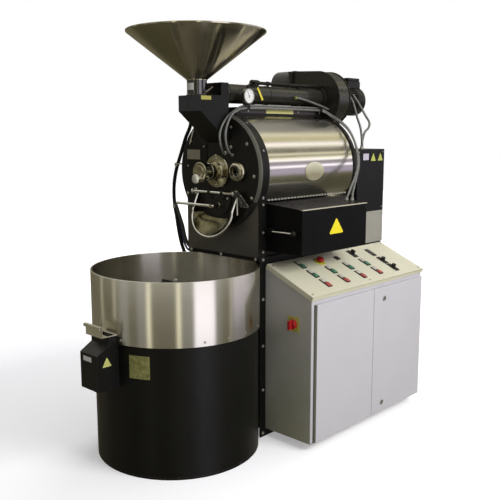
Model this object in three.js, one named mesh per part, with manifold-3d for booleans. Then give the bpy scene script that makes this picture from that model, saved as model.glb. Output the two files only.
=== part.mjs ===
// A commercial drum coffee roaster with its round cooling bin in front and its control cabinet
// at the right. Millimetres, +X to the operator's right, +Y to the back, +Z up. The origin is
// on the floor, on the cooling bin's axis.
import * as THREE from 'three';
import { mergeVertices } from 'three/addons/utils/BufferGeometryUtils.js';
import Module from 'manifold-3d';

const wasm = await Module();
wasm.setup();

// Clearances and counts that all pieces share
const fit = 0.3;
const overrun = 6;
const weldTolerance = 0.0005;
const largeSides = 64;
const mediumSides = 32;
const smallSides = 16;
const boltSides = 8;

// Driving dimensions: cooling bin
const shellRadius = 395;
const shellWall = 4;
const bandWall = 4;
const bandSeat = 3;
const binRadius = shellRadius + bandSeat + bandWall;
const binTopZ = 899;
const bandBottomZ = 609;
const rimFold = 5;
const binFloorZ = 649;
const binFloorSheet = 3;

// Driving dimensions: base, head and cabinet
const headHalfWidth = 257;
const headFrontY = 305;
const cheekClearance = 4.9;
const baseFrontY = Math.sqrt(binRadius ** 2 - headHalfWidth ** 2) + cheekClearance;
const baseRearY = 1360;
const headPlateZ = 905;
const headPlateThickness = 20;
const headPlateRearY = 1090;
const drumAxisZ = 1336;
const archRadius = headHalfWidth + 22;
const archDepth = 55;
const jacketEndY = 1040;
const archLap = 6;
const rearArchRadius = archRadius + archLap;
const rearArchDepth = 25;
const discRadius = archRadius + archLap;
const discThickness = 20;
const cabinetDepth = 290.7;
const cabinetFrontX = headHalfWidth + fit + cabinetDepth;
const cabinetBottomZ = 41;
const cabinetLeftY = 354;
const cabinetRightY = 1330;
const panelSlope = THREE.MathUtils.degToRad(23);

const headPlateTopZ = headPlateZ + headPlateThickness;
const archBackY = headFrontY + archDepth;
const discFrontY = headFrontY - discThickness;
const rearArchBackY = jacketEndY + rearArchDepth;

// Turns a closed three.js geometry into a solid, with its faces pointing out
const solidOf = (geometry) => {
  const bare = geometry.clone();
  bare.deleteAttribute('normal');
  bare.deleteAttribute('uv');
  const merged = mergeVertices(bare, weldTolerance);
  const places = merged.attributes.position.array;
  const corners = [];
  let volume = 0;
  for (let i = 0; i < merged.index.count; i += 3) {
    const [a, b, c] = [0, 1, 2].map((k) => merged.index.array[i + k]);
    if (a === b || b === c || c === a) {
      continue;
    }
    corners.push(a, b, c);
    const [p, q, r] = [a, b, c].map((k) => new THREE.Vector3().fromArray(places, k * 3));
    volume += p.dot(q.cross(r));
  }
  const outward = volume < 0 ? corners.reverse() : corners;
  return new wasm.Manifold(new wasm.Mesh({
    numProp: 3,
    vertProperties: new Float32Array(places),
    triVerts: new Uint32Array(outward),
  }));
};

// Basic solids, placed by their two ends along each axis
const box = (x0, x1, y0, y1, z0, z1) => {
  const block = new THREE.BoxGeometry(x1 - x0, y1 - y0, z1 - z0);
  block.translate((x0 + x1) / 2, (y0 + y1) / 2, (z0 + z1) / 2);
  return solidOf(block);
};

const rodX = (radius, x0, x1, y, z, sides = smallSides) => {
  const rod = new THREE.CylinderGeometry(radius, radius, x1 - x0, sides);
  rod.rotateZ(-Math.PI / 2);
  rod.translate((x0 + x1) / 2, y, z);
  return solidOf(rod);
};

const rodY = (radius, y0, y1, x, z, sides = smallSides) => {
  const rod = new THREE.CylinderGeometry(radius, radius, y1 - y0, sides);
  rod.translate(x, (y0 + y1) / 2, z);
  return solidOf(rod);
};

const rodZ = (radius, z0, z1, x, y, sides = smallSides) => {
  const rod = new THREE.CylinderGeometry(radius, radius, z1 - z0, sides);
  rod.rotateX(Math.PI / 2);
  rod.translate(x, y, (z0 + z1) / 2);
  return solidOf(rod);
};

// Turned solids: the profile is a list of radius and place along the axis
const turned = (profile, sides) => new THREE.LatheGeometry(
  profile.map(([radius, along]) => new THREE.Vector2(radius, along)), sides);

const turnedY = (profile, x, z, sides) => solidOf(turned(profile, sides).translate(x, 0, z));

const turnedZ = (profile, x, y, sides) => solidOf(
  turned(profile, sides).rotateX(Math.PI / 2).translate(x, y, 0));

const turnedX = (profile, y, z, sides) => solidOf(
  turned(profile, sides).rotateZ(-Math.PI / 2).translate(0, y, z));

// Flat outlines pushed through a thickness
const outline = (points) => new THREE.Shape(points.map(([a, b]) => new THREE.Vector2(a, b)));

const extruded = (shape, depth, curveSegments) => new THREE.ExtrudeGeometry(
  shape, { depth, bevelEnabled: false, curveSegments });

const alongY = (shape, y0, y1, curveSegments = smallSides) => {
  const plate = extruded(shape, y1 - y0, curveSegments);
  plate.rotateX(Math.PI / 2);
  plate.translate(0, y1, 0);
  return solidOf(plate);
};

const alongX = (shape, x0, x1, curveSegments = smallSides) => {
  const plate = extruded(shape, x1 - x0, curveSegments);
  const axes = new THREE.Matrix4().makeBasis(
    new THREE.Vector3(0, 1, 0), new THREE.Vector3(0, 0, 1), new THREE.Vector3(1, 0, 0));
  plate.applyMatrix4(axes);
  plate.translate(x0, 0, 0);
  return solidOf(plate);
};

// A round bar or hose that follows a list of points
const routed = (points, radius, sides, stepLength) => {
  const path = new THREE.CatmullRomCurve3(points.map((p) => new THREE.Vector3(...p)));
  const section = new THREE.Shape();
  const turn = Math.PI * 2 / sides;
  const rim = Array.from({ length: sides }, (_, i) => [
    radius * Math.cos(i * turn),
    radius * Math.sin(i * turn),
  ]);
  section.setFromPoints(rim.map(([a, b]) => new THREE.Vector2(a, b)));
  const steps = Math.max(4, Math.round(path.getLength() / stepLength));
  return solidOf(new THREE.ExtrudeGeometry(section, { extrudePath: path, steps, bevelEnabled: false }));
};

const joined = (first, ...others) => others.reduce((whole, piece) => whole.add(piece), first);

const without = (first, ...cuts) => cuts.reduce((whole, piece) => whole.subtract(piece), first);

// Finishes
const blackPaint = { color: 0x1b1c1b, roughness: 0.45, metalness: 0.2 };
const skirtPaint = { color: 0x8d8c84, roughness: 0.4, metalness: 0.5 };
const brushedSteel = { color: 0xb9b6ab, roughness: 0.32, metalness: 0.9 };
const brightChrome = { color: 0xdcdcd8, roughness: 0.12, metalness: 1 };
const machinedSteel = { color: 0x8f9092, roughness: 0.4, metalness: 0.9 };
const castIron = { color: 0x4a4b4a, roughness: 0.6, metalness: 0.6 };
const creamPaint = { color: 0xd5d2ba, roughness: 0.5, metalness: 0.05 };
const greyPaint = { color: 0xbdb8b4, roughness: 0.5, metalness: 0.05 };
const blackRubber = { color: 0x1a1a1c, roughness: 0.8, metalness: 0 };
const blackPlastic = { color: 0x151515, roughness: 0.4, metalness: 0 };
const greenPlastic = { color: 0x3f8f6c, roughness: 0.4, metalness: 0 };
const redPlastic = { color: 0xc0332f, roughness: 0.4, metalness: 0 };
const yellowPaint = { color: 0xd6c81e, roughness: 0.5, metalness: 0 };
const palePlastic = { color: 0xcfcec6, roughness: 0.45, metalness: 0 };
const sightGlass = { color: 0x14171a, roughness: 0.05, metalness: 0 };

const roaster = new THREE.Group();

const node = (name, solid, finish, parent = roaster) => {
  const raw = solid.getMesh();
  const geometry = new THREE.BufferGeometry();
  geometry.setAttribute('position', new THREE.BufferAttribute(new Float32Array(raw.vertProperties), 3));
  geometry.setIndex(new THREE.BufferAttribute(new Uint32Array(raw.triVerts), 1));
  geometry.computeVertexNormals();
  const mesh = new THREE.Mesh(geometry, new THREE.MeshStandardMaterial({ ...finish, flatShading: true }));
  mesh.name = name;
  parent.add(mesh);
  return mesh;
};

// Cooling bin shell: the plenum drum under the perforated floor, with its rear air duct
const ductHalfWidth = 90;
const ductBottomZ = 150;
const ductTopZ = 330;
const ductSheet = 4;
const baseInnerFrontY = binRadius + fit;
const ductOuterHalf = ductHalfWidth + ductSheet;
const ductStartY = Math.sqrt((shellRadius - shellWall) ** 2 - ductOuterHalf ** 2);
const shellInner = shellRadius - shellWall;
const shellTank = turnedZ([
  [0, 0],
  [shellRadius, 0],
  [shellRadius, binFloorZ],
  [shellInner, binFloorZ],
  [shellInner, shellWall],
  [0, shellWall],
], 0, 0, largeSides);
const ductCollar = box(-ductOuterHalf, ductOuterHalf, ductStartY, baseInnerFrontY,
  ductBottomZ - ductSheet, ductTopZ + ductSheet);
const ductBore = box(-ductHalfWidth, ductHalfWidth, ductStartY - overrun, baseInnerFrontY + overrun,
  ductBottomZ, ductTopZ);
node('bin_shell', without(shellTank.add(ductCollar), ductBore), blackPaint);

// Cooling bin band: stainless upper wall with the bean outlet and its tray welded on
const bandInner = binRadius - bandWall;
const trayHalfWidth = 62;
const traySheet = 3;
const trayReach = 73;
const trayFrontY = -binRadius - trayReach;
const trayLipZ = 700;
const trayLipOverhang = 8;
const outletHalfWidth = 56;
const outletHeight = 53;
const chuteNeckReach = 43;
const chuteNeckFrontY = -binRadius - chuteNeckReach;
const chuteNeckRearY = -binRadius - traySheet;
const binFloorTopZ = binFloorZ + binFloorSheet;
const outletTopZ = binFloorTopZ + outletHeight;
const bandRing = turnedZ([
  [bandInner, bandBottomZ],
  [binRadius, bandBottomZ],
  [binRadius, binTopZ],
  [bandInner - rimFold, binTopZ],
  [bandInner - rimFold, binTopZ - bandWall],
  [bandInner, binTopZ - bandWall],
  [bandInner, bandBottomZ],
], 0, 0, largeSides);
const outletCut = box(-outletHalfWidth, outletHalfWidth, -binRadius - overrun, -shellInner + overrun,
  binFloorTopZ, outletTopZ);
const trayFloor = box(-trayHalfWidth, trayHalfWidth, trayFrontY, -bandInner + bandWall,
  binFloorZ, binFloorTopZ);
const trayFront = box(-trayHalfWidth, trayHalfWidth, trayFrontY, trayFrontY + traySheet, binFloorZ, trayLipZ);
const trayLip = box(-trayHalfWidth, trayHalfWidth, trayFrontY - trayLipOverhang, trayFrontY + traySheet,
  trayLipZ - traySheet, trayLipZ);
const trayHole = box(-outletHalfWidth, outletHalfWidth, chuteNeckFrontY + traySheet, chuteNeckRearY,
  binFloorZ - overrun, binFloorTopZ + overrun);
const binBore = rodZ(bandInner, binFloorZ - overrun, binFloorTopZ + overrun, 0, 0, largeSides);
const tray = without(joined(trayFloor, trayFront, trayLip), trayHole, binBore);
const bandBoltZ = 629;
const bandBoltRadius = 5;
const bandBoltHeight = 3;
const bandBoltTurns = [-23, -6, 10, 29].map(THREE.MathUtils.degToRad);
const bandBolts = bandBoltTurns.map((angle) => {
  const bolt = new THREE.CylinderGeometry(bandBoltRadius, bandBoltRadius, bandBoltHeight * 2, boltSides);
  bolt.rotateZ(-Math.PI / 2);
  bolt.translate(binRadius, 0, bandBoltZ);
  bolt.rotateZ(angle);
  return solidOf(bolt);
});
node('bin_band', joined(without(bandRing, outletCut), tray, ...bandBolts), brushedSteel);

// Perforated bin floor, resting on the shell's upper edge
const stirrerShaftRadius = 12.5;
const floorHoleRadius = stirrerShaftRadius + fit * 2;
const floorDisc = rodZ(bandInner - fit, binFloorZ, binFloorTopZ, 0, 0, largeSides);
node('bin_floor', without(floorDisc,
  rodZ(floorHoleRadius, binFloorZ - overrun, binFloorTopZ + overrun, 0, 0)), brushedSteel);

// Stirrer gearbox with its motor, bolted under the bin floor
const gearboxHalf = 60;
const gearboxHeight = 95;
const gearMotorRadius = 46;
const gearMotorLength = 170;
const gearboxBottomZ = binFloorZ - gearboxHeight;
const gearMotorZ = binFloorZ - gearboxHeight / 2;
const stirrerBoreZ = gearboxBottomZ + gearboxHeight / 3;
const gearboxBlock = box(-gearboxHalf, gearboxHalf, -gearboxHalf, gearboxHalf, gearboxBottomZ, binFloorZ);
const gearMotor = rodX(gearMotorRadius, 0, gearboxHalf + gearMotorLength, 0, gearMotorZ, mediumSides);
node('stirrer_gearbox', without(gearboxBlock.add(gearMotor),
  rodZ(stirrerShaftRadius + fit, stirrerBoreZ, binFloorZ + overrun, 0, 0)), castIron);

// Stirrer: shaft, hub, four arms with paddles, and the cross head with its two stays
const stirrerHubRadius = 32;
const stirrerHubHeight = 50;
const stirrerClearance = 30;
const stirrerReach = bandInner - stirrerClearance;
const armSection = 14;
const armZ = binFloorTopZ + 32;
const paddleGap = 2;
const paddleThickness = 4;
const paddleLengthShare = 0.36;
const paddleTurn = THREE.MathUtils.degToRad(28);
const crossHeadHalf = 96;
const crossHeadSection = 22;
const crossHeadTopZ = 822;
const stayRadius = 5;
const capNutRadius = 13;
const capNutHeight = 11;
const stirrerHubBottomZ = binFloorTopZ + paddleGap;
const stirrerShaft = rodZ(stirrerShaftRadius, stirrerBoreZ + fit, crossHeadTopZ, 0, 0);
const stirrerHub = rodZ(stirrerHubRadius, stirrerHubBottomZ, stirrerHubBottomZ + stirrerHubHeight, 0, 0,
  mediumSides);
const capNut = rodZ(capNutRadius, crossHeadTopZ, crossHeadTopZ + capNutHeight, 0, 0, boltSides);
const crossHead = box(-crossHeadHalf, crossHeadHalf, -crossHeadSection / 2, crossHeadSection / 2,
  crossHeadTopZ - crossHeadSection, crossHeadTopZ);
const armLength = stirrerReach - stirrerHubRadius;
const paddleLength = armLength * paddleLengthShare;
const stirrerArm = (angle) => {
  const arm = new THREE.BoxGeometry(stirrerReach, armSection, armSection);
  arm.translate(stirrerReach / 2, 0, armZ);
  arm.rotateZ(angle);
  const paddles = [0.28, 0.78].map((share) => {
    const height = armZ - armSection / 2 - stirrerHubBottomZ + armSection / 2;
    const paddle = new THREE.BoxGeometry(paddleLength, paddleThickness, height);
    paddle.rotateZ(paddleTurn);
    paddle.translate(stirrerHubRadius + armLength * share, 0, stirrerHubBottomZ + height / 2);
    paddle.rotateZ(angle);
    return solidOf(paddle);
  });
  return joined(solidOf(arm), ...paddles);
};
const armAngles = [0, 1, 2, 3].map((quarter) => quarter * Math.PI / 2);
const stayFootX = stirrerReach - armSection;
const stays = [-1, 1].map((side) => routed([
  [side * (crossHeadHalf - crossHeadSection / 2), 0, crossHeadTopZ - crossHeadSection / 2],
  [side * stayFootX, 0, armZ],
], stayRadius, boltSides, stirrerReach));
node('stirrer', joined(stirrerShaft, stirrerHub, capNut, crossHead,
  ...armAngles.map(stirrerArm), ...stays), machinedSteel);

// Bin outlet gate: a curved plate inside the band that lifts clear of the outlet
const gateSheet = 3;
const gateOverlap = 7;
const gateTabHalf = 14;
const gateTabDepth = 14;
const gateOuter = bandInner - fit;
const gateInner = gateOuter - gateSheet;
const gateTopZ = outletTopZ + gateOverlap;
const gateBottomZ = binFloorTopZ + fit;
const gateRing = turnedZ([
  [gateInner, gateBottomZ],
  [gateOuter, gateBottomZ],
  [gateOuter, gateTopZ],
  [gateInner, gateTopZ],
  [gateInner, gateBottomZ],
], 0, 0, largeSides);
const gateHalfWidth = outletHalfWidth + gateOverlap;
const gateWindow = box(-gateHalfWidth, gateHalfWidth, -gateOuter - overrun, -gateInner / 2,
  gateBottomZ - overrun, gateTopZ + overrun);
const gateTab = box(-gateTabHalf, gateTabHalf, -gateInner - gateSheet / 2, -gateInner + gateTabDepth,
  gateTopZ - gateSheet, gateTopZ);
node('bin_gate', gateRing.intersect(gateWindow).add(gateTab), brushedSteel);

// Outlet chute box under the tray, open at its neck and at its foot
const chuteHalfWidth = 65;
const chuteSheet = 3;
const chuteReach = 106;
const chuteFrontY = -binRadius - chuteReach;
const chuteBottomZ = 412;
const chuteShoulderZ = 575;
const chuteNeckZ = 612;
const chuteRearY = -shellRadius + chuteSheet * 2;
const chuteOutside = alongX(outline([
  [chuteRearY, chuteBottomZ],
  [chuteRearY, binFloorZ],
  [chuteNeckFrontY, binFloorZ],
  [chuteNeckFrontY, chuteNeckZ],
  [chuteFrontY, chuteShoulderZ],
  [chuteFrontY, chuteBottomZ],
]), -chuteHalfWidth, chuteHalfWidth);
const chuteInside = alongX(outline([
  [chuteNeckRearY, chuteBottomZ - overrun],
  [chuteNeckRearY, binFloorZ + overrun],
  [chuteNeckFrontY + chuteSheet, binFloorZ + overrun],
  [chuteNeckFrontY + chuteSheet, chuteNeckZ - chuteSheet],
  [chuteFrontY + chuteSheet, chuteShoulderZ - chuteSheet],
  [chuteFrontY + chuteSheet, chuteBottomZ - overrun],
]), -outletHalfWidth, outletHalfWidth);
const shellRelief = rodZ(shellRadius + fit, chuteBottomZ - overrun, bandBottomZ, 0, 0, largeSides);
const bandRelief = rodZ(binRadius + fit, bandBottomZ - fit, binFloorZ + overrun, 0, 0, largeSides);
node('outlet_chute', without(chuteOutside, chuteInside, shellRelief, bandRelief), blackPaint);

// Base frame: two cheeks, inner front and rear plates, corner posts, rear shelf and the head plate
const cheekSheet = 3;
const postDepth = 30;
const postWidth = 20;
const postSetback = 16;
const postFrontY = baseFrontY + postSetback;
const basePlateSheet = 4;
const headPlateSetback = 2;
const headPlateFrontY = headFrontY + headPlateSetback;
const rearShelfZ = 898;
const rearPortRadius = 75;
const rearPortZ = 240;
const cheekInner = headHalfWidth - cheekSheet;
const mirrored = (solidFor) => joined(solidFor(1), solidFor(-1));
const sideBox = (side, x0, x1, ...rest) => box(Math.min(side * x0, side * x1), Math.max(side * x0, side * x1), ...rest);
const cheeks = mirrored((side) => joined(
  sideBox(side, cheekInner, headHalfWidth, baseFrontY, headPlateRearY, 0, headPlateZ),
  sideBox(side, cheekInner, headHalfWidth, headPlateRearY, baseRearY, 0, rearShelfZ),
));
const posts = mirrored((side) => sideBox(side, headHalfWidth - postWidth, headHalfWidth,
  postFrontY, postFrontY + postDepth, 0, headPlateZ));
const innerFront = box(-headHalfWidth, headHalfWidth, baseInnerFrontY, baseInnerFrontY + basePlateSheet,
  0, headPlateZ);
const bulkhead = box(-headHalfWidth, headHalfWidth, headPlateRearY - basePlateSheet, headPlateRearY,
  rearShelfZ - headPlateThickness, headPlateZ);
const rearPlate = box(-headHalfWidth, headHalfWidth, baseRearY - basePlateSheet, baseRearY, 0, rearShelfZ);
const rearShelf = box(-headHalfWidth, headHalfWidth, headPlateRearY - basePlateSheet, baseRearY,
  rearShelfZ - basePlateSheet, rearShelfZ);
const headPlate = box(-headHalfWidth, headHalfWidth, headPlateFrontY, headPlateRearY,
  headPlateZ, headPlateTopZ);
const frontDuctCut = box(-ductHalfWidth, ductHalfWidth, baseInnerFrontY - overrun,
  baseInnerFrontY + basePlateSheet + overrun, ductBottomZ, ductTopZ);
const rearPortCut = rodY(rearPortRadius, baseRearY - basePlateSheet - overrun, baseRearY + overrun,
  0, rearPortZ, mediumSides);
const domeBoltRadius = 6;
const domeBoltHeight = 4;
const sideBoltSetback = 7;
const sideBoltY = postFrontY + sideBoltSetback;
const baseBoltHeights = [20, 248, 477, 715];
const sideBolt = (side, y, z) => {
  const face = side * headHalfWidth;
  const tip = side * (headHalfWidth + domeBoltHeight);
  const root = side * (headHalfWidth - domeBoltHeight / 2);
  return rodX(domeBoltRadius, Math.min(root, tip, face), Math.max(root, tip, face), y, z, boltSides);
};
const baseBolts = baseBoltHeights.map((z) => mirrored((side) => sideBolt(side, sideBoltY, z)));
const headPlateBoltInset = 24;
const headPlateMiddleBoltX = -8;
const headPlateBoltX = [headPlateBoltInset - headHalfWidth, headPlateMiddleBoltX,
  headHalfWidth - headPlateBoltInset];
const headPlateBoltZ = headPlateZ + headPlateThickness / 2;
const headPlateBolts = headPlateBoltX.map((x) => rodY(domeBoltRadius, headPlateFrontY - domeBoltHeight,
  headPlateFrontY + domeBoltHeight, x, headPlateBoltZ, boltSides));
const baseSides = joined(cheeks, posts, innerFront, bulkhead, rearPlate, rearShelf, headPlate);
node('base_frame', joined(without(baseSides, frontDuctCut, rearPortCut), ...baseBolts, ...headPlateBolts),
  blackPaint);

// The arch outline: a round head on straight legs
const archShape = (radius, halfWidth, bottomZ) => {
  const meetZ = drumAxisZ - Math.sqrt(radius ** 2 - halfWidth ** 2);
  const startAngle = Math.atan2(meetZ - drumAxisZ, halfWidth);
  const shape = new THREE.Shape();
  shape.moveTo(-halfWidth, bottomZ);
  shape.lineTo(halfWidth, bottomZ);
  shape.lineTo(halfWidth, meetZ);
  shape.absarc(0, drumAxisZ, radius, startAngle, Math.PI - startAngle, false);
  return shape;
};

// Front arch: flanged rim, front plate with the drum opening, and the skirt below it
const archSheet = 4;
const drumGap = 49;
const drumRadius = archRadius - drumGap;
const archOpeningRadius = drumRadius + 10;
const archSegments = 20;
const archInner = (radius, halfWidth, bottomZ) => archShape(
  radius - archSheet, halfWidth - archSheet, bottomZ + archSheet);
const frontRim = without(
  alongY(archShape(archRadius, headHalfWidth, headPlateTopZ), headFrontY, archBackY, archSegments),
  alongY(archInner(archRadius, headHalfWidth, headPlateTopZ), headFrontY + archSheet, archBackY + overrun,
    archSegments),
  rodY(archOpeningRadius, headFrontY - overrun, headFrontY + archSheet + overrun, 0, drumAxisZ, largeSides),
);
const archBoltHeights = [1046, 1181, 1215];
const archBolts = archBoltHeights.map((z) => mirrored((side) => sideBolt(side, sideBoltY, z)));
node('front_arch', joined(frontRim, ...archBolts), skirtPaint);

// Rear arch: the same form with the drum's rear bearing boss
const rearArchHalfWidth = headHalfWidth + archLap;
const shaftRadius = 12.5;
const shaftClearance = 0.3;
const bearingBossRadius = 45;
const bearingBossBackY = 1080;
const shaftBore = (y0, y1) => rodY(shaftRadius + shaftClearance, y0, y1, 0, drumAxisZ);
const rearRim = without(
  alongY(archShape(rearArchRadius, rearArchHalfWidth, headPlateTopZ), jacketEndY, rearArchBackY, archSegments),
  alongY(archInner(rearArchRadius, rearArchHalfWidth, headPlateTopZ), jacketEndY + archSheet,
    rearArchBackY + overrun, archSegments),
);
const bearingBoss = rodY(bearingBossRadius, jacketEndY, bearingBossBackY, 0, drumAxisZ, mediumSides);
node('rear_arch', without(rearRim.add(bearingBoss), shaftBore(jacketEndY - overrun, bearingBossBackY + overrun)),
  blackPaint);

// Burner chamber under the drum: floor and two sides, with the burner port at the right
const jacketWall = 4;
const jacketInset = 24;
const jacketLowerHalf = headHalfWidth - jacketInset;
const jacketLowerZ = drumAxisZ - Math.sqrt(archRadius ** 2 - jacketLowerHalf ** 2);
const jacketInnerHalf = Math.sqrt((archRadius - jacketWall) ** 2 - (drumAxisZ - jacketLowerZ) ** 2);
const portFrontY = 410;
const portBackY = 840;
const portBottomZ = 968;
const portTopZ = 1120;
const chamberSheet = jacketLowerHalf - jacketInnerHalf;
const chamberBlock = box(-jacketLowerHalf, jacketLowerHalf, archBackY, jacketEndY, headPlateTopZ, jacketLowerZ);
const chamberHollow = box(-jacketInnerHalf, jacketInnerHalf, archBackY - overrun, jacketEndY + overrun,
  headPlateTopZ + chamberSheet, jacketLowerZ + overrun);
const burnerPort = box(jacketInnerHalf - overrun, jacketLowerHalf + overrun, portFrontY, portBackY,
  portBottomZ, portTopZ);
node('burner_chamber', without(chamberBlock, chamberHollow, burnerPort), blackPaint);

// Drum jacket: brushed steel sheet over the drum, cut level above the burner chamber
const jacketRing = turnedY([
  [archRadius - jacketWall, archBackY],
  [archRadius, archBackY],
  [archRadius, jacketEndY],
  [archRadius - jacketWall, jacketEndY],
  [archRadius - jacketWall, archBackY],
], 0, drumAxisZ, largeSides);
const belowJacket = box(-archRadius - overrun, archRadius + overrun, archBackY - overrun, jacketEndY + overrun,
  drumAxisZ - archRadius - overrun, jacketLowerZ);
node('drum_jacket', jacketRing.subtract(belowJacket), brushedSteel);

// Exhaust pipe places, used by the strip's saddles and the fan
const pipeRadius = 47.5;
const pipeWall = 3;
const crownRise = 35;
const pipeLift = 66;
const stripTopZ = drumAxisZ + archRadius + crownRise;
const pipeAxisZ = stripTopZ + pipeLift;
const pipeFlangeRadius = 62;
const pipeFlangeThickness = 8;

// Cover strip along the jacket's crown, with two saddles that carry the exhaust pipe
const stripHalfWidth = 50;
const saddleDepth = 26;
const saddleShares = [0.22, 0.76];
const stripBlock = box(-stripHalfWidth, stripHalfWidth, archBackY, jacketEndY, drumAxisZ, stripTopZ);
const saddles = saddleShares.map((share) => {
  const middle = archBackY + (jacketEndY - archBackY) * share;
  return box(-stripHalfWidth / 2, stripHalfWidth / 2, middle - saddleDepth / 2, middle + saddleDepth / 2,
    stripTopZ - jacketWall, pipeAxisZ - pipeRadius / 2);
});
node('jacket_top_strip', without(joined(stripBlock, ...saddles),
  rodY(archRadius + fit, archBackY - overrun, jacketEndY + overrun, 0, drumAxisZ, largeSides),
  rodY(pipeRadius + fit, archBackY - overrun, jacketEndY + overrun, 0, pipeAxisZ, mediumSides)), blackPaint);

// Face disc: round front cover with the bean inlet, discharge opening, sight hole and bearing hole
const discBevel = 9;
const sightX = 148;
const sightZ = 1340;
const sightHoleRadius = 26;
const trierZ = 1305;
const centreHoleRadius = 46;
const openingRadius = 80;
const openingCentreZ = 1207;
const openingTopZ = 1212;
const inletHalfWidth = 66;
const inletHeight = 70;
const inletSill = 10;
const hopperDrop = 16;
const hopperDepth = 224;
const hopperTopZ = pipeAxisZ - hopperDrop;
const hopperToeZ = hopperTopZ - hopperDepth;
const inletBottomZ = hopperToeZ + inletSill;
const inletTopZ = inletBottomZ + inletHeight;
const discBlank = turnedY([
  [0, discFrontY],
  [discRadius - discBevel, discFrontY],
  [discRadius, discFrontY + discBevel],
  [discRadius, headFrontY],
  [0, headFrontY],
], 0, drumAxisZ, largeSides);
const doorShape = (radius, topZ) => {
  const shape = new THREE.Shape();
  shape.moveTo(radius, topZ);
  shape.lineTo(-radius, topZ);
  shape.absarc(0, openingCentreZ, radius, Math.PI, Math.PI * 2, false);
  return shape;
};
const discHoles = [
  rodY(centreHoleRadius, discFrontY - overrun, headFrontY + overrun, 0, drumAxisZ, mediumSides),
  rodY(sightHoleRadius, discFrontY - overrun, headFrontY + overrun, sightX, sightZ, mediumSides),
  alongY(doorShape(openingRadius, openingTopZ), discFrontY - overrun, headFrontY + overrun, smallSides),
  box(-inletHalfWidth, inletHalfWidth, discFrontY - overrun, headFrontY + overrun, inletBottomZ, inletTopZ),
];
const coverPlateInset = 45;
const coverPlateX0 = coverPlateInset - discRadius;
const coverPlateX1 = -88;
const coverPlateZ0 = 1349;
const coverPlateZ1 = 1476;
const coverPlateThickness = 4;
const coverPlate = box(coverPlateX0, coverPlateX1, discFrontY - coverPlateThickness, discFrontY + coverPlateThickness,
  coverPlateZ0, coverPlateZ1).intersect(rodY(discRadius - discBevel * 2, discFrontY - overrun,
  headFrontY, 0, drumAxisZ, largeSides));
const discBoltPlaces = [[92, 1552], [91, 1456], [199, 1472], [245, 1320], [-102, 1456], [-200, 1454]];
const discBoltRadius = 7;
const discBoltHeight = 9;
const discBolts = discBoltPlaces.map(([x, z]) => rodY(discBoltRadius, discFrontY - discBoltHeight,
  discFrontY + discBoltHeight / 2, x, z, boltSides));
const glandX = 60;
const glandZ = 1427;
const glandRadius = 11;
const glandLength = 14;
const glandTipY = discFrontY - glandLength;
const discGland = rodY(glandRadius, glandTipY, discFrontY + glandLength / 2, glandX, glandZ, boltSides);

// Door shaft lugs on the face disc
const doorShaftY = 266;
const doorShaftZ = 1231;
const doorShaftRadius = 6;
const lugThickness = 8;
const lugRadius = 13;
const lugX = [-170, 122];
const lugs = lugX.map((x) => joined(
  rodX(lugRadius, x, x + lugThickness, doorShaftY, doorShaftZ),
  box(x, x + lugThickness, doorShaftY, discFrontY + discBevel, doorShaftZ - lugRadius, doorShaftZ + lugRadius),
));
const lugBores = rodX(doorShaftRadius + fit, lugX[0] - overrun, lugX[1] + lugThickness + overrun,
  doorShaftY, doorShaftZ);
const discPlate = without(joined(discBlank, coverPlate, ...discBolts, discGland), ...discHoles);
node('face_disc', discPlate.add(joined(...lugs).subtract(lugBores)), blackPaint);

// Front bearing housing: chrome flange, barrel and collar, bored for the shaft and the trier
const flangeRadius = 82;
const flangeThickness = 14;
const barrelRadius = 42.5;
const barrelFrontY = 170;
const collarRadius = 48.5;
const collarLength = 17;
const shaftFrontY = 182;
const trierRadius = 12;
const collarFrontY = barrelFrontY - collarLength;
const housing = turnedY([
  [0, collarFrontY],
  [collarRadius, collarFrontY],
  [collarRadius, barrelFrontY],
  [barrelRadius, barrelFrontY],
  [barrelRadius, discFrontY - flangeThickness],
  [flangeRadius, discFrontY - flangeThickness],
  [flangeRadius, discFrontY],
  [0, discFrontY],
], 0, drumAxisZ, mediumSides);
node('front_bearing_housing', without(housing, shaftBore(shaftFrontY - fit, discFrontY + overrun),
  rodY(trierRadius + fit, collarFrontY - overrun, discFrontY + overrun, 0, trierZ)), brightChrome);

// Trier: the sample scoop that slides through the housing below the shaft
const trierKnobRadius = 25;
const trierKnobLength = 28;
const trierKnobFrontY = 103;
const trierTipY = 430;
const trierScoopY = 320;
const trierKnobBackY = trierKnobFrontY + trierKnobLength;
const trierTube = rodY(trierRadius, trierKnobFrontY, trierTipY, 0, trierZ);
const trierKnob = rodY(trierKnobRadius, trierKnobFrontY, trierKnobBackY, 0, trierZ, mediumSides);
const scoopCut = box(-trierRadius - overrun, trierRadius + overrun, trierScoopY, trierTipY - trierRadius,
  trierZ, trierZ + trierRadius + overrun);
node('trier', trierTube.add(trierKnob).subtract(scoopCut), palePlastic);

// Sight glass: chrome ring and its lens
const sightRingRadius = 50;
const sightRingLength = 35;
const sightStep = 12;
const lensRadius = 30;
const lensThickness = 6;
const sightFrontY = discFrontY - sightRingLength;
const lensBackY = discFrontY - sightRingLength / 2;
const sightRing = turnedY([
  [lensRadius + fit, sightFrontY],
  [sightRingRadius - sightStep / 2, sightFrontY],
  [sightRingRadius, sightFrontY + sightStep],
  [sightRingRadius, discFrontY],
  [sightHoleRadius, discFrontY],
  [sightHoleRadius, lensBackY],
  [lensRadius + fit, lensBackY],
  [lensRadius + fit, sightFrontY],
], sightX, sightZ, mediumSides);
node('sight_glass_ring', sightRing, brightChrome);
node('sight_glass', rodY(lensRadius, lensBackY - lensThickness, lensBackY, sightX, sightZ, mediumSides),
  sightGlass);

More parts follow.
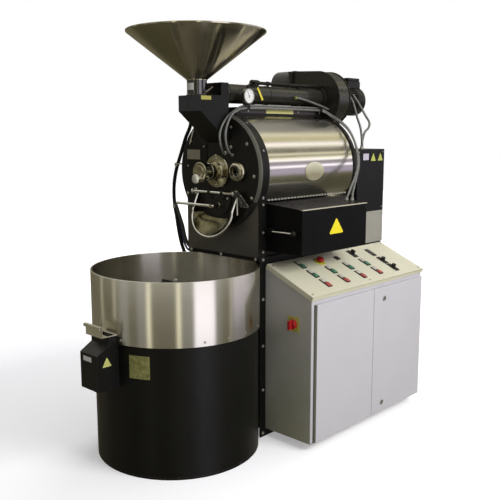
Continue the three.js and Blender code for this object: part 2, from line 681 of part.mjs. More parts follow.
// Discharge door: D-shaped plate on its shaft, with the long handle and its boss
const doorRadius = 92;
const doorThickness = 6;
const doorBackY = discFrontY - fit;
const doorFrontY = doorBackY - doorThickness;
const doorTopZ = 1222;
const handleRadius = 7;
const handleY = 226;
const handleZ = 1168;
const handleX0 = -268;
const handleX1 = 28;
const handleBossX = 10;
const shaftEndX = 148;
const crankThickness = 5;
const doorPlate = alongY(doorShape(doorRadius, doorTopZ), doorFrontY, doorBackY, smallSides);
const doorShaftX0 = lugX[0] - lugThickness / 2;
const doorShaft = rodX(doorShaftRadius, doorShaftX0, shaftEndX, doorShaftY, doorShaftZ);
const doorStraps = [-1, 1].map((side) => box(side * doorRadius / 2 - lugThickness, side * doorRadius / 2 + lugThickness,
  doorShaftY - doorShaftRadius / 2, doorBackY - doorThickness / 2, doorTopZ - lugRadius * 2, doorShaftZ));
const handleBar = rodX(handleRadius, handleX0, handleX1, handleY, handleZ);
const handleBoss = rodY(handleRadius, handleY, doorFrontY + doorThickness / 2, handleBossX, handleZ);
const crankPlate = alongX(outline([
  [doorShaftY + lugRadius, doorShaftZ + lugRadius],
  [doorShaftY - lugRadius, doorShaftZ + lugRadius],
  [doorShaftY - lugRadius * 2, doorShaftZ - lugRadius * 3],
  [doorShaftY - lugRadius, doorShaftZ - lugRadius * 3],
]), shaftEndX - fit, shaftEndX + crankThickness);
node('discharge_door', joined(doorPlate, doorShaft, ...doorStraps, handleBar, handleBoss, crankPlate),
  blackPaint);

// Discharge spout: a bowed trough from the disc to a round-bar rim
const spoutTopZ = 1212;
const spoutMidZ = 1128;
const spoutRimHalf = 136;
const spoutRimDrop = 106;
const spoutRootHalf = 112;
const spoutRootDrop = 26;
const spoutRimTopY = 240;
const spoutRimBottomY = 212;
const spoutSheet = 3;
const spoutRimRadius = 6;
const spoutSteps = 24;
const spoutSpan = (share) => Math.PI * share;
const spoutPoint = (share, half, drop, topY, bottomY, inset) => {
  const angle = spoutSpan(share);
  const depth = Math.sin(angle);
  const side = -Math.cos(angle);
  return new THREE.Vector3(side * (half - inset), topY + (bottomY - topY) * depth,
    spoutMidZ - depth * (drop - inset));
};
const troughLoop = (inset) => {
  const rim = [];
  const root = [];
  for (let i = 0; i <= spoutSteps; i += 1) {
    const share = i / spoutSteps;
    rim.push(spoutPoint(share, spoutRimHalf, spoutRimDrop, spoutRimTopY, spoutRimBottomY, inset));
    root.push(spoutPoint(share, spoutRootHalf, spoutRootDrop, discFrontY - fit, discFrontY - fit, inset));
  }
  const risen = (point) => new THREE.Vector3(point.x, point.y, spoutTopZ);
  rim.unshift(risen(rim[0]));
  rim.push(risen(rim[rim.length - 1]));
  root.unshift(risen(root[0]));
  root.push(risen(root[root.length - 1]));
  return { rim, root };
};
const troughGeometry = () => {
  const outer = troughLoop(0);
  const inner = troughLoop(spoutSheet);
  const rails = [outer.rim, outer.root, inner.root, inner.rim];
  const places = rails.flat().flatMap((point) => point.toArray());
  const count = outer.rim.length;
  const corners = [];
  const face = (a, b, c, d) => corners.push(a, b, c, a, c, d);
  for (let i = 0; i < count - 1; i += 1) {
    for (let rail = 0; rail < 4; rail += 1) {
      const here = rail * count + i;
      const next = ((rail + 1) % 4) * count + i;
      face(here, here + 1, next + 1, next);
    }
  }
  face(0, count, count * 2, count * 3);
  face(count - 1, count * 4 - 1, count * 3 - 1, count * 2 - 1);
  const geometry = new THREE.BufferGeometry();
  geometry.setAttribute('position', new THREE.Float32BufferAttribute(places, 3));
  geometry.setIndex(corners);
  return geometry;
};
const spoutRimPath = troughLoop(spoutSheet / 2).rim.map((point) => point.toArray());
node('discharge_spout', joined(solidOf(troughGeometry()),
  routed(spoutRimPath, spoutRimRadius, boltSides, spoutRimRadius * 4)), brightChrome);

// Hopper box on the head's front: bean passage below the neck, smoke passage behind it
const funnelY = 150;
const hopperHalfWidth = 78;
const hopperFrontY = 100;
const hopperFrontHeight = 74;
const hopperBottomZ = hopperTopZ - hopperFrontHeight;
const hopperBlockY = 235;
const hopperBlockRise = 62;
const hopperBlockTopZ = hopperTopZ + hopperBlockRise;
const hopperWall = 4;
const neckRadius = 47.5;
const neckHeight = 70;
const neckTopZ = hopperTopZ + neckHeight;
const hopperBackY = discFrontY - fit;
const hopperOutside = alongX(outline([
  [hopperFrontY, hopperBottomZ],
  [hopperBackY, hopperToeZ],
  [hopperBackY, hopperBlockTopZ],
  [hopperBlockY, hopperBlockTopZ],
  [hopperBlockY, hopperTopZ],
  [hopperFrontY, hopperTopZ],
]), -hopperHalfWidth, hopperHalfWidth);
const hopperInside = alongX(outline([
  [hopperFrontY + hopperWall, hopperBottomZ + hopperWall],
  [hopperBackY + overrun, hopperToeZ + hopperWall * 3],
  [hopperBackY + overrun, inletTopZ],
  [hopperBackY - hopperWall, inletTopZ],
  [hopperBackY - hopperWall, hopperBlockTopZ - hopperWall],
  [hopperBlockY + hopperWall, hopperBlockTopZ - hopperWall],
  [hopperBlockY + hopperWall, hopperTopZ - hopperWall],
  [hopperFrontY + hopperWall, hopperTopZ - hopperWall],
]), -hopperHalfWidth + hopperWall, hopperHalfWidth - hopperWall);
const neckTube = rodZ(neckRadius, hopperTopZ - hopperWall, neckTopZ, 0, funnelY, mediumSides);
const neckBore = rodZ(neckRadius - hopperWall, hopperTopZ - hopperWall * 2, neckTopZ + overrun, 0, funnelY,
  mediumSides);
const smokeBore = rodY(pipeRadius - pipeWall, hopperBackY - hopperWall * 2, hopperBackY + overrun, 0, pipeAxisZ,
  mediumSides);
const flapShaftRadius = 5;
const flapLift = 14;
const flapShaftZ = hopperTopZ + flapLift;
const flapShaftBore = rodX(flapShaftRadius + fit, -neckRadius - overrun, neckRadius + overrun, funnelY,
  flapShaftZ);
node('hopper_box', without(joined(hopperOutside, neckTube), hopperInside, neckBore, smokeBore, flapShaftBore),
  blackPaint);

// Feed flap: butterfly plate in the neck with its lever outside
const flapThickness = 2;
const flapRadius = neckRadius - hopperWall - fit * 2;
const flapLeverX = 60;
const flapLeverThickness = 5;
const flapLeverReach = 42;
const flapLeverRise = 24;
const flapShaft = rodX(flapShaftRadius, -neckRadius, flapLeverX + flapLeverThickness, funnelY, flapShaftZ);
const flapPlate = rodZ(flapRadius, flapShaftZ - flapThickness / 2, flapShaftZ + flapThickness / 2, 0, funnelY,
  mediumSides);
const flapLever = routed([
  [flapLeverX + flapLeverThickness / 2, funnelY, flapShaftZ],
  [flapLeverX + flapLeverThickness / 2, funnelY + flapLeverReach, flapShaftZ + flapLeverRise],
], flapLeverThickness, boltSides, flapLeverReach);
node('feed_flap', joined(flapShaft, flapPlate, flapLever), machinedSteel);

// Hopper funnel: spun stainless cone with a straight lip
const funnelRadius = 330;
const funnelHeight = 225;
const funnelTopZ = neckTopZ + funnelHeight;
const funnelLip = 17;
const funnelWall = 3;
const funnelThroat = neckRadius - hopperWall;
const funnelSides = 56;
node('hopper_funnel', turnedZ([
  [funnelThroat, neckTopZ],
  [neckRadius + funnelWall, neckTopZ],
  [neckRadius + funnelWall, neckTopZ + funnelWall],
  [funnelRadius, funnelTopZ - funnelLip],
  [funnelRadius, funnelTopZ],
  [funnelRadius - funnelWall, funnelTopZ],
  [funnelRadius - funnelWall, funnelTopZ - funnelLip + funnelWall / 2],
  [funnelThroat, neckTopZ + funnelWall * 2],
  [funnelThroat, neckTopZ],
], 0, funnelY, funnelSides), brushedSteel);

// Exhaust pipe over the jacket, with a flange at the fan
node('exhaust_pipe', turnedY([
  [pipeRadius - pipeWall, discFrontY],
  [pipeRadius, discFrontY],
  [pipeRadius, rearArchBackY - pipeFlangeThickness],
  [pipeFlangeRadius, rearArchBackY - pipeFlangeThickness],
  [pipeFlangeRadius, rearArchBackY],
  [pipeRadius - pipeWall, rearArchBackY],
  [pipeRadius - pipeWall, discFrontY],
], 0, pipeAxisZ, mediumSides), blackPaint);

// Exhaust fan scroll behind the rear arch, with its outlet to the left
const scrollRadius = 158;
const scrollDrop = 7;
const scrollAxisZ = pipeAxisZ - scrollDrop;
const scrollBackY = 1170;
const scrollSheet = 3;
const outletFaceX = -184;
const outletTopRise = 171;
const outletBottomRise = 13;
const outletTopFarZ = scrollAxisZ + outletTopRise;
const outletBottomZ = scrollAxisZ + outletBottomRise;
const outletPlateHalf = 86;
const outletPlateThickness = 8;
const outletPipeRadius = 80;
const outletPipeEndX = -335;
const outletAxisZ = (outletTopFarZ + outletBottomZ) / 2;
const motorShaftRadius = 10;
const scrollFrontY = rearArchBackY;
const outletAxisY = (scrollFrontY + scrollBackY) / 2;
const scrollBody = (inset) => joined(
  rodY(scrollRadius - inset, scrollFrontY + inset, scrollBackY - inset, 0, scrollAxisZ, largeSides),
  alongY(outline([
    [0, outletBottomZ + inset],
    [0, scrollAxisZ + scrollRadius - inset],
    [outletFaceX, outletTopFarZ - inset],
    [outletFaceX, outletBottomZ + inset],
  ]), scrollFrontY + inset, scrollBackY - inset),
);
const outletPlate = box(outletFaceX - outletPlateThickness, outletFaceX, outletAxisY - outletPlateHalf,
  outletAxisY + outletPlateHalf, outletAxisZ - outletPlateHalf, outletAxisZ + outletPlateHalf);
const outletPipe = rodX(outletPipeRadius, outletPipeEndX, outletFaceX, outletAxisY, outletAxisZ, mediumSides);
const outletBore = rodX(outletPipeRadius - scrollSheet, outletPipeEndX - overrun,
  outletFaceX - outletPlateThickness, outletAxisY, outletAxisZ, mediumSides);
const outletThroat = box(outletFaceX - outletPlateThickness - overrun, outletFaceX + scrollSheet,
  scrollFrontY + scrollSheet, scrollBackY - scrollSheet, outletBottomZ + scrollSheet * 2,
  outletTopFarZ - scrollSheet * 2);
const fanInlet = rodY(pipeRadius - pipeWall, scrollFrontY - overrun, scrollFrontY + scrollSheet + overrun,
  0, pipeAxisZ, mediumSides);
const fanShaftHole = rodY(motorShaftRadius + fit * 2, scrollBackY - scrollSheet - overrun,
  scrollBackY + overrun, 0, scrollAxisZ);
node('fan_scroll', without(joined(scrollBody(0), outletPlate, outletPipe), scrollBody(scrollSheet), outletBore,
  outletThroat, fanInlet, fanShaftHole), blackPaint);

// Exhaust fan impeller on the motor's shaft
const impellerRadius = 128;
const impellerHubRadius = 30;
const bladeCount = 8;
const bladeThickness = 3;
const bladeRootShare = 0.5;
const impellerInset = 16;
const impellerFrontY = scrollFrontY + impellerInset;
const impellerBackY = scrollBackY - impellerInset;
const impellerDisc = rodY(impellerRadius, impellerBackY - bladeThickness, impellerBackY, 0, scrollAxisZ,
  mediumSides);
const impellerHub = rodY(impellerHubRadius, impellerFrontY, impellerBackY, 0, scrollAxisZ);
const impellerShaft = rodY(motorShaftRadius, impellerFrontY, scrollBackY - fit, 0, scrollAxisZ);
const blades = Array.from({ length: bladeCount }, (_, i) => {
  const root = impellerRadius * bladeRootShare;
  const blade = new THREE.BoxGeometry(impellerRadius - root, impellerBackY - impellerFrontY, bladeThickness);
  blade.translate((impellerRadius + root) / 2, (impellerBackY + impellerFrontY) / 2, 0);
  blade.rotateY(i * Math.PI * 2 / bladeCount);
  blade.translate(0, 0, scrollAxisZ);
  return solidOf(blade);
});
node('fan_impeller', joined(impellerDisc, impellerHub, impellerShaft, ...blades), machinedSteel);

// Exhaust fan motor with its cowl, foot and terminal box
const fanMotorRadius = 85;
const fanMotorEndY = 1430;
const cowlRound = 26;
const cowlRoundShare = 0.3;
const terminalHalfWidth = 50;
const terminalY0 = 1290;
const terminalY1 = 1410;
const terminalRise = 131;
const terminalTopZ = scrollAxisZ + terminalRise;
const motorFootHalf = 42;
const motorFootDrop = 12;
const fanMotorBody = turnedY([
  [0, scrollBackY],
  [fanMotorRadius, scrollBackY],
  [fanMotorRadius, fanMotorEndY - cowlRound],
  [fanMotorRadius - cowlRound * cowlRoundShare, fanMotorEndY - cowlRound * cowlRoundShare],
  [fanMotorRadius - cowlRound, fanMotorEndY],
  [0, fanMotorEndY],
], 0, scrollAxisZ, mediumSides);
const terminalBox = box(-terminalHalfWidth, terminalHalfWidth, terminalY0, terminalY1,
  scrollAxisZ + fanMotorRadius / 2, terminalTopZ);
const motorFoot = box(-motorFootHalf, motorFootHalf, scrollBackY, terminalY0,
  scrollAxisZ - fanMotorRadius - motorFootDrop, scrollAxisZ - fanMotorRadius / 2);
node('fan_motor', joined(fanMotorBody, terminalBox, motorFoot), blackPaint);

// Gauge pipework on the exhaust pipe: ball valve body, draft gauge and pipe
const gasPipeRadius = 9;
const gasPipeX = 20;
const gasPipeZ = pipeAxisZ + Math.sqrt((pipeRadius + gasPipeRadius + fit) ** 2 - gasPipeX ** 2);
const valveY0 = 500;
const valveY1 = 556;
const valveRadius = 15;
const valveStemRadius = 6;
const valveStemX = 49;
const valveY = (valveY0 + valveY1) / 2;
const valveLift = valveRadius - gasPipeRadius;
const gaugeX = 110;
const gaugeY = 396;
const gaugeDrop = 14;
const gaugeZ = pipeAxisZ - gaugeDrop;
const gaugeRadius = 38;
const gaugeDepth = 26;
const gaugePipeX = gaugeX - gaugeDepth / 2;
const mainPipe = rodY(gasPipeRadius, gaugeY, rearArchBackY, gasPipeX, gasPipeZ + valveLift);
const crossPipe = rodX(gasPipeRadius, gasPipeX, gaugePipeX + gasPipeRadius, gaugeY, gasPipeZ + valveLift);
const downPipe = rodZ(gasPipeRadius, gaugeZ, gasPipeZ + valveLift, gaugePipeX, gaugeY);
const gaugeCase = rodX(gaugeRadius, gaugeX - gaugeDepth, gaugeX, gaugeY, gaugeZ, mediumSides);
const valveBody = rodY(valveRadius, valveY0, valveY1, gasPipeX, gasPipeZ + valveLift);
const valveStem = rodX(valveStemRadius, gasPipeX, valveStemX - fit, valveY0, gasPipeZ + valveLift);
const pipeFeet = saddleShares.map((share) => {
  const middle = archBackY + (jacketEndY - archBackY) * share;
  return box(gasPipeX - gasPipeRadius, gasPipeX + gasPipeRadius, middle, middle + saddleDepth,
    pipeAxisZ + pipeRadius / 2, gasPipeZ + valveLift);
});
const gaugeRun = joined(mainPipe, crossPipe, downPipe, gaugeCase, valveBody, valveStem, ...pipeFeet);
node('gauge_pipework', gaugeRun.subtract(rodY(pipeRadius + fit, archBackY - overrun, rearArchBackY + overrun,
  0, pipeAxisZ, mediumSides)).subtract(rodY(pipeFlangeRadius + fit, rearArchBackY - pipeFlangeThickness - fit,
  rearArchBackY + overrun, 0, pipeAxisZ, mediumSides)), blackPaint);

// Ball valve lever: flat yellow bar hanging beside the pipe
const valveLeverThickness = 4;
const valveLeverWidth = 13;
const valveLeverEndY = valveY0 + 52;
const valveLeverEndZ = pipeAxisZ - 24;
const valveLeverZ = gasPipeZ + valveLift;
const leverLength = Math.hypot(valveLeverEndY - valveY0, valveLeverEndZ - valveLeverZ);
const leverTurn = Math.atan2(valveLeverEndZ - valveLeverZ, valveLeverEndY - valveY0);
const leverBar = new THREE.BoxGeometry(valveLeverThickness, leverLength + valveLeverWidth, valveLeverWidth);
leverBar.translate(valveStemX + valveLeverThickness / 2, leverLength / 2, 0);
leverBar.rotateX(leverTurn);
leverBar.translate(0, valveY0, valveLeverZ);
node('valve_lever', solidOf(leverBar), yellowPaint);

// Roasting drum: shell, two spiders and four flights
const drumWall = 4;
const drumFrontY = 375;
const drumBackY = 1020;
const spiderThickness = 12;
const spokeWidth = 26;
const frontSpiderY = 450;
const rearSpiderInset = 20;
const drumHubRadius = 34;
const flightHeight = 42;
const flightThickness = 4;
const drumTube = turnedY([
  [drumRadius - drumWall, drumFrontY],
  [drumRadius, drumFrontY],
  [drumRadius, drumBackY],
  [drumRadius - drumWall, drumBackY],
  [drumRadius - drumWall, drumFrontY],
], 0, drumAxisZ, mediumSides);
const spiderReach = drumRadius - drumWall / 2;
const spider = (y) => joined(
  rodY(drumHubRadius, y, y + spiderThickness, 0, drumAxisZ),
  box(-spiderReach, spiderReach, y, y + spiderThickness, drumAxisZ - spokeWidth / 2, drumAxisZ + spokeWidth / 2),
  box(-spokeWidth / 2, spokeWidth / 2, y, y + spiderThickness, drumAxisZ - spiderReach, drumAxisZ + spiderReach),
);
const flights = [0, 1, 2, 3].map((quarter) => {
  const flight = new THREE.BoxGeometry(flightHeight, drumBackY - drumFrontY, flightThickness);
  flight.translate(drumRadius - drumWall / 2 - flightHeight / 2, (drumBackY + drumFrontY) / 2, 0);
  flight.rotateY(Math.PI / 4 + quarter * Math.PI / 2);
  flight.translate(0, 0, drumAxisZ);
  return solidOf(flight);
});
const drumShaftFitBore = shaftBore(frontSpiderY - overrun, drumBackY + overrun);
node('roasting_drum', without(joined(drumTube, spider(frontSpiderY),
  spider(drumBackY - rearSpiderInset - spiderThickness), ...flights), drumShaftFitBore), machinedSteel);

// Drum shaft with the large sprocket, the motor's sprocket and the chain between them
const sprocketY = 1128;
const sprocketThickness = 10;
const drumTeeth = 30;
const motorTeeth = 12;
const toothPitch = 15.9;
const toothHeight = 5;
const toothWidthShare = 0.45;
const driveMotorZ = 1030;
const shaftEndOverhang = 14;
const sprocketTip = (teeth) => teeth * toothPitch / (Math.PI * 2);
const sprocket = (teeth, z) => {
  const tip = sprocketTip(teeth);
  const wheel = rodY(tip - toothHeight, sprocketY, sprocketY + sprocketThickness, 0, z, teeth);
  const toothShapes = Array.from({ length: teeth }, (_, i) => {
    const tooth = new THREE.BoxGeometry(toothHeight * 2, sprocketThickness, toothPitch * toothWidthShare);
    tooth.translate(tip - toothHeight, sprocketY + sprocketThickness / 2, 0);
    tooth.rotateY(i * Math.PI * 2 / teeth);
    tooth.translate(0, 0, z);
    return solidOf(tooth);
  });
  return joined(wheel, ...toothShapes);
};
const shaftEndY = sprocketY + sprocketThickness + shaftEndOverhang;
node('drum_shaft', joined(rodY(shaftRadius, shaftFrontY, shaftEndY, 0, drumAxisZ),
  sprocket(drumTeeth, drumAxisZ)), machinedSteel);
const driveMotorFrontY = 1160;
const motorOutputRadius = 12;
node('motor_sprocket', joined(rodY(motorOutputRadius, sprocketY, driveMotorFrontY - fit, 0, driveMotorZ),
  sprocket(motorTeeth, driveMotorZ)), machinedSteel);
const chainThickness = 8;
const chainSideGap = 3;
const chainLoop = (grown) => {
  const large = Math.hypot(sprocketTip(drumTeeth), toothPitch * toothWidthShare / 2) + fit + grown;
  const small = Math.hypot(sprocketTip(motorTeeth), toothPitch * toothWidthShare / 2) + fit + grown;
  const lean = Math.asin((large - small) / (drumAxisZ - driveMotorZ));
  const shape = new THREE.Shape();
  shape.absarc(0, drumAxisZ, large, -lean, Math.PI + lean, false);
  shape.absarc(0, driveMotorZ, small, Math.PI + lean, Math.PI * 2 - lean, false);
  return shape;
};
const chainY0 = sprocketY - chainSideGap;
const chainY1 = sprocketY + sprocketThickness + chainSideGap;
node('drive_chain', without(alongY(chainLoop(chainThickness), chainY0, chainY1, archSegments),
  alongY(chainLoop(0), chainY0 - overrun, chainY1 + overrun, archSegments)), machinedSteel);

// Drive housing behind the head: upper chain guard and lower motor bay in one folded box
const driveHousingLap = 8;
const driveHousingHalf = headHalfWidth + driveHousingLap;
const driveHousingFrontY = 1095;
const driveHousingTopZ = 1430;
const driveHousingSheet = 3;
const shaftPassRadius = 30;
const ventSlotCount = 5;
const ventSlotHeight = 8;
const ventSlotPitch = 26;
const ventSlotHalfWidth = 110;
const ventFirstZ = 960;
const driveHousingBox = box(-driveHousingHalf, driveHousingHalf, driveHousingFrontY, baseRearY,
  rearShelfZ, driveHousingTopZ);
const driveHousingHollow = box(-driveHousingHalf + driveHousingSheet, driveHousingHalf - driveHousingSheet,
  driveHousingFrontY + driveHousingSheet, baseRearY - driveHousingSheet,
  rearShelfZ + driveHousingSheet, driveHousingTopZ - driveHousingSheet);
const shaftPass = rodY(shaftPassRadius, driveHousingFrontY - overrun,
  driveHousingFrontY + driveHousingSheet + overrun, 0, drumAxisZ, mediumSides);
const ventSlots = Array.from({ length: ventSlotCount }, (_, i) => box(-ventSlotHalfWidth, ventSlotHalfWidth,
  baseRearY - driveHousingSheet - overrun, baseRearY + overrun,
  ventFirstZ + i * ventSlotPitch, ventFirstZ + i * ventSlotPitch + ventSlotHeight));
node('drive_housing', without(driveHousingBox, driveHousingHollow, shaftPass, ...ventSlots), blackPaint);

// Drum drive motor on the housing's floor
const driveMotorRadius = 68;
const driveMotorEndY = 1340;
const driveFootHalf = 58;
const driveFootDepth = 110;
const driveMotorFloorZ = rearShelfZ + driveHousingSheet;
const driveMotorMiddleY = (driveMotorFrontY + driveMotorEndY) / 2;
node('drive_motor', joined(
  rodY(driveMotorRadius, driveMotorFrontY, driveMotorEndY, 0, driveMotorZ, mediumSides),
  box(-driveFootHalf, driveFootHalf, driveMotorMiddleY - driveFootDepth / 2,
    driveMotorMiddleY + driveFootDepth / 2, driveMotorFloorZ, driveMotorZ),
), castIron);

// Burner box at the right of the chamber, with its sloping lid
const burnerFrontY = 362;
const burnerBackY = 880;
const burnerDepth = 246.7;
const burnerInnerX = jacketLowerHalf + fit;
const burnerOuterX = burnerInnerX + burnerDepth;
const burnerBottomZ = 953;
const burnerOuterTopZ = 1166;
const burnerInnerTopZ = 1186;
const burnerNotch = 8.7;
const burnerNotchX = burnerInnerX + burnerNotch;
const burnerNotchZ = 1172;
const burnerSheet = 3;
const burnerLidSlope = (burnerInnerTopZ - burnerOuterTopZ) / (burnerOuterX - burnerNotchX);
const burnerOutside = alongY(outline([
  [burnerInnerX, burnerBottomZ],
  [burnerOuterX, burnerBottomZ],
  [burnerOuterX, burnerOuterTopZ],
  [burnerNotchX, burnerInnerTopZ],
  [burnerNotchX, burnerNotchZ],
  [burnerInnerX, burnerNotchZ],
]), burnerFrontY, burnerBackY);
const burnerHollow = box(burnerInnerX + burnerSheet, burnerOuterX - burnerSheet, burnerFrontY + burnerSheet,
  burnerBackY - burnerSheet, burnerBottomZ + burnerSheet, burnerInnerTopZ + overrun);
const burnerBoxPort = box(burnerInnerX - overrun, burnerInnerX + burnerSheet + overrun, portFrontY, portBackY,
  portBottomZ, portTopZ);
const airLeverInset = 64.7;
const airLeverX = burnerInnerX + airLeverInset;
const airLeverZ = 1057;
const airShaftRadius = 6;
const airShaftBore = rodY(airShaftRadius + fit, burnerFrontY - overrun, burnerFrontY + burnerSheet + overrun,
  airLeverX, airLeverZ);
node('burner_box', without(burnerOutside, burnerHollow, burnerBoxPort, airShaftBore), blackPaint);

const lidLip = 9;
const lidOverhang = 3;
const lidOuterX = burnerOuterX + lidOverhang;
const lidTopAt = (x) => burnerInnerTopZ - (x - burnerNotchX) * burnerLidSlope;
node('burner_box_lid', alongY(outline([
  [burnerNotchX, lidTopAt(burnerNotchX)],
  [burnerOuterX, lidTopAt(burnerOuterX)],
  [burnerOuterX + fit, lidTopAt(burnerOuterX)],
  [burnerOuterX + fit, lidTopAt(lidOuterX) - lidLip],
  [lidOuterX, lidTopAt(lidOuterX) - lidLip],
  [lidOuterX, lidTopAt(lidOuterX) + burnerSheet],
  [burnerNotchX, lidTopAt(burnerNotchX) + burnerSheet],
]), burnerFrontY - lidOverhang / 2, burnerBackY), blackPaint);

// Gas burner: manifold in the box with six tubes through the port
const manifoldRadius = 16;
const manifoldInset = 138.7;
const manifoldX = burnerInnerX + manifoldInset;
const burnerTubeRadius = 11;
const burnerTubeZ = 1004;
const burnerTubeCount = 6;
const burnerTubeSetback = 43;
const burnerTubeEndX = burnerTubeSetback - jacketLowerHalf;
const burnerFootWidth = 20;
const burnerTubeInset = 40;
const manifold = rodY(manifoldRadius, portFrontY, portBackY, manifoldX, burnerTubeZ);
const burnerTubePitch = (portBackY - portFrontY - burnerTubeInset * 2) / (burnerTubeCount - 1);
const burnerTubes = Array.from({ length: burnerTubeCount }, (_, i) => rodX(burnerTubeRadius, burnerTubeEndX,
  manifoldX, portFrontY + burnerTubeInset + i * burnerTubePitch, burnerTubeZ, boltSides));
const burnerFeet = [portFrontY, portBackY - burnerFootWidth].map((y) => box(manifoldX - burnerFootWidth / 2,
  manifoldX + burnerFootWidth / 2, y, y + burnerFootWidth, burnerBottomZ + burnerSheet, burnerTubeZ));
node('gas_burner', joined(manifold, ...burnerTubes, ...burnerFeet), castIron);

// Air damper lever on the burner box's front
const airHubRadius = 15;
const airHubY = 338;
const airRodRadius = 5;
const airKnobRadius = 13;
const airLeverLength = 145;
const airKnobX = airLeverX + airLeverLength;
const airBladeHalf = 20;
const airBladeDepth = 60;
const airBladeThickness = 3;
const airBladeY = burnerFrontY + burnerSheet * 3;
const airRodY = airHubY + airRodRadius;
const airHub = rodY(airHubRadius, airHubY, burnerFrontY - fit, airLeverX, airLeverZ);
const airRod = rodX(airRodRadius, airLeverX, airKnobX, airRodY, airLeverZ);
const airKnob = solidOf(new THREE.SphereGeometry(airKnobRadius, smallSides, boltSides)
  .translate(airKnobX, airRodY, airLeverZ));
const airShaft = rodY(airShaftRadius, airHubY, airBladeY + airBladeDepth, airLeverX, airLeverZ);
const airBlade = box(airLeverX - airBladeHalf, airLeverX + airBladeHalf, airBladeY, airBladeY + airBladeDepth,
  airLeverZ - airBladeThickness / 2, airLeverZ + airBladeThickness / 2);
node('air_lever', joined(airHub, airRod, airKnob, airShaft, airBlade), brightChrome);

// Control panel places, in the panel's own turned group: X down the slope, Y along, Z out
const panelSetback = 13;
const panelBackX = headHalfWidth + panelSetback;
const panelBackZ = 893;
const panelLength = 315;
const panelLeftY = 350;
const panelRightY = 1334;
const panelSheet = 3;
const panelSkirt = 24;
const panelGroup = new THREE.Group();
panelGroup.position.set(panelBackX, panelLeftY, panelBackZ);
panelGroup.rotation.y = panelSlope;
roaster.add(panelGroup);
const panelWidth = panelRightY - panelLeftY;

// Cabinet body: folded sheet with a sloping open top and the door opening at its front
const cabinetSheet = 3;
const cabinetBackX = headHalfWidth + fit;
const doorEdge = 26;
const doorBottomZ = 46;
const doorTopEdgeZ = 729;
const panelDrop = Math.tan(panelSlope);
const slopeBase = panelBackZ - (panelSkirt + fit) / Math.cos(panelSlope);
const cabinetTopAt = (x) => slopeBase - (x - panelBackX) * panelDrop;
const cabinetOutside = alongY(outline([
  [cabinetBackX, cabinetBottomZ],
  [cabinetFrontX, cabinetBottomZ],
  [cabinetFrontX, cabinetTopAt(cabinetFrontX)],
  [cabinetBackX, cabinetTopAt(cabinetBackX)],
]), cabinetLeftY, cabinetRightY);
const cabinetInside = alongY(outline([
  [cabinetBackX + cabinetSheet, cabinetBottomZ + cabinetSheet],
  [cabinetFrontX - cabinetSheet, cabinetBottomZ + cabinetSheet],
  [cabinetFrontX - cabinetSheet, cabinetTopAt(cabinetFrontX) - cabinetSheet],
  [cabinetBackX + cabinetSheet, cabinetTopAt(cabinetBackX) - cabinetSheet],
]), cabinetLeftY + cabinetSheet, cabinetRightY - cabinetSheet);
const cabinetMouth = box(cabinetFrontX - cabinetSheet - overrun, cabinetFrontX + overrun,
  cabinetLeftY + doorEdge * 2, cabinetRightY - doorEdge * 2, doorBottomZ + doorEdge, doorTopEdgeZ - doorEdge);
const cabinetTopHole = alongY(outline([
  [cabinetBackX + doorEdge, cabinetTopAt(cabinetBackX) - doorEdge],
  [cabinetFrontX - doorEdge, cabinetTopAt(cabinetFrontX) - doorEdge],
  [cabinetFrontX - doorEdge, cabinetTopAt(cabinetFrontX) + doorEdge],
  [cabinetBackX + doorEdge, cabinetTopAt(cabinetBackX) + doorEdge],
]), cabinetLeftY + doorEdge, cabinetRightY - doorEdge);
const isolatorInset = 182.7;
const isolatorX = cabinetBackX + isolatorInset;
const isolatorZ = 622;
const isolatorPlateHalf = 37;
const isolatorPlateThickness = 3;
const isolatorPlate = box(isolatorX - isolatorPlateHalf, isolatorX + isolatorPlateHalf,
  cabinetLeftY - isolatorPlateThickness, cabinetLeftY + cabinetSheet / 2,
  isolatorZ - isolatorPlateHalf, isolatorZ + isolatorPlateHalf);
node('cabinet', joined(without(cabinetOutside, cabinetInside, cabinetMouth, cabinetTopHole), isolatorPlate),
  greyPaint);

// Cabinet doors: two folded pans, hinged at the outer edges
const leafThickness = 15;
const leafSheet = 2;
const leafLeftY = 380;
const leafRightY = 1319;
const leafSeamGap = 2;
const lockZ = [98, 668];
const lockInset = 92;
const lockRadius = 11;
const lockHeight = 5;
const leafBackX = cabinetFrontX + fit;
const leafFrontX = cabinetFrontX + leafThickness;
const leafSeamY = (leafLeftY + leafRightY) / 2;
const leaf = (y0, y1) => without(
  box(leafBackX, leafFrontX, y0, y1, doorBottomZ, doorTopEdgeZ),
  box(leafBackX - overrun, leafFrontX - leafSheet, y0 + leafSheet, y1 - leafSheet,
    doorBottomZ + leafSheet, doorTopEdgeZ - leafSheet),
);
const locks = lockZ.map((z) => rodX(lockRadius, leafFrontX - leafSheet, leafFrontX + lockHeight,
  leafSeamY + lockInset, z, boltSides));
node('cabinet_door_left', leaf(leafLeftY, leafSeamY - leafSeamGap / 2), greyPaint);
node('cabinet_door_right', joined(leaf(leafSeamY + leafSeamGap / 2, leafRightY), ...locks), greyPaint);

// Isolator switch on the cabinet's left side
const isolatorKnobRadius = 24;
const isolatorKnobDepth = 22;
const isolatorGripHalf = 7;
const isolatorGripDepth = 14;
const isolatorBackY = cabinetLeftY - isolatorPlateThickness - fit;
const isolatorMidY = isolatorBackY - isolatorKnobDepth;
node('isolator_knob', joined(
  rodY(isolatorKnobRadius, isolatorMidY, isolatorBackY, isolatorX, isolatorZ, mediumSides),
  box(isolatorX - isolatorGripHalf, isolatorX + isolatorGripHalf, isolatorMidY - isolatorGripDepth, isolatorMidY,
    isolatorZ - isolatorKnobRadius, isolatorZ + isolatorKnobRadius),
), redPlastic);

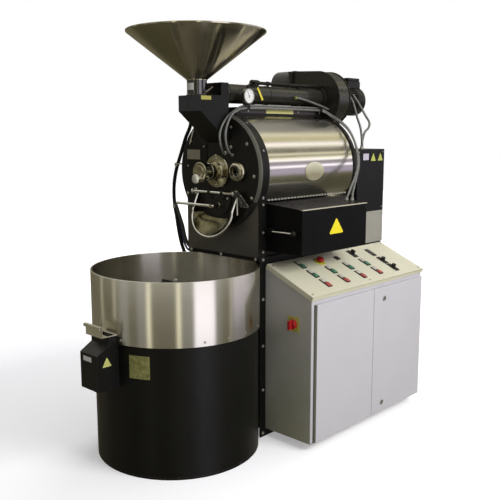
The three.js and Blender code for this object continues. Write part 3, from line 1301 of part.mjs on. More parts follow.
// Panel columns and rows, in the panel's own axes
const columnFirst = 186;
const columnPitch = 147.5;
const rowPlaces = [60, 150, 237];
const knobRows = [168, 243];
const displayRow = 82;
const plateLength = 70;
const plateWidth = 32;
const plateHeight = 4;
const keySize = 26;
const keyTravelHeight = 9;
const keyStem = 20;
const keyFromPlateEnd = 5;
const legendSize = 26;
const legendHeight = 7;
const stopPlateSize = 62;
const stopRadius = 20;
const stopHeadHeight = 16;
const stopHeadFloor = 10;
const stopStemRadius = 8;
const turnKnobRadius = 13;
const turnKnobHeight = 22;
const turnStemRadius = 5;
const selectorHalf = 6;
const selectorHeight = 26;
const column = (index) => columnFirst + columnPitch * index;
const keyOffset = plateLength / 2 - keyFromPlateEnd - keySize / 2;

// Each two-part push button: column, row and the key's finish
const pushButtons = [
  ['key_heat_on', 0, 0, greenPlastic],
  ['key_drum_on', 0, 1, greenPlastic],
  ['key_drum_off', 0, 2, redPlastic],
  ['key_fan_on', 1, 1, greenPlastic],
  ['key_fan_off', 1, 2, redPlastic],
  ['key_cooling_on', 2, 1, greenPlastic],
  ['key_cooling_off', 2, 2, redPlastic],
  ['key_stirrer_on', 3, 1, greenPlastic],
  ['key_stirrer_off', 3, 2, redPlastic],
];
const flatPlate = (x, y, length, width) => box(x - length / 2, x + length / 2, y - width / 2, y + width / 2,
  -panelSheet / 2, plateHeight);
const buttonPlates = pushButtons.map(([, col, row]) => joined(
  flatPlate(rowPlaces[row], column(col), plateLength, plateWidth),
  box(rowPlaces[row] - keyOffset - legendSize / 2, rowPlaces[row] - keyOffset + legendSize / 2,
    column(col) - legendSize / 2, column(col) + legendSize / 2, 0, legendHeight),
));
const keyHole = keySize / 2 + fit;
const keyHoles = pushButtons.map(([, col, row]) => box(rowPlaces[row] + keyOffset - keyHole,
  rowPlaces[row] + keyOffset + keyHole, column(col) - keyHole, column(col) + keyHole,
  -panelSheet - overrun, plateHeight + overrun));
const knobPlates = [
  flatPlate(rowPlaces[0], column(3), plateLength, plateWidth),
  flatPlate(knobRows[0], column(4), plateLength, plateWidth),
  flatPlate(knobRows[1], column(4), plateLength, plateWidth),
];
const stopPlate = flatPlate(rowPlaces[0] + plateHeight * 2, column(1), stopPlateSize, stopPlateSize);
const blankPlug = flatPlate(rowPlaces[0] + plateHeight * 2, column(2), plateWidth, plateWidth);
const display = flatPlate(displayRow, column(4), plateLength, plateWidth);
const stopX = rowPlaces[0] + plateHeight * 2;
const stemHole = (x, y, radius) => rodZ(radius + fit, -panelSheet - overrun, plateHeight + overrun, x, y);
const knobSpots = [[knobRows[0], 'airflow_knob'], [knobRows[1], 'temperature_knob']];
const stemHoles = [
  stemHole(stopX, column(1), stopStemRadius),
  stemHole(rowPlaces[0], column(3), turnStemRadius),
  ...knobSpots.map(([x]) => stemHole(x, column(4), turnStemRadius)),
];
const panelScrewRadius = 6;
const panelScrewInset = 22;
const panelScrewHeight = 3;
const panelScrews = [panelScrewInset, panelLength - panelScrewInset].flatMap((x) => [
  panelScrewInset, panelWidth - panelScrewInset,
].map((y) => rodZ(panelScrewRadius, -panelSheet / 2, panelScrewHeight, x, y, boltSides)));
const lidShell = without(
  box(0, panelLength, 0, panelWidth, -panelSkirt, 0),
  box(panelSheet, panelLength - panelSheet, panelSheet, panelWidth - panelSheet, -panelSkirt - overrun, -panelSheet),
);
node('control_panel', without(joined(lidShell, ...buttonPlates, ...knobPlates, stopPlate, blankPlug, display,
  ...panelScrews), ...keyHoles, ...stemHoles), creamPaint, panelGroup);

pushButtons.forEach(([name, col, row, finish]) => {
  const x = rowPlaces[row] + keyOffset;
  const y = column(col);
  node(name, box(x - keySize / 2, x + keySize / 2, y - keySize / 2, y + keySize / 2,
    -keyStem, keyTravelHeight), finish, panelGroup);
});

node('emergency_stop', joined(
  rodZ(stopStemRadius, -keyStem, stopHeadFloor + plateHeight, stopX, column(1)),
  rodZ(stopRadius, stopHeadFloor, stopHeadFloor + stopHeadHeight, stopX, column(1), mediumSides),
), redPlastic, panelGroup);

const turnFloor = plateHeight + fit;
node('selector_switch', joined(
  rodZ(turnStemRadius, -keyStem, turnFloor + plateHeight / 2, rowPlaces[0], column(3)),
  rodZ(turnKnobRadius, turnFloor, turnFloor + plateHeight, rowPlaces[0], column(3)),
  box(rowPlaces[0] - turnKnobRadius, rowPlaces[0] + turnKnobRadius, column(3) - selectorHalf,
    column(3) + selectorHalf, turnFloor, turnFloor + selectorHeight),
), blackPlastic, panelGroup);

knobSpots.forEach(([x, name]) => {
  node(name, joined(
    rodZ(turnStemRadius, -keyStem, turnFloor + plateHeight / 2, x, column(4)),
    rodZ(turnKnobRadius, turnFloor, turnFloor + turnKnobHeight, x, column(4)),
  ), blackPlastic, panelGroup);
});

// Conduit from the face disc's gland over the jacket and down to the burner box lid
const conduitRadius = 6.5;
const conduitSides = 8;
const conduitStep = conduitRadius * 5;
const lidEndInset = 166.7;
const lidEndX = burnerInnerX + lidEndInset;
const lidEndY = 866;
const lidEndZ = lidTopAt(lidEndX) + burnerSheet + fit * 3;
const faceConduitRoute = [
  [glandX, glandTipY - fit, glandZ],
  [glandX, glandTipY - conduitRadius, glandZ],
  [74, 244, 1443],
  [83, 223, 1466],
  [88, 212, 1510],
  [90, 220, 1547],
  [90, 241, 1578],
  [88, 268, 1603],
  [84, 302, 1622],
  [76, 340, 1638],
  [66, 384, 1652],
  [62, 450, 1658],
  [60, 700, 1659],
  [60, 960, 1658],
  [63, 1030, 1651],
  [100, 1052, 1627],
  [172, 1052, 1589],
  [226, 1052, 1549],
  [262, 1052, 1500],
  [292, 1046, 1444],
  [318, 1030, 1396],
  [338, 1004, 1348],
  [352, 970, 1300],
  [368, 928, 1252],
  [388, 886, 1216],
  [lidEndX, lidEndY, lidEndZ + conduitRadius * 2],
  [lidEndX, lidEndY, lidEndZ],
];
const clipHalfWidth = 9;
const clipY = 1000;
const clipThickness = 2;
const clipZ = 1653;
const clip = box(-clipHalfWidth, clipHalfWidth * 2, -clipHalfWidth, clipHalfWidth, -clipThickness, clipThickness)
  .translate([stripHalfWidth, clipY, clipZ]);
node('face_conduit', joined(routed(faceConduitRoute, conduitRadius, conduitSides, conduitStep), clip),
  machinedSteel);

// Two conduits from the fan motor's side down to one gland on the drive housing
const motorGlandInset = 65;
const motorGlandY = 1226;
const motorConduitEnd = [driveHousingHalf - motorGlandInset, motorGlandY, driveHousingTopZ + fit];
const motorConduitRoutes = [
  [[fanMotorRadius - 2, 1262, 1728], [112, 1258, 1690], [146, 1250, 1612], [178, 1240, 1552], [196, 1230, 1490],
    motorConduitEnd],
  [[fanMotorRadius - 2, 1290, 1742], [108, 1318, 1690], [128, 1360, 1622], [150, 1368, 1584], [172, 1330, 1552],
    [192, 1262, 1524], [199, 1230, 1476], motorConduitEnd],
];
const motorGlandRadius = 12;
const motorGlandHeight = 18;
const motorGland = rodZ(motorGlandRadius, driveHousingTopZ + fit, driveHousingTopZ + motorGlandHeight,
  motorConduitEnd[0], motorConduitEnd[1], boltSides);
const motorConduits = joined(motorGland,
  ...motorConduitRoutes.map((route) => routed(route, conduitRadius, conduitSides, conduitStep)));
node('motor_conduits', motorConduits.subtract(
  rodY(fanMotorRadius + fit, scrollBackY, fanMotorEndY, 0, scrollAxisZ, mediumSides)).subtract(
  box(0, driveHousingHalf, scrollBackY, baseRearY, driveHousingTopZ - overrun, driveHousingTopZ + fit)), machinedSteel);

// Hoses at the head's left: the long black hose and the grey one that leaves it at the bracket
const hoseRadius = 9.5;
const greyHoseRadius = 9;
const hoseSides = 10;
const hoseStep = hoseRadius * 5;
const hoseY = 330;
const blackHoseRoute = [
  [-hopperHalfWidth - fit, 262, 1722],
  [-118, 266, 1716],
  [-170, 290, 1684],
  [-222, 316, 1618],
  [-257, hoseY, 1555],
  [-290, hoseY, 1503],
  [-315, hoseY, 1451],
  [-341, hoseY, 1397],
  [-367, hoseY, 1344],
  [-385, hoseY, 1289],
  [-395, hoseY, 1235],
  [-396, hoseY, 1181],
  [-389, hoseY, 1127],
  [-376, hoseY, 1073],
  [-365, hoseY, 1019],
  [-351, hoseY, 965],
  [-336, 334, 912],
  [-318, 346, 862],
  [-292, 366, 822],
  [-headHalfWidth - fit, 372, 808],
];
const greyHoseRoute = [
  [-386, hoseY, 1150],
  [-366, hoseY, 1110],
  [-345, hoseY, 1066],
  [-326, hoseY, 1023],
  [-310, hoseY, 970],
  [-290, 336, 930],
  [-headHalfWidth - fit, 342, headPlateZ + headPlateThickness / 2],
];
const hoseBracketHalf = 14;
const hoseBracketSheet = 3;
const hoseBracketZ = 1362;
const hoseBracketX = -(archRadius + fit);
const hoseBracket = box(hoseBracketX - archRadius / 3, hoseBracketX + archSheet, hoseY - hoseBracketHalf,
  hoseY + hoseBracketHalf, hoseBracketZ - hoseBracketSheet, hoseBracketZ + hoseBracketSheet);
const hoses = joined(
  routed(blackHoseRoute, hoseRadius, hoseSides, hoseStep),
  routed(greyHoseRoute, greyHoseRadius, hoseSides, hoseStep),
  hoseBracket,
);
node('left_hoses', without(hoses,
  rodY(archRadius + fit, headFrontY, archBackY, 0, drumAxisZ, largeSides),
  box(-headHalfWidth - fit, 0, baseFrontY, baseRearY, 0, headPlateTopZ + fit),
  box(-hopperHalfWidth - fit, 0, hopperFrontY, hopperBackY, hopperBottomZ, hopperBlockTopZ)), blackRubber);

export default roaster;
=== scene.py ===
import math

import bmesh
import bpy
from mathutils import Matrix, Vector


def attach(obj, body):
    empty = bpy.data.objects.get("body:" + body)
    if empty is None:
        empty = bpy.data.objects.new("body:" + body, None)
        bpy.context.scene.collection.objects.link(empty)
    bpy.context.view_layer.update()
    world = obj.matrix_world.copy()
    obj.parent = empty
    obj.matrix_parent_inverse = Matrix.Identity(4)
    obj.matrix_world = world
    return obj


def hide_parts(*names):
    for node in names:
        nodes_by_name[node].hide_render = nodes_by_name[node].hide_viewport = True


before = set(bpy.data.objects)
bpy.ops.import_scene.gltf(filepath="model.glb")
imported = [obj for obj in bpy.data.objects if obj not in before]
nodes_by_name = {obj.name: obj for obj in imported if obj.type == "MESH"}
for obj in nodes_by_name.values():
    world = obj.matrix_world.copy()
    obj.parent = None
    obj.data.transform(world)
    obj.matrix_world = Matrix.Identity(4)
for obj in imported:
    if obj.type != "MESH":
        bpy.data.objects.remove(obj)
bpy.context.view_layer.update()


# Camera: a plain lens at the photograph's place, about eye level, in front of the machine and to
# its right, looking slightly down at the head.
camera_place = Vector((2.5692, -2.1729, 1.526))
camera_turn = math.radians(43.7335)
camera_drop = math.radians(9.3867)
camera_roll = math.radians(-0.087)
focal_pixels = 711.04
photo_pixels = 500
sensor_width = 36.0
forward = Vector((-math.sin(camera_turn) * math.cos(camera_drop),
    math.cos(camera_turn) * math.cos(camera_drop), -math.sin(camera_drop)))
level_right = Vector((math.cos(camera_turn), math.sin(camera_turn), 0))
level_up = level_right.cross(forward)
lens = bpy.data.cameras.new("photo_camera")
lens.sensor_width = sensor_width
lens.lens = focal_pixels * sensor_width / photo_pixels
camera = bpy.data.objects.new("photo_camera", lens)
turn = Matrix((level_right, level_up, -forward)).transposed() @ Matrix.Rotation(camera_roll, 3, "Z")
camera.matrix_world = Matrix.Translation(camera_place) @ turn.to_4x4()
bpy.context.scene.collection.objects.link(camera)
bpy.context.scene.camera = camera
bpy.context.scene.view_settings.view_transform = "Standard"


# Floor: a wide pale studio floor that keeps the soft shadow. It has a little light of its own for the
# camera, and the steel looks through it at the room.
floor_half = 14.0
floor_mesh = bpy.data.meshes.new("studio_floor")
corners = [(x * floor_half, y * floor_half, 0) for x, y in ((-1, -1), (1, -1), (1, 1), (-1, 1))]
floor_mesh.from_pydata(corners, [], [(0, 1, 2, 3)])
floor = bpy.data.objects.new("studio_floor", floor_mesh)
bpy.context.scene.collection.objects.link(floor)
floor_finish = bpy.data.materials.new("studio_floor")
floor_finish.use_nodes = True
floor_tree = floor_finish.node_tree
floor_tree.nodes.clear()


def set_value(tree, socket, value):
    if isinstance(value, bpy.types.NodeSocket):
        tree.links.new(value, socket)
    elif value is not None:
        socket.default_value = value


def add_node(tree, kind, *values, operation=None, clamp=False):
    """A node with its inputs set to numbers or joined to other nodes, in order."""
    node = tree.nodes.new(kind)
    if operation:
        node.operation = operation
    if clamp:
        node.use_clamp = clamp
    for socket, value in zip(node.inputs, values):
        set_value(tree, socket, value)
    return node.outputs[0] if node.outputs else node


def vector_node(tree, operation, *values):
    """The result of a vector node, which is a number for a length or a dot product."""
    node = tree.nodes.new("ShaderNodeVectorMath")
    node.operation = operation
    for socket, value in zip(node.inputs, values):
        set_value(tree, socket, value)
    return node.outputs["Value" if operation in ("LENGTH", "DOT_PRODUCT") else "Vector"]


def parts_of(tree, vector):
    node = tree.nodes.new("ShaderNodeSeparateXYZ")
    tree.links.new(vector, node.inputs[0])
    return node.outputs


def math_node(tree, operation, *values, clamp=False):
    return add_node(tree, "ShaderNodeMath", *values, operation=operation, clamp=clamp)


def spread(tree, value, low, high, to_low=0.0, to_high=1.0):
    return add_node(tree, "ShaderNodeMapRange", value, low, high, to_low, to_high)


def mix_colour(tree, share, first, second):
    node = tree.nodes.new("ShaderNodeMix")
    node.data_type = "RGBA"
    set_value(tree, node.inputs["Factor"], share)
    for socket, colour in ((node.inputs[6], first), (node.inputs[7], second)):
        set_value(tree, socket, (*colour, 1) if isinstance(colour, tuple) else colour)
    return node.outputs[2]


floor_path = floor_tree.nodes.new("ShaderNodeLightPath")
floor_place = floor_tree.nodes.new("ShaderNodeNewGeometry").outputs["Position"]
far_share = spread(floor_tree, vector_node(floor_tree, "LENGTH", floor_place), 1.6, 4.5, 0.3, 0.95)
floor_diffuse = add_node(floor_tree, "ShaderNodeBsdfDiffuse", (0.86, 0.86, 0.86, 1))
own_light = math_node(floor_tree, "MULTIPLY", floor_path.outputs["Is Camera Ray"], far_share)
floor_glow = add_node(floor_tree, "ShaderNodeEmission", (1, 1, 1, 1), own_light)
floor_bounce = add_node(floor_tree, "ShaderNodeBsdfDiffuse", (0.5, 0.49, 0.4, 1))
floor_lit = add_node(floor_tree, "ShaderNodeMixShader", floor_path.outputs["Is Camera Ray"], floor_bounce,
    floor_diffuse)
floor_seen = add_node(floor_tree, "ShaderNodeAddShader", floor_lit, floor_glow)
floor_clear = add_node(floor_tree, "ShaderNodeBsdfTransparent")
floor_choice = add_node(floor_tree, "ShaderNodeMixShader", floor_path.outputs["Is Glossy Ray"],
    floor_seen, floor_clear)
add_node(floor_tree, "ShaderNodeOutputMaterial", floor_choice)
floor_mesh.materials.append(floor_finish)


# Light: a white surround, and three large soft lamps above the machine. The steel mirrors a plain
# workshop round it: olive walls, pale windows, and long lamps under the ceiling at the back.
world = bpy.data.worlds.new("studio")
bpy.context.scene.world = world
world.use_nodes = True
sky = world.node_tree
sky.nodes.clear()
olive = (0.165, 0.15, 0.1)
dim = (0.085, 0.08, 0.05)
grey = (0.3, 0.29, 0.26)
glow = (0.52, 0.49, 0.37)
straw = (0.66, 0.6, 0.36)
lamp_light = (1.35, 1.28, 0.98)
daylight = (1.75, 1.68, 1.88)
lilac = (0.52, 0.47, 0.62)
wall_tones = ((-180, olive), (-160, olive), (-155, glow), (-150, olive), (-134, olive), (-129, glow),
    (-124, olive), (-117, grey), (-109, grey), (-103, olive), (-96, olive), (-90, grey), (-82, grey),
    (-77, lamp_light), (-72, olive), (-43, olive), (-38, lamp_light), (-33, grey), (-20, grey),
    (-15, daylight), (8, daylight), (14, grey), (28, olive), (32, olive), (36, glow), (40, dim),
    (55, olive), (74, grey), (82, olive), (180, olive))
roof_tones = ((-180, olive), (-90, grey), (-75, grey), (-62, olive), (-46, dim), (-24, dim), (-16, olive),
    (-8, lilac), (1, lilac), (5, daylight), (10, lilac), (15, grey), (19, daylight), (23, lamp_light),
    (28, olive), (32, lamp_light), (36, olive), (43, olive), (47, grey), (50, lamp_light), (56, daylight),
    (60, straw), (73, straw), (78, lamp_light), (83, glow), (90, grey), (104, grey), (130, olive),
    (180, olive))
sky_x, sky_y, sky_z = parts_of(sky, sky.nodes.new("ShaderNodeTexCoord").outputs["Generated"])


def tones_around(first, second, tones):
    """Tones by the angle between two of the direction's parts."""
    share = spread(sky, math_node(sky, "ARCTAN2", second, first), -math.pi, math.pi)
    ramp = sky.nodes.new("ShaderNodeValToRGB")
    ramp.color_ramp.interpolation = "EASE"
    sky.links.new(share, ramp.inputs[0])
    while len(ramp.color_ramp.elements) < len(tones):
        ramp.color_ramp.elements.new(0.5)
    stops = ramp.color_ramp.elements
    for stop, (degrees, tone) in zip(stops, tones):
        stop.position = (degrees + 180) / 360
    for stop, (degrees, tone) in zip(stops, tones):
        stop.color = (*tone, 1)
    return ramp.outputs["Color"]


wall_colour = tones_around(sky_x, sky_y, wall_tones)
roof_colour = tones_around(sky_x, sky_z, roof_tones)
deep_share = spread(sky, sky_z, -0.32, -0.5, 0.0, 0.8)
back_share = spread(sky, sky_y, 0.55, 0.68)
low_colour = mix_colour(sky, deep_share, wall_colour, (0.066, 0.062, 0.036))
high_share = spread(sky, sky_z, 0.16, 0.45, 0.0, 0.75)
low_colour = mix_colour(sky, high_share, low_colour, (0.95, 0.93, 0.86))
room_colour = mix_colour(sky, back_share, low_colour, roof_colour)
sky_path = sky.nodes.new("ShaderNodeLightPath")
room = add_node(sky, "ShaderNodeBackground", room_colour, 1.0)
side_light = math_node(sky, "MULTIPLY", sky_x, 0.45)
back_light = math_node(sky, "MULTIPLY", sky_y, 0.48)
bright_share = math_node(sky, "ADD", math_node(sky, "ADD", side_light, back_light), 0.48)
plain = add_node(sky, "ShaderNodeBackground", mix_colour(sky, bright_share, (0.1, 0.1, 0.072),
    (0.92, 0.9, 0.98)), 1.0)
white = add_node(sky, "ShaderNodeBackground", (1, 1, 1, 1), 1.0)
glossy_choice = add_node(sky, "ShaderNodeMixShader", sky_path.outputs["Is Glossy Ray"], plain, room)
clear_rays = math_node(sky, "MAXIMUM", sky_path.outputs["Is Camera Ray"],
    sky_path.outputs["Is Transmission Ray"])
camera_choice = add_node(sky, "ShaderNodeMixShader", clear_rays, glossy_choice, white)
add_node(sky, "ShaderNodeOutputWorld", camera_choice)


def soft_lamp(name, place, target, width, height, power):
    data = bpy.data.lights.new(name, "AREA")
    data.shape = "RECTANGLE"
    data.size = width
    data.size_y = height
    data.energy = power
    lamp = bpy.data.objects.new(name, data)
    lamp.location = place
    lamp.visible_glossy = False
    lamp.rotation_mode = "QUATERNION"
    lamp.rotation_quaternion = (Vector(target) - Vector(place)).to_track_quat("-Z", "Y")
    bpy.context.scene.collection.objects.link(lamp)


soft_lamp("key_lamp", (3.5, 0.7, 2.85), (0.1, 0.5, 1.0), 2.2, 1.6, 116)
soft_lamp("front_lamp", (-1.2, -3.6, 2.6), (0.0, 0.2, 0.8), 2.4, 1.6, 9)
soft_lamp("back_lamp", (-1.8, 3.6, 3.2), (0.0, 0.7, 1.2), 2.4, 1.6, 70)


# Base frame: two black sheet cheeks with angle posts at their front edges, the inner panels, and
# the thick steel head plate on top. The panels are bolted to the posts with button head screws.
head_half = 0.257
cheek_sheet = 0.003
base_front_y = 0.314
base_rear_y = 1.36
base_step_y = 1.09
head_plate_z = 0.905
head_top_z = 0.925
rear_shelf_z = 0.898
post_front_y = 0.33
post_back_y = 0.36
post_width = 0.02
inner_front_y = 0.4023
base_panel_sheet = 0.004
duct_half = 0.09
duct_bottom_z = 0.15
duct_top_z = 0.33
rear_port_radius = 0.075
rear_port_z = 0.24
edge_bevel = 0.0012
bolt_radius = 0.0065
bolt_height = 0.004
side_bolt_y = 0.337


def shader_of(material):
    return next(n for n in material.node_tree.nodes if n.type == "BSDF_PRINCIPLED")


def material_tree(name):
    material = bpy.data.materials.new(name)
    material.use_nodes = True
    return material, material.node_tree, shader_of(material)


def object_place(tree, stretch=(1, 1, 1)):
    place = tree.nodes.new("ShaderNodeTexCoord").outputs["Object"]
    mapping = tree.nodes.new("ShaderNodeMapping")
    mapping.inputs["Scale"].default_value = stretch
    tree.links.new(place, mapping.inputs["Vector"])
    return mapping.outputs["Vector"]


def noise(tree, place, scale, detail=3.0, roughness=0.55):
    node = tree.nodes.new("ShaderNodeTexNoise")
    tree.links.new(place, node.inputs["Vector"])
    node.inputs["Scale"].default_value = scale
    node.inputs["Detail"].default_value = detail
    node.inputs["Roughness"].default_value = roughness
    return node.outputs["Fac"]


def bump(tree, shader, height, strength, distance):
    node = tree.nodes.new("ShaderNodeBump")
    node.inputs["Strength"].default_value = strength
    node.inputs["Distance"].default_value = distance
    tree.links.new(height, node.inputs["Height"])
    tree.links.new(node.outputs["Normal"], shader.inputs["Normal"])


def face_normal(tree):
    return tree.nodes.new("ShaderNodeNewGeometry").outputs["Normal"]


def edge_share(tree, radius):
    """1 on worn outer edges, 0 on flat faces."""
    rounded = tree.nodes.new("ShaderNodeBevel")
    rounded.samples = 4
    rounded.inputs["Radius"].default_value = radius
    turned_away = vector_node(tree, "DOT_PRODUCT", rounded.outputs["Normal"], face_normal(tree))
    patchy = noise(tree, object_place(tree), 60, 4)
    edge = spread(tree, turned_away, 0.985, 0.9)
    return math_node(tree, "MULTIPLY", edge, spread(tree, patchy, 0.45, 0.62), clamp=True)


def upward_dust(tree, amount):
    """Fine dust that lies on faces that look up, in soft patches."""
    patches = spread(tree, noise(tree, object_place(tree), 9, 5, 0.6), 0.35, 0.7)
    upward = spread(tree, parts_of(tree, face_normal(tree))["Z"], 0.5, 1.0, 0.0, amount)
    return math_node(tree, "MULTIPLY", patches, upward)


def powder_coat(name, colour, worn, roughness, grain=700, relief=0.25, dust=0.25, wear=0.0012, depth=0.8,
        gloss=None):
    material, tree, shader = material_tree(name)
    if gloss is None:
        gloss = 0.1 if max(colour) < 0.005 else 0.2 if max(colour) < 0.03 else 0.4
    shader.inputs["Specular IOR Level"].default_value = gloss
    place = object_place(tree)
    tone = spread(tree, noise(tree, place, 6, 4), 0.3, 0.7)
    darker = tuple(c * depth for c in colour)
    painted = mix_colour(tree, tone, darker, colour)
    dusty = mix_colour(tree, upward_dust(tree, dust), painted, (0.32, 0.29, 0.24))
    edge = edge_share(tree, wear)
    set_value(tree, shader.inputs["Base Color"], mix_colour(tree, edge, dusty, worn))
    smears = noise(tree, object_place(tree, (1, 1, 0.35)), 17, 5, 0.65)
    set_value(tree, shader.inputs["Roughness"], spread(tree, smears, 0.3, 0.75, roughness - 0.07,
        roughness + 0.12))
    bump(tree, shader, noise(tree, place, grain, 2), relief, 0.0004)
    return material


def tint_side(material, axis, way, tint, grain, limits):
    """Another tone on the faces that look one way, between two places along an axis, in soft patches. On
    the cabinet it is painted shade.
    """
    tree = material.node_tree
    shader = shader_of(material)
    base = shader.inputs["Base Color"].links[0].from_socket
    patches = spread(tree, noise(tree, object_place(tree), grain, 5, 0.65), 0.25, 0.7, 0.6, 1.0)
    facing = spread(tree, parts_of(tree, face_normal(tree))[axis], way * 0.9, way * 0.98)
    limit_axis, low, high = limits
    inside = spread(tree, parts_of(tree, object_place(tree))[limit_axis], low, high)
    share = math_node(tree, "MULTIPLY", math_node(tree, "MULTIPLY", facing, inside), patches)
    set_value(tree, shader.inputs["Base Color"], mix_colour(tree, share, base, tint))


black_coat = powder_coat("black_powder_coat", (0.006, 0.006, 0.0056), (0.1, 0.095, 0.085), 0.36,
    dust=0.12)


def mottled_steel(name, dark, bright, mottle, rough, grain=None, relief=0.2, depth=0.0004, metallic=1.0,
        limits=(0.3, 0.7), grain_rough=False, worn=None):
    """Bare metal with soft blotches and a fine grain. Both are a noise's scale, detail and roughness."""
    material, tree, shader = material_tree(name)
    shader.inputs["Metallic"].default_value = metallic
    blotches = noise(tree, object_place(tree), *mottle)
    fine = noise(tree, object_place(tree), *grain) if grain else blotches
    colour = mix_colour(tree, spread(tree, blotches, *limits), dark, bright)
    if worn:
        colour = mix_colour(tree, edge_share(tree, 0.0015), colour, worn)
    set_value(tree, shader.inputs["Base Color"], colour)
    set_value(tree, shader.inputs["Roughness"], spread(tree, fine if grain_rough else blotches, *rough))
    bump(tree, shader, fine, relief, depth)
    return material


zinc_steel = mottled_steel("zinc_plated_steel", (0.42, 0.41, 0.38), (0.66, 0.65, 0.6), (420, 3),
    (0.3, 0.7, 0.2, 0.42), relief=0.15, depth=0.0003)


# The mesh that each piece is built in. It is empty again when the piece is made.
work = bmesh.new()


def work_object(name):
    """An object of the work mesh."""
    bmesh.ops.recalc_face_normals(work, faces=work.faces)
    mesh = bpy.data.meshes.new(name)
    work.to_mesh(mesh)
    work.clear()
    made = bpy.data.objects.new(name, mesh)
    bpy.context.scene.collection.objects.link(made)
    return made


def round_edges(piece, width, segments, angle):
    soft = piece.modifiers.new("rounded_edges", "BEVEL")
    soft.width = width
    soft.segments = segments
    soft.limit_method = "ANGLE"
    soft.angle_limit = angle
    soft.harden_normals = True
    soft.use_clamp_overlap = True


def make_piece(name, material, slot, *replaced, body="machine", bevel=edge_bevel, segments=2,
        smooth_angle=32):
    """Makes a piece of the work mesh: it rides on its body and stands for its CAD nodes."""
    bmesh.ops.remove_doubles(work, verts=work.verts, dist=1e-6)
    piece = work_object(name)
    piece.data.shade_smooth()
    piece.data.set_sharp_from_angle(angle=math.radians(smooth_angle))
    piece.data.materials.append(material)
    if bevel:
        round_edges(piece, bevel, segments, math.radians(smooth_angle))
    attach(piece, body)
    if replaced:
        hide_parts(*replaced)
    return piece


rightward = (1, 0, 0)
leftward = (-1, 0, 0)
backward = (0, 1, 0)
frontward = (0, -1, 0)
skyward = (0, 0, 1)


def block(x0, x1, y0, y1, z0, z1):
    verts = [work.verts.new((x, y, z)) for x in (x0, x1) for y in (y0, y1) for z in (z0, z1)]
    for quad in ((0, 1, 3, 2), (4, 6, 7, 5), (0, 4, 5, 1), (2, 3, 7, 6), (0, 2, 6, 4), (1, 5, 7, 3)):
        work.faces.new([verts[i] for i in quad])
    return verts


def spin(verts, degrees, axis, centre=(0, 0, 0)):
    bmesh.ops.rotate(work, verts=verts, cent=centre,
        matrix=Matrix.Rotation(math.radians(degrees), 3, axis))


def plate(loops, origin, across, up, thickness):
    """A flat plate from its outline and holes, pushed along the normal of its own plane."""
    across = Vector(across)
    up = Vector(up)
    normal = across.cross(up)
    edges = []
    for loop in loops:
        ring = [work.verts.new(Vector(origin) + across * a + up * b) for a, b in loop]
        edges += [work.edges.new((ring[i], ring[(i + 1) % len(ring)])) for i in range(len(ring))]
    filled = bmesh.ops.triangle_fill(work, use_beauty=True, use_dissolve=False, edges=edges)
    faces = [g for g in filled["geom"] if isinstance(g, bmesh.types.BMFace)]
    pushed = bmesh.ops.extrude_face_region(work, geom=faces)
    moved = [g for g in pushed["geom"] if isinstance(g, bmesh.types.BMVert)]
    bmesh.ops.translate(work, verts=moved, vec=normal * thickness)


def front_plate(loops, y, thickness):
    """An outline in X and Z, pushed from Y towards the front."""
    plate(loops, (0, y, 0), rightward, skyward, thickness)


def side_plate(loops, x, thickness):
    """An outline in Y and Z, pushed from X to the right."""
    plate(loops, (x, 0, 0), backward, skyward, thickness)


def level_plate(loops, z, thickness):
    """An outline in X and Y, pushed up from Z."""
    plate(loops, (0, 0, z), rightward, backward, thickness)


def frame_strips(a0, a1, b0, b1, width):
    """The four strips of a rectangular frame."""
    return ((a0, a0 + width, b0, b1), (a1 - width, a1, b0, b1), (a0 + width, a1 - width, b0, b0 + width),
        (a0 + width, a1 - width, b1 - width, b1))


def circle_loop(radius, centre=(0, 0), sides=64, start=0.0, end=math.tau):
    whole = abs(end - start - math.tau) < 1e-6
    count = sides if whole else sides + 1
    return [(centre[0] + radius * math.cos(start + (end - start) * i / sides),
        centre[1] + radius * math.sin(start + (end - start) * i / sides)) for i in range(count)]


def disc_profile(radius, length):
    return [(radius, 0), (radius, length)]


def ring_profile(inner, outer, length):
    return [(inner, 0), (outer, 0), (outer, length), (inner, length), (inner, 0)]


def turned(profile, origin, axis, sides=64):
    """Turns a profile of radius and place along the axis. A closed profile makes a ring."""
    closed = profile[0] == profile[-1]
    ends_on_axis = profile[-1][0] == 0
    if not closed and not ends_on_axis:
        profile = [(0, profile[0][1]), *profile, (0, profile[-1][1])]
    axis = Vector(axis).normalized()
    side = axis.orthogonal().normalized()
    other = axis.cross(side)
    rings = []
    for radius, along in profile:
        middle = Vector(origin) + axis * along
        if radius < 1e-7:
            rings.append([work.verts.new(middle)])
            continue
        rings.append([work.verts.new(middle + (side * math.cos(a) + other * math.sin(a)) * radius)
            for a in (math.tau * i / sides for i in range(sides))])
    if closed:
        bmesh.ops.delete(work, geom=rings[-1], context="VERTS")
        rings[-1] = rings[0]
    for lower, upper in zip(rings, rings[1:]):
        for i in range(sides):
            j = (i + 1) % sides
            corners_here = [lower[i % len(lower)], lower[j % len(lower)], upper[j % len(upper)],
                upper[i % len(upper)]]
            unique = list(dict.fromkeys(corners_here))
            if len(unique) > 2:
                work.faces.new(unique)


def button_head(place, axis, radius=bolt_radius, height=bolt_height):
    """A dome head with a hexagon socket, seated on a thin washer."""
    axis = Vector(axis).normalized()
    place = Vector(place)
    turned([(radius * 1.35, -0.0005), (radius * 1.35, height * 0.25)], place, axis, 20)
    socket = radius * 0.5
    turned([(radius, height * 0.2), (radius * 0.97, height * 0.55), (radius * 0.75, height * 0.9),
        (socket * 1.1, height), (socket, height), (socket, height * 0.5)], place, axis, 18)


def rectangle(a0, a1, b0, b1):
    return [(a0, b0), (a1, b0), (a1, b1), (a0, b1)]


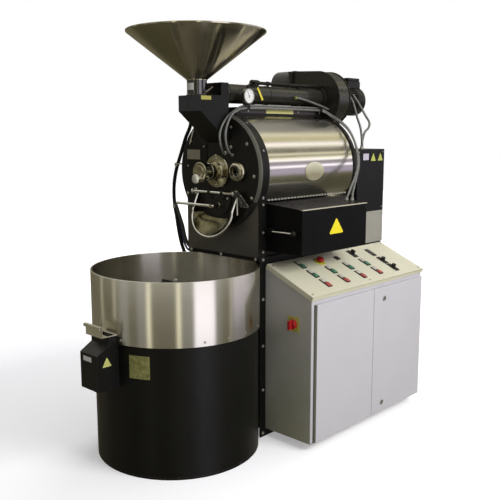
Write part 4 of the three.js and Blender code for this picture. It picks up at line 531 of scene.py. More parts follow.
for side in (-1, 1):
    inner = min(side * (head_half - cheek_sheet), side * head_half)
    post_inner, post_outer = sorted((side * (head_half - post_width), side * (head_half - cheek_sheet)))
    side_plate([[(base_front_y, 0), (base_rear_y, 0), (base_rear_y, rear_shelf_z),
        (base_step_y, rear_shelf_z), (base_step_y, head_plate_z), (base_front_y, head_plate_z)]], inner,
        cheek_sheet)
    block(post_inner, post_outer, post_front_y, post_front_y + cheek_sheet, 0, head_plate_z)
    block(post_inner, post_outer, post_back_y - cheek_sheet, post_back_y, 0, head_plate_z)
make_piece("base_cheeks", black_coat, "black_paint", "base_frame")

duct_hole = rectangle(-duct_half, duct_half, duct_bottom_z, duct_top_z)
inner_half = head_half - cheek_sheet
front_plate([rectangle(-inner_half, inner_half, 0, head_plate_z), duct_hole],
    inner_front_y + base_panel_sheet, base_panel_sheet)
front_plate([rectangle(-inner_half, inner_half, 0, rear_shelf_z),
    circle_loop(rear_port_radius, (0, rear_port_z), 48)], base_rear_y, base_panel_sheet)
block(-inner_half, inner_half, base_step_y - base_panel_sheet, base_rear_y,
    rear_shelf_z - base_panel_sheet, rear_shelf_z)
make_piece("base_panels", black_coat, "black_paint")

block(-head_half, head_half, 0.307, base_step_y, head_plate_z, head_top_z)
make_piece("head_plate", black_coat, "black_paint", bevel=0.002, segments=3)

for side in (-1, 1):
    for z in (0.02, 0.2485, 0.477, 0.715, 0.913):
        button_head((side * head_half, side_bolt_y, z), (side, 0, 0))
    for y in (0.62, 0.9):
        button_head((side * head_half, y, 0.915), (side, 0, 0))
for x in (-0.233, -0.008, 0.233):
    button_head((x, 0.307, 0.915), frontward)
for x in (-0.2, 0.2):
    for z in (0.03, 0.45, 0.87):
        button_head((x, base_rear_y, z), backward, bolt_radius * 0.8, bolt_height * 0.8)
make_piece("base_bolts", zinc_steel, "machined_steel", bevel=0.0003, segments=1)

for ring_radius in (0.02, 0.04, 0.06, 0.076):
    turned([(ring_radius - 0.0015, 0.0), (ring_radius + 0.0015, 0.0), (ring_radius + 0.0015, 0.0025),
        (ring_radius - 0.0015, 0.0025), (ring_radius - 0.0015, 0.0)],
        (0, base_rear_y - 0.0045, rear_port_z), backward, 48)
for degrees in (45, -45):
    arm = block(-0.0765, 0.0765, base_rear_y - 0.0045, base_rear_y - 0.002, -0.0015, 0.0015)
    spin(arm, degrees, "Y")
    bmesh.ops.translate(work, verts=arm, vec=(0, 0, rear_port_z))
make_piece("rear_port_guard", zinc_steel, "machined_steel", bevel=0)


# Cooling bin shell: a rolled black steel drum that stands on the floor and carries the bin. Its
# lower edge has a folded foot ring, and a square sheet duct leaves it at the back.
bin_radius = 0.402
shell_radius = 0.395
shell_wall = 0.004
bin_floor_z = 0.649
bin_top_z = 0.899
round_sides = 128

shell_profile = [(shell_radius, 0), (shell_radius, 0.01), (shell_radius - 0.001, 0.011),
    (shell_radius - 0.001, 0.0135), (shell_radius, 0.0145), (shell_radius, bin_floor_z),
    (shell_radius - shell_wall, bin_floor_z), (shell_radius - shell_wall, shell_wall)]
turned(shell_profile, (0, 0, 0), skyward, round_sides)
duct_outer = duct_half + 0.004
for x0, x1 in ((-duct_outer, -duct_half), (duct_half, duct_outer)):
    block(x0, x1, 0.384, inner_front_y, duct_bottom_z - 0.004, duct_top_z + 0.004)
for z0, z1 in ((duct_bottom_z - 0.004, duct_bottom_z), (duct_top_z, duct_top_z + 0.004)):
    block(-duct_half, duct_half, 0.384, inner_front_y, z0, z1)
shell_coat = powder_coat("bin_shell_coat", (0.0062, 0.0062, 0.0052), (0.12, 0.11, 0.09), 0.34, 520, 0.2,
    0.1)
make_piece("bin_shell_drum", shell_coat, "black_paint", "bin_shell")


# Rating plate on the shell: a blank etched brass sheet on four small rivets.
plate_turn = math.radians(-65.3)
plate_half_turn = 0.126
plate_low_z = 0.4635
plate_high_z = 0.5685
plate_columns = 10
plate_gap = 0.0003
plate_proud = 0.0012


def curved_plate(radius, thickness, turn_low, turn_high, low, high, columns, origin=(0, 0, 0)):
    """A thin plate that follows an upright round wall, between two turns about the wall's axis."""
    grid = []
    for i in range(columns + 1):
        turn_here = turn_low + (turn_high - turn_low) * i / columns
        out = Vector((math.cos(turn_here), math.sin(turn_here), 0))
        grid.append([work.verts.new(Vector(origin) + out * r + Vector((0, 0, h)))
            for r in (radius, radius + thickness) for h in (low, high)])
    for left, right in zip(grid, grid[1:]):
        for a, b in ((0, 1), (1, 3), (3, 2), (2, 0)):
            work.faces.new((left[a], left[b], right[b], right[a]))
    work.faces.new([grid[0][i] for i in (0, 1, 3, 2)])
    work.faces.new([grid[-1][i] for i in (2, 3, 1, 0)])


curved_plate(shell_radius + plate_gap, plate_proud, plate_turn - plate_half_turn,
    plate_turn + plate_half_turn, plate_low_z, plate_high_z, plate_columns)
for turn_here in (plate_turn - plate_half_turn * 0.86, plate_turn + plate_half_turn * 0.86):
    out = Vector((math.cos(turn_here), math.sin(turn_here), 0))
    for z in (plate_low_z + 0.006, plate_high_z - 0.006):
        turned([(0, 0), (0.0028, 0), (0.0022, 0.0012), (0, 0.0017)],
            out * (shell_radius + plate_gap + plate_proud * 0.5) + Vector((0, 0, z)), out, 12)
brass_sheet = mottled_steel("etched_brass_sheet", (0.165, 0.16, 0.05), (0.345, 0.34, 0.125), (55, 5, 0.7),
    (0.3, 0.7, 0.38, 0.6), (900, 2), 0.25, 0.0002, metallic=0.3, limits=(0.35, 0.65))
make_piece("rating_plate", brass_sheet, "brushed_steel", bevel=0.0002, segments=1)


# Cooling bin band: rolled stainless sheet with a rolled-in rim, brushed around, bolted to the
# shell. The bean outlet is cut low at the front, with a small welded tray under it.
band_wall = 0.004
band_bottom_z = 0.609
outlet_half = 0.056
outlet_bottom_z = 0.652
outlet_top_z = 0.705


def brushed_sheet(name, bright, dark, axis_point, axis, around, roughness, turned_share, lengthwise=1.6):
    """Steel with drawn lines, around an axis or along it, and soft handling marks."""
    fine = 900
    material, tree, shader = material_tree(name)
    shader.inputs["Metallic"].default_value = 1.0
    shader.inputs["Anisotropic"].default_value = turned_share
    place = tree.nodes.new("ShaderNodeTexCoord").outputs["Object"]
    arm = vector_node(tree, "SUBTRACT", place, axis_point)
    tangent = axis if around else vector_node(tree, "CROSS_PRODUCT", axis, arm)
    tree.links.new(vector_node(tree, "NORMALIZE", tangent), shader.inputs["Tangent"])
    x, y, z = parts_of(tree, arm)
    first, second, along = {"X": (y, z, x), "Y": (z, x, y), "Z": (x, y, z)}["XYZ"[[round(a)
        for a in axis].index(1)]]
    turn_here = math_node(tree, "ARCTAN2", second, first)
    reach = math_node(tree, "SQRT", math_node(tree, "ADD", math_node(tree, "MULTIPLY", first, first),
        math_node(tree, "MULTIPLY", second, second)))
    slow, quick, quick_scale = (turn_here, along, fine) if around else (along, turn_here, fine * 0.4)
    lines = add_node(tree, "ShaderNodeCombineXYZ", math_node(tree, "MULTIPLY", slow, lengthwise),
        math_node(tree, "MULTIPLY", quick, quick_scale), math_node(tree, "MULTIPLY", reach, fine))
    drawn = noise(tree, lines, 1.0, 4, 0.7)
    marks = noise(tree, object_place(tree, (1, 1, 1)), 7, 5, 0.6)
    tone = math_node(tree, "ADD", spread(tree, drawn, 0.25, 0.75, 0.0, 0.6),
        spread(tree, marks, 0.3, 0.7, 0.0, 0.4))
    set_value(tree, shader.inputs["Base Color"], mix_colour(tree, tone, dark, bright))
    set_value(tree, shader.inputs["Roughness"], spread(tree, math_node(tree, "ADD", drawn, marks), 0.7,
        1.3, roughness - 0.02, roughness + 0.03))
    bump(tree, shader, drawn, 0.05, 0.0002)
    return material


band_steel = brushed_sheet("brushed_bin_steel", (0.72, 0.7, 0.64), (0.62, 0.6, 0.53), (0, 0, 0), skyward,
    True, roughness=0.23, turned_share=1.0)
band_inner = bin_radius - band_wall
rim_low = bin_top_z - 0.005
turned([(band_inner, band_bottom_z), (bin_radius, band_bottom_z), (bin_radius, bin_top_z - 0.0015),
    (bin_radius - 0.0006, bin_top_z - 0.0004), (bin_radius - 0.002, bin_top_z),
    (bin_radius - 0.007, bin_top_z), (bin_radius - 0.0086, bin_top_z - 0.0006),
    (bin_radius - 0.009, bin_top_z - 0.002), (bin_radius - 0.009, rim_low),
    (bin_radius - 0.0078, rim_low), (bin_radius - 0.0074, bin_top_z - 0.003),
    (band_inner, bin_top_z - 0.003), (band_inner, band_bottom_z)], (0, 0, 0), skyward, 192)
band_piece = make_piece("bin_band_sheet", band_steel, "brushed_steel", "bin_band", bevel=0.0005)


def cut_out(piece, name):
    """Cuts the work mesh out of a piece, before the piece's edges are rounded."""
    cutter = work_object(name)
    rounded = piece.modifiers["rounded_edges"]
    kept = (rounded.width, rounded.segments, rounded.angle_limit)
    piece.modifiers.remove(rounded)
    boolean = piece.modifiers.new("cut", "BOOLEAN")
    boolean.object = cutter
    boolean.solver = "EXACT"
    depsgraph = bpy.context.evaluated_depsgraph_get()
    cut_mesh = bpy.data.meshes.new_from_object(piece.evaluated_get(depsgraph))
    piece.modifiers.remove(boolean)
    material = piece.data.materials[0]
    piece.data = cut_mesh
    cut_mesh.materials.clear()
    cut_mesh.materials.append(material)
    cut_mesh.shade_smooth()
    cut_mesh.set_sharp_from_angle(angle=kept[2])
    bpy.data.objects.remove(cutter)
    round_edges(piece, *kept)


block(-outlet_half, outlet_half, -0.43, -0.37, outlet_bottom_z, outlet_top_z)
cut_out(band_piece, "outlet_cut")

tray_half = 0.062
tray_front_y = -0.475
tray_sheet = 0.003
tray_lip_z = 0.7
chute_neck_front_y = -0.445
chute_neck_rear_y = -0.405
tray_edge = [(tray_half, tray_front_y), (-tray_half, tray_front_y)]
tray_back_turn = math.asin(tray_half / bin_radius)
tray_edge += circle_loop(bin_radius, (0, 0), 16, -math.pi / 2 - tray_back_turn,
    -math.pi / 2 + tray_back_turn)
level_plate([tray_edge, rectangle(-outlet_half, outlet_half, chute_neck_front_y + tray_sheet,
    chute_neck_rear_y)], bin_floor_z, tray_sheet)
block(-tray_half, tray_half, tray_front_y, tray_front_y + tray_sheet, bin_floor_z, tray_lip_z)
block(-tray_half, tray_half, tray_front_y - 0.011, tray_front_y, tray_lip_z - tray_sheet, tray_lip_z)
block(-tray_half, tray_half, tray_front_y - 0.011, tray_front_y - 0.008, tray_lip_z - 0.014,
    tray_lip_z - tray_sheet)
tray_steel = brushed_sheet("brushed_tray_steel", (0.8, 0.78, 0.68), (0.66, 0.64, 0.53), (0, 0, 0),
    rightward, False, roughness=0.3, turned_share=0.3)
make_piece("outlet_tray", tray_steel, "brushed_steel", bevel=0.0008)

for degrees in (-113, -78, -23, -6, 10, 29, 64, 116, 151, -161):
    out = Vector((math.cos(math.radians(degrees)), math.sin(math.radians(degrees)), 0))
    button_head(out * bin_radius + Vector((0, 0, 0.628)), out, 0.005, 0.0035)
make_piece("bin_band_bolts", zinc_steel, "machined_steel", bevel=0)


# Bin floor: a stainless disc perforated with fine round holes, resting on the shell's edge, with a
# plain rim and a plain ring around the stirrer's shaft.
floor_radius = 0.3977
perforation_pitch = 0.0055
perforated, hole_tree, hole_shader = material_tree("perforated_steel")
hole_shader.inputs["Metallic"].default_value = 1.0
hole_place = object_place(hole_tree)
hole_cells = hole_tree.nodes.new("ShaderNodeTexVoronoi")
hole_cells.inputs["Scale"].default_value = 1 / perforation_pitch
hole_cells.inputs["Randomness"].default_value = 0.0
hole_flat = vector_node(hole_tree, "MULTIPLY", hole_place, (1, 1, 0))
hole_tree.links.new(hole_flat, hole_cells.inputs["Vector"])
solid_share = spread(hole_tree, hole_cells.outputs["Distance"], 0.27, 0.33)
hole_reach = vector_node(hole_tree, "LENGTH", hole_flat)
rim_share = spread(hole_tree, hole_reach, 0.38, 0.381)
hub_share = spread(hole_tree, hole_reach, 0.046, 0.045)
solid_all = math_node(hole_tree, "MAXIMUM", solid_share,
    math_node(hole_tree, "MAXIMUM", rim_share, hub_share), clamp=True)
hole_tone = noise(hole_tree, hole_place, 12, 5, 0.65)
plain_steel = mix_colour(hole_tree, spread(hole_tree, hole_tone, 0.3, 0.7), (0.3, 0.27, 0.22),
    (0.52, 0.5, 0.45))
# The holes are painted near black: painted shade for the dark space under the floor that they open onto.
set_value(hole_tree, hole_shader.inputs["Base Color"], mix_colour(hole_tree, solid_all,
    (0.008, 0.008, 0.007), plain_steel))
set_value(hole_tree, hole_shader.inputs["Roughness"], spread(hole_tree, solid_all, 0, 1, 0.8, 0.35))
bump(hole_tree, hole_shader, solid_all, 0.5, 0.0006)
turned([(0.0145, bin_floor_z), (floor_radius, bin_floor_z), (floor_radius, 0.652), (0.0145, 0.652),
    (0.0145, bin_floor_z)], (0, 0, 0), skyward, round_sides)
make_piece("bin_floor_disc", perforated, "brushed_steel", "bin_floor", bevel=0.0004)


# Stirrer: a steel shaft from the gearbox, a cast hub with four square arms, paddles clamped to the
# arms, and a cross head with two round stays that steady two of them.
stirrer_reach = 0.368
arm_z = 0.684
paddle_low_z = 0.654
hub_radius = 0.032
cross_half = 0.096
cross_top_z = 0.822
cross_section = 0.022
stay_radius = 0.005
dark_steel = mottled_steel("used_dark_steel", (0.05, 0.047, 0.042), (0.13, 0.125, 0.115), (35, 6, 0.65),
    (0.3, 0.7, 0.32, 0.55), (300, 3), 0.25, metallic=0.85, worn=(0.42, 0.41, 0.38))


def bar(start, end, radius, sides=16):
    """A round bar between two points, with lightly chamfered ends."""
    start = Vector(start)
    axis = Vector(end) - start
    length = axis.length
    ease = min(radius * 0.12, length * 0.1)
    turned([(radius - ease, 0), (radius, ease), (radius, length - ease), (radius - ease, length)], start,
        axis, sides)


bar((0, 0, 0.586), (0, 0, cross_top_z), 0.0125, 32)
turned([(hub_radius * 1.12, 0), (hub_radius * 1.12, 0.006), (hub_radius, 0.01), (hub_radius, 0.04),
    (hub_radius * 0.8, 0.05)], (0, 0, 0.654), skyward, 48)
block(-cross_half, cross_half, -cross_section / 2, cross_section / 2, cross_top_z - cross_section,
    cross_top_z)
for quarter in range(4):
    made = block(hub_radius * 0.5, stirrer_reach, -0.007, 0.007, arm_z - 0.007, arm_z + 0.007)
    for share in (0.28, 0.78):
        middle = hub_radius + (stirrer_reach - hub_radius) * share
        paddle = block(-0.06, 0.06, -0.002, 0.002, paddle_low_z, arm_z)
        spin(paddle, 28, "Z")
        bmesh.ops.translate(work, verts=paddle, vec=(middle, 0, 0))
        made += paddle
        made += block(middle - 0.012, middle + 0.012, -0.011, 0.011, arm_z - 0.004, arm_z + 0.01)
    spin(made, quarter * 90, "Z")
for side in (-1, 1):
    bar((side * (cross_half - 0.011), 0, cross_top_z - 0.011), (side * (stirrer_reach - 0.014), 0, arm_z),
        stay_radius)
make_piece("stirrer_arms", dark_steel, "machined_steel", "stirrer", body="stirrer", bevel=0.001)

turned(disc_profile(0.0175, 0.002), (0, 0, cross_top_z), skyward, 32)
turned([(0, 0.002), (0.013, 0.002), (0.013, 0.0075), (0.011, 0.0105), (0, 0.011)], (0, 0, cross_top_z),
    skyward, 6)
make_piece("stirrer_cap_nut", zinc_steel, "machined_steel", body="stirrer", bevel=0.0006)


# Hidden drives and burner: castings, motors and gears keep their built shapes and get the paint and
# the oily steel of such parts.
casting_paint = powder_coat("cast_machine_grey", (0.09, 0.095, 0.1), (0.3, 0.29, 0.27), 0.5, 160, 0.5,
    0.3)
oily_steel = mottled_steel("oily_steel", (0.11, 0.09, 0.06), (0.42, 0.4, 0.36), (26, 6, 0.65),
    (0.3, 0.7, 0.22, 0.5), (260, 3))
sooty_steel = powder_coat("sooty_steel", (0.035, 0.03, 0.026), (0.2, 0.16, 0.12), 0.62, 220, 0.5, 0.4)
kept_nodes = {"stirrer_gearbox": casting_paint, "drive_motor": casting_paint, "gas_burner": sooty_steel,
    "burner_chamber": sooty_steel, "drum_shaft": oily_steel, "motor_sprocket": oily_steel,
    "drive_chain": oily_steel, "fan_impeller": sooty_steel}


def finish_node(node_name, finish):
    for slot_here in nodes_by_name[node_name].material_slots:
        slot_here.material = finish


for node_name, finish in kept_nodes.items():
    finish_node(node_name, finish)


# Outlet gate: a curved stainless plate with a folded pull tab, which slides up inside the band.
gate_outer = 0.3977
gate_sheet = 0.003
gate_low_z = 0.6523
gate_high_z = 0.712
gate_half_turn = math.asin(0.063 / gate_outer)
curved_plate(gate_outer - gate_sheet, gate_sheet, -math.pi / 2 - gate_half_turn,
    -math.pi / 2 + gate_half_turn, gate_low_z, gate_high_z, 18)
block(-0.014, 0.014, -gate_outer + gate_sheet * 0.5, -0.381, gate_high_z - 0.003, gate_high_z)
make_piece("outlet_gate", tray_steel, "brushed_steel", "bin_gate", body="bin_gate", bevel=0.0006)


# Outlet chute: a welded black sheet box under the tray, open below, which drops the coffee into a
# bucket. It has a plain white card on its front and a blank yellow triangle on its right side.
chute_half = 0.065
chute_sheet = 0.003
chute_front_y = -0.5064
chute_bottom_z = 0.412
chute_shoulder_z = 0.575
chute_neck_z = 0.612
chute_back_y = -0.3956
chute_side = [(chute_back_y, chute_bottom_z), (chute_front_y, chute_bottom_z),
    (chute_front_y, chute_shoulder_z), (chute_neck_front_y, chute_neck_z),
    (chute_neck_front_y, bin_floor_z), (-0.4025, bin_floor_z), (-0.4025, band_bottom_z),
    (chute_back_y, band_bottom_z)]
for x0 in (-chute_half, chute_half - chute_sheet):
    side_plate([chute_side], x0, chute_sheet)
inner_chute = chute_half - chute_sheet
slope = math.atan2(chute_neck_z - chute_shoulder_z, chute_neck_front_y - chute_front_y)
slope_drop = chute_sheet / math.cos(slope)
side_plate([[(chute_front_y, chute_bottom_z), (chute_front_y, chute_shoulder_z),
    (chute_neck_front_y, chute_neck_z), (chute_neck_front_y, bin_floor_z),
    (chute_neck_front_y + chute_sheet, bin_floor_z), (chute_neck_front_y + chute_sheet,
    chute_neck_z - slope_drop), (chute_front_y + chute_sheet, chute_shoulder_z - slope_drop),
    (chute_front_y + chute_sheet, chute_bottom_z)]], -inner_chute, inner_chute * 2)
curved_plate(bin_radius - 0.0065, 0.003, -math.pi / 2 - 0.156, -math.pi / 2 + 0.156, chute_bottom_z,
    band_bottom_z - 0.001, 12)
chute_coat = powder_coat("chute_coat", (0.0062, 0.0062, 0.006), (0.14, 0.13, 0.11), 0.3, 600, 0.2, 0.15)
make_piece("outlet_chute_box", chute_coat, "black_paint", "outlet_chute", bevel=0.0018)


def plain_card(name, colour, roughness):
    """Printed or painted sheet stock without any print: a faint fibre and fading."""
    material, tree, shader = material_tree(name)
    fibre = noise(tree, object_place(tree), 350, 4)
    fade = noise(tree, object_place(tree), 30, 4)
    share = math_node(tree, "MULTIPLY", spread(tree, fade, 0.3, 0.7), spread(tree, fibre, 0.2, 0.8))
    set_value(tree, shader.inputs["Base Color"], mix_colour(tree, share, tuple(c * 0.86
        for c in colour), colour))
    set_value(tree, shader.inputs["Roughness"], spread(tree, fade, 0.3, 0.7, roughness - 0.08,
        roughness + 0.08))
    bump(tree, shader, fibre, 0.08, 0.0002)
    return material


yellow_sheet = plain_card("yellow_warning_sheet", (0.8, 0.66, 0.012), 0.38)
white_card = plain_card("white_card", (0.7, 0.7, 0.68), 0.5)


def rounded_triangle(base, height, corner):
    """Points of an upright triangle with rounded corners, its base at the bottom."""
    tips = [Vector((-base / 2, 0)), Vector((base / 2, 0)), Vector((0, height))]
    points = []
    for i, tip in enumerate(tips):
        before = (tips[i - 1] - tip).normalized()
        after = (tips[(i + 1) % 3] - tip).normalized()
        for step in range(6):
            t = step / 5
            a = tip + before * corner * (1 - t) ** 2 + after * corner * t ** 2
            points.append(tuple(a))
    return points


def triangle_sign(name, origin, across, up, base, height, sheet_colour=yellow_sheet):
    """A bare yellow triangle of thin sheet, stuck on a panel."""
    plate([rounded_triangle(base, height, base * 0.1)], origin, across, up, 0.0006)
    make_piece(name, sheet_colour, "yellow_paint", bevel=0)


triangle_sign("chute_triangle", (chute_half + 0.0002, -0.457, 0.52), backward, skyward, 0.048, 0.044,
    plain_card("faded_yellow_sheet", (0.52, 0.53, 0.17), 0.4))
block(-0.04, 0.021, chute_front_y - 0.0006, chute_front_y - 0.0001, 0.5405, 0.5625)
make_piece("chute_card", white_card, "pale_plastic", bevel=0)


# Front arch: a rolled black rim on a cut plate, standing on the head plate. Below the face its plate
# shows as a skirt with a satin grey finish. Button head bolts hold its sides.
drum_z = 1.336
arch_radius = 0.279
arch_sheet = 0.004
arch_opening = 0.24
arch_sides = 96


def arch_loop(radius, half, bottom):
    """Outline of a round arch on straight legs, as X and Z."""
    drop = math.asin(math.sqrt(radius ** 2 - half ** 2) / radius)
    arc = circle_loop(radius, (0, drum_z), arch_sides, -drop, math.pi + drop)
    return [(half, bottom), *arc, (-half, bottom)]


arch_outer = arch_loop(arch_radius, head_half, head_top_z)
arch_inner = arch_loop(arch_radius - arch_sheet, head_half - arch_sheet, head_top_z)
front_plate([arch_outer + arch_inner[::-1]], post_back_y, 0.055)
satin_black = powder_coat("satin_black_paint", (0.008, 0.008, 0.0068), (0.13, 0.125, 0.105), 0.3, 520,
    0.12, 0.15)
make_piece("arch_rim", satin_black, "black_paint", "front_arch", bevel=0.001)
front_plate([arch_inner, circle_loop(arch_opening, (0, drum_z), 96)], 0.309, 0.0036)
skirt_paint = powder_coat("satin_grey_paint", (0.115, 0.11, 0.092), (0.3, 0.29, 0.26), 0.33, 420, 0.12,
    0.15)
shader_of(skirt_paint).inputs["Metallic"].default_value = 0.35
make_piece("front_skirt", skirt_paint, "skirt_paint", bevel=0.0006)

for side in (-1, 1):
    for z in (0.951, 1.046, 1.181, 1.215):
        button_head((side * head_half, side_bolt_y, z), (side, 0, 0), 0.0055, 0.0036)
    for degrees in (22, 58):
        out = Vector((side * math.cos(math.radians(degrees)), 0, math.sin(math.radians(degrees))))
        button_head(Vector((0, side_bolt_y, drum_z)) + out * arch_radius, out, 0.0045, 0.003)
make_piece("arch_side_bolts", zinc_steel, "machined_steel", bevel=0)


# Face disc: a thick turned plate in satin black that closes the drum's front, with a bevelled rim.
# It has openings for the bearing, the sight glass, the green coffee and the discharge door.
disc_front_y = 0.285
disc_back_y = 0.305
disc_flat_radius = 0.276
disc_radius = 0.285
centre_hole = 0.046
sight_place = (0.148, 1.34)
sight_hole = 0.026
door_hole_radius = 0.08
door_middle_z = 1.207
door_top_z = 1.212
inlet_half = 0.066
inlet_low_z = 1.486
inlet_high_z = 1.556


def d_loop(radius, middle_z, top_z, sides=48):
    """A disc cut off flat at its top."""
    cut = math.asin((top_z - middle_z) / radius)
    return circle_loop(radius, (0, middle_z), sides, math.pi - cut, math.tau + cut)


front_plate([circle_loop(disc_flat_radius, (0, drum_z), 144), circle_loop(centre_hole, (0, drum_z), 48),
    circle_loop(sight_hole, sight_place, 32), d_loop(door_hole_radius, door_middle_z, door_top_z),
    rectangle(-inlet_half, inlet_half, inlet_low_z, inlet_high_z)], disc_back_y,
    disc_back_y - disc_front_y)
face_coat = powder_coat("face_disc_paint", (0.0125, 0.0125, 0.0112), (0.2, 0.19, 0.17), 0.34, 460, 0.16,
    0.2)
make_piece("face_plate", face_coat, "black_paint", "face_disc", bevel=0.0005)


def arc_ring(profile, origin, axis, start, low, high, sides):
    """Part of a turned ring, between two turns from the start direction, with closed ends."""
    axis = Vector(axis)
    start = Vector(start)
    other = axis.cross(start)
    loops = []
    for i in range(sides + 1):
        turn_here = low + (high - low) * i / sides
        out = start * math.cos(turn_here) + other * math.sin(turn_here)
        loops.append([work.verts.new(Vector(origin) + out * r + axis * h) for r, h in profile])
    for left, right in zip(loops, loops[1:]):
        for k in range(len(profile)):
            m = (k + 1) % len(profile)
            work.faces.new((left[k], left[m], right[m], right[k]))
    work.faces.new(loops[0])
    work.faces.new(loops[-1][::-1])


# The bevelled rim is split in two. Its upper part is in the lighter satin grey, a painted highlight for
# the light that falls on the bevel, and its lower part stays in the disc's black.
rim_profile = [(disc_flat_radius + 0.0001, 0), (disc_radius, 0.009), (disc_radius, 0.02),
    (disc_flat_radius + 0.0001, 0.02)]
for rim_name, finish, slot_here, low, high in (("face_rim", skirt_paint, "skirt_paint", -0.52,
        math.pi + 0.52), ("face_rim_below", face_coat, "black_paint", math.pi + 0.52, math.tau - 0.52)):
    arc_ring(rim_profile, (0, disc_front_y, drum_z), backward, rightward, -low, -high, 96)
    make_piece(rim_name, finish, slot_here, bevel=0.0006)

cover_cut = 0.27
cover_left = -0.235
cover_right = -0.08
cover_low = 1.349
cover_high = 1.47
top_left_x = -math.sqrt(cover_cut ** 2 - (cover_high - drum_z) ** 2)
cover_loop = [(cover_right, cover_low), (cover_right, cover_high), (top_left_x, cover_high)]
arc_turn = math.atan2(cover_high - drum_z, top_left_x)
end_turn = math.atan2(math.sqrt(cover_cut ** 2 - cover_left ** 2), cover_left)
cover_loop += circle_loop(cover_cut, (0, drum_z), 8, arc_turn, end_turn)[1:] + [(cover_left, cover_low)]
front_plate([cover_loop], disc_front_y - 0.0002, 0.0036)
make_piece("face_cover_plate", satin_black, "black_paint", bevel=0.0008)
front_plate([rectangle(-0.226, -0.128, 1.391, 1.44)], disc_front_y - 0.0038, 0.001)
front_plate([rectangle(-0.222, -0.132, 1.395, 1.436), rectangle(-0.22, -0.134, 1.397, 1.434)],
    disc_front_y - 0.0048, 0.0005)
plate_steel = brushed_sheet("blank_plate_steel", (0.4, 0.39, 0.36), (0.27, 0.26, 0.24), (0, 0, 0),
    rightward, False, roughness=0.36, turned_share=0.3)
make_piece("blank_face_plate", plate_steel, "machined_steel", bevel=0.0002)

for x, z in ((0.092, 1.552), (0.091, 1.456), (0.199, 1.472), (0.245, 1.32), (-0.102, 1.456),
        (-0.2, 1.483), (0.229, 1.215), (-0.229, 1.215)):
    button_head((x, disc_front_y, z), frontward, 0.0066, 0.0046)
for x, z in ((-0.22, 1.357), (-0.088, 1.357)):
    button_head((x, disc_front_y - 0.0038, z), frontward, 0.0035, 0.0024)
make_piece("face_bolts", zinc_steel, "machined_steel", bevel=0)

# The probe gland on the face, the handle's rest pin and the door shaft's two lugs are turned and
# plated steel screwed to the disc.
polished_steel = mottled_steel("polished_steel", (0.68, 0.67, 0.62), (0.92, 0.91, 0.88), (34, 5, 0.65),
    (0.3, 0.75, 0.12, 0.24), (240, 3), 0.08, 0.0003)
gland_x = 0.06
gland_z = 1.427
pin_x = -0.178
pin_y = 0.2805
pin_z = 1.534
turned(disc_profile(0.011, 0.006), (gland_x, disc_front_y, gland_z), frontward, 6)
turned([(0.0085, 0.006), (0.0095, 0.0075), (0.0095, 0.0125), (0.0075, 0.0139)],
    (gland_x, disc_front_y, gland_z), frontward, 24)
for x0, x1 in ((-0.17, -0.162), (0.122, 0.13)):
    turned([(0.0063, 0), (0.0125, 0), (0.013, 0.0006), (0.013, x1 - x0 - 0.0006), (0.0125, x1 - x0),
        (0.0063, x1 - x0), (0.0063, 0)], (x0, 0.266, 1.231), rightward, 32)
    block(x0 + 0.0005, x1 - 0.0005, 0.2765, disc_front_y, 1.221, 1.241)
    block(x0 - 0.006, x1 + 0.006, disc_front_y - 0.0035, disc_front_y, 1.216, 1.246)
make_piece("face_fittings", polished_steel, "chrome", bevel=0.0006)
bar((pin_x, pin_y, pin_z), (-0.203, pin_y, 1.468), 0.0038, 16)
bar((pin_x, pin_y + 0.001, pin_z), (pin_x, disc_front_y, pin_z), 0.003, 12)
make_piece("face_rest_pin", polished_steel, "chrome", bevel=0)


# Rear arch: the drum's rear wall on legs, a cut plate with a rolled rim and a turned boss for the
# shaft's bearing, satin black, with bolts through its rim.
rear_bore = 0.0153
rear_outer = arch_loop(0.285, 0.263, head_top_z)
rear_inner = arch_loop(0.281, 0.259, head_top_z)
front_plate([rear_outer + rear_inner[::-1]], 1.065, 0.025)
front_plate([rear_inner, circle_loop(rear_bore, (0, drum_z), 32)], 1.0445, 0.004)
turned([(rear_bore, 0), (0.052, 0), (0.052, 0.004), (0.044, 0.007), (0.042, 0.033), (0.04, 0.0354),
    (rear_bore, 0.0354), (rear_bore, 0)], (0, 1.0446, drum_z), backward, 48)
make_piece("rear_arch_plate", satin_black, "black_paint", "rear_arch", bevel=0.0009)
for side in (-1, 1):
    for z in (0.96, 1.19):
        button_head((side * 0.263, 1.0525, z), (side, 0, 0), 0.0055, 0.0036)
    for degrees in (-6, 33, 62):
        out = Vector((side * math.cos(math.radians(degrees)), 0, math.sin(math.radians(degrees))))
        button_head(Vector((0, 1.0525, drum_z)) + out * 0.285, out, 0.005, 0.0034)
make_piece("rear_arch_bolts", zinc_steel, "machined_steel", bevel=0)


# Drum jacket: one rolled sheet of brushed stainless steel around the drum, with a bare oval plate
# on its right side and a row of bright flat studs along its lower edge.
jacket_low_z = 1.1825
jacket_front_y = 0.36
jacket_back_y = 1.04
jacket_inner = 0.275
jacket_length = jacket_back_y - jacket_front_y
jacket_drop = math.asin((drum_z - jacket_low_z) / arch_radius)
jacket_steel = brushed_sheet("brushed_jacket_steel", (0.78, 0.76, 0.7), (0.69, 0.66, 0.58),
    (0, 0, drum_z), backward, True, roughness=0.15, turned_share=1.0, lengthwise=1.2)
arc_ring([(jacket_inner, 0), (arch_radius, 0), (arch_radius, jacket_length),
    (jacket_inner, jacket_length)], (0, jacket_front_y, drum_z), backward, rightward, jacket_drop,
    -math.pi - jacket_drop, 144)
make_piece("jacket_sheet", jacket_steel, "brushed_steel", "drum_jacket", bevel=0.0004)

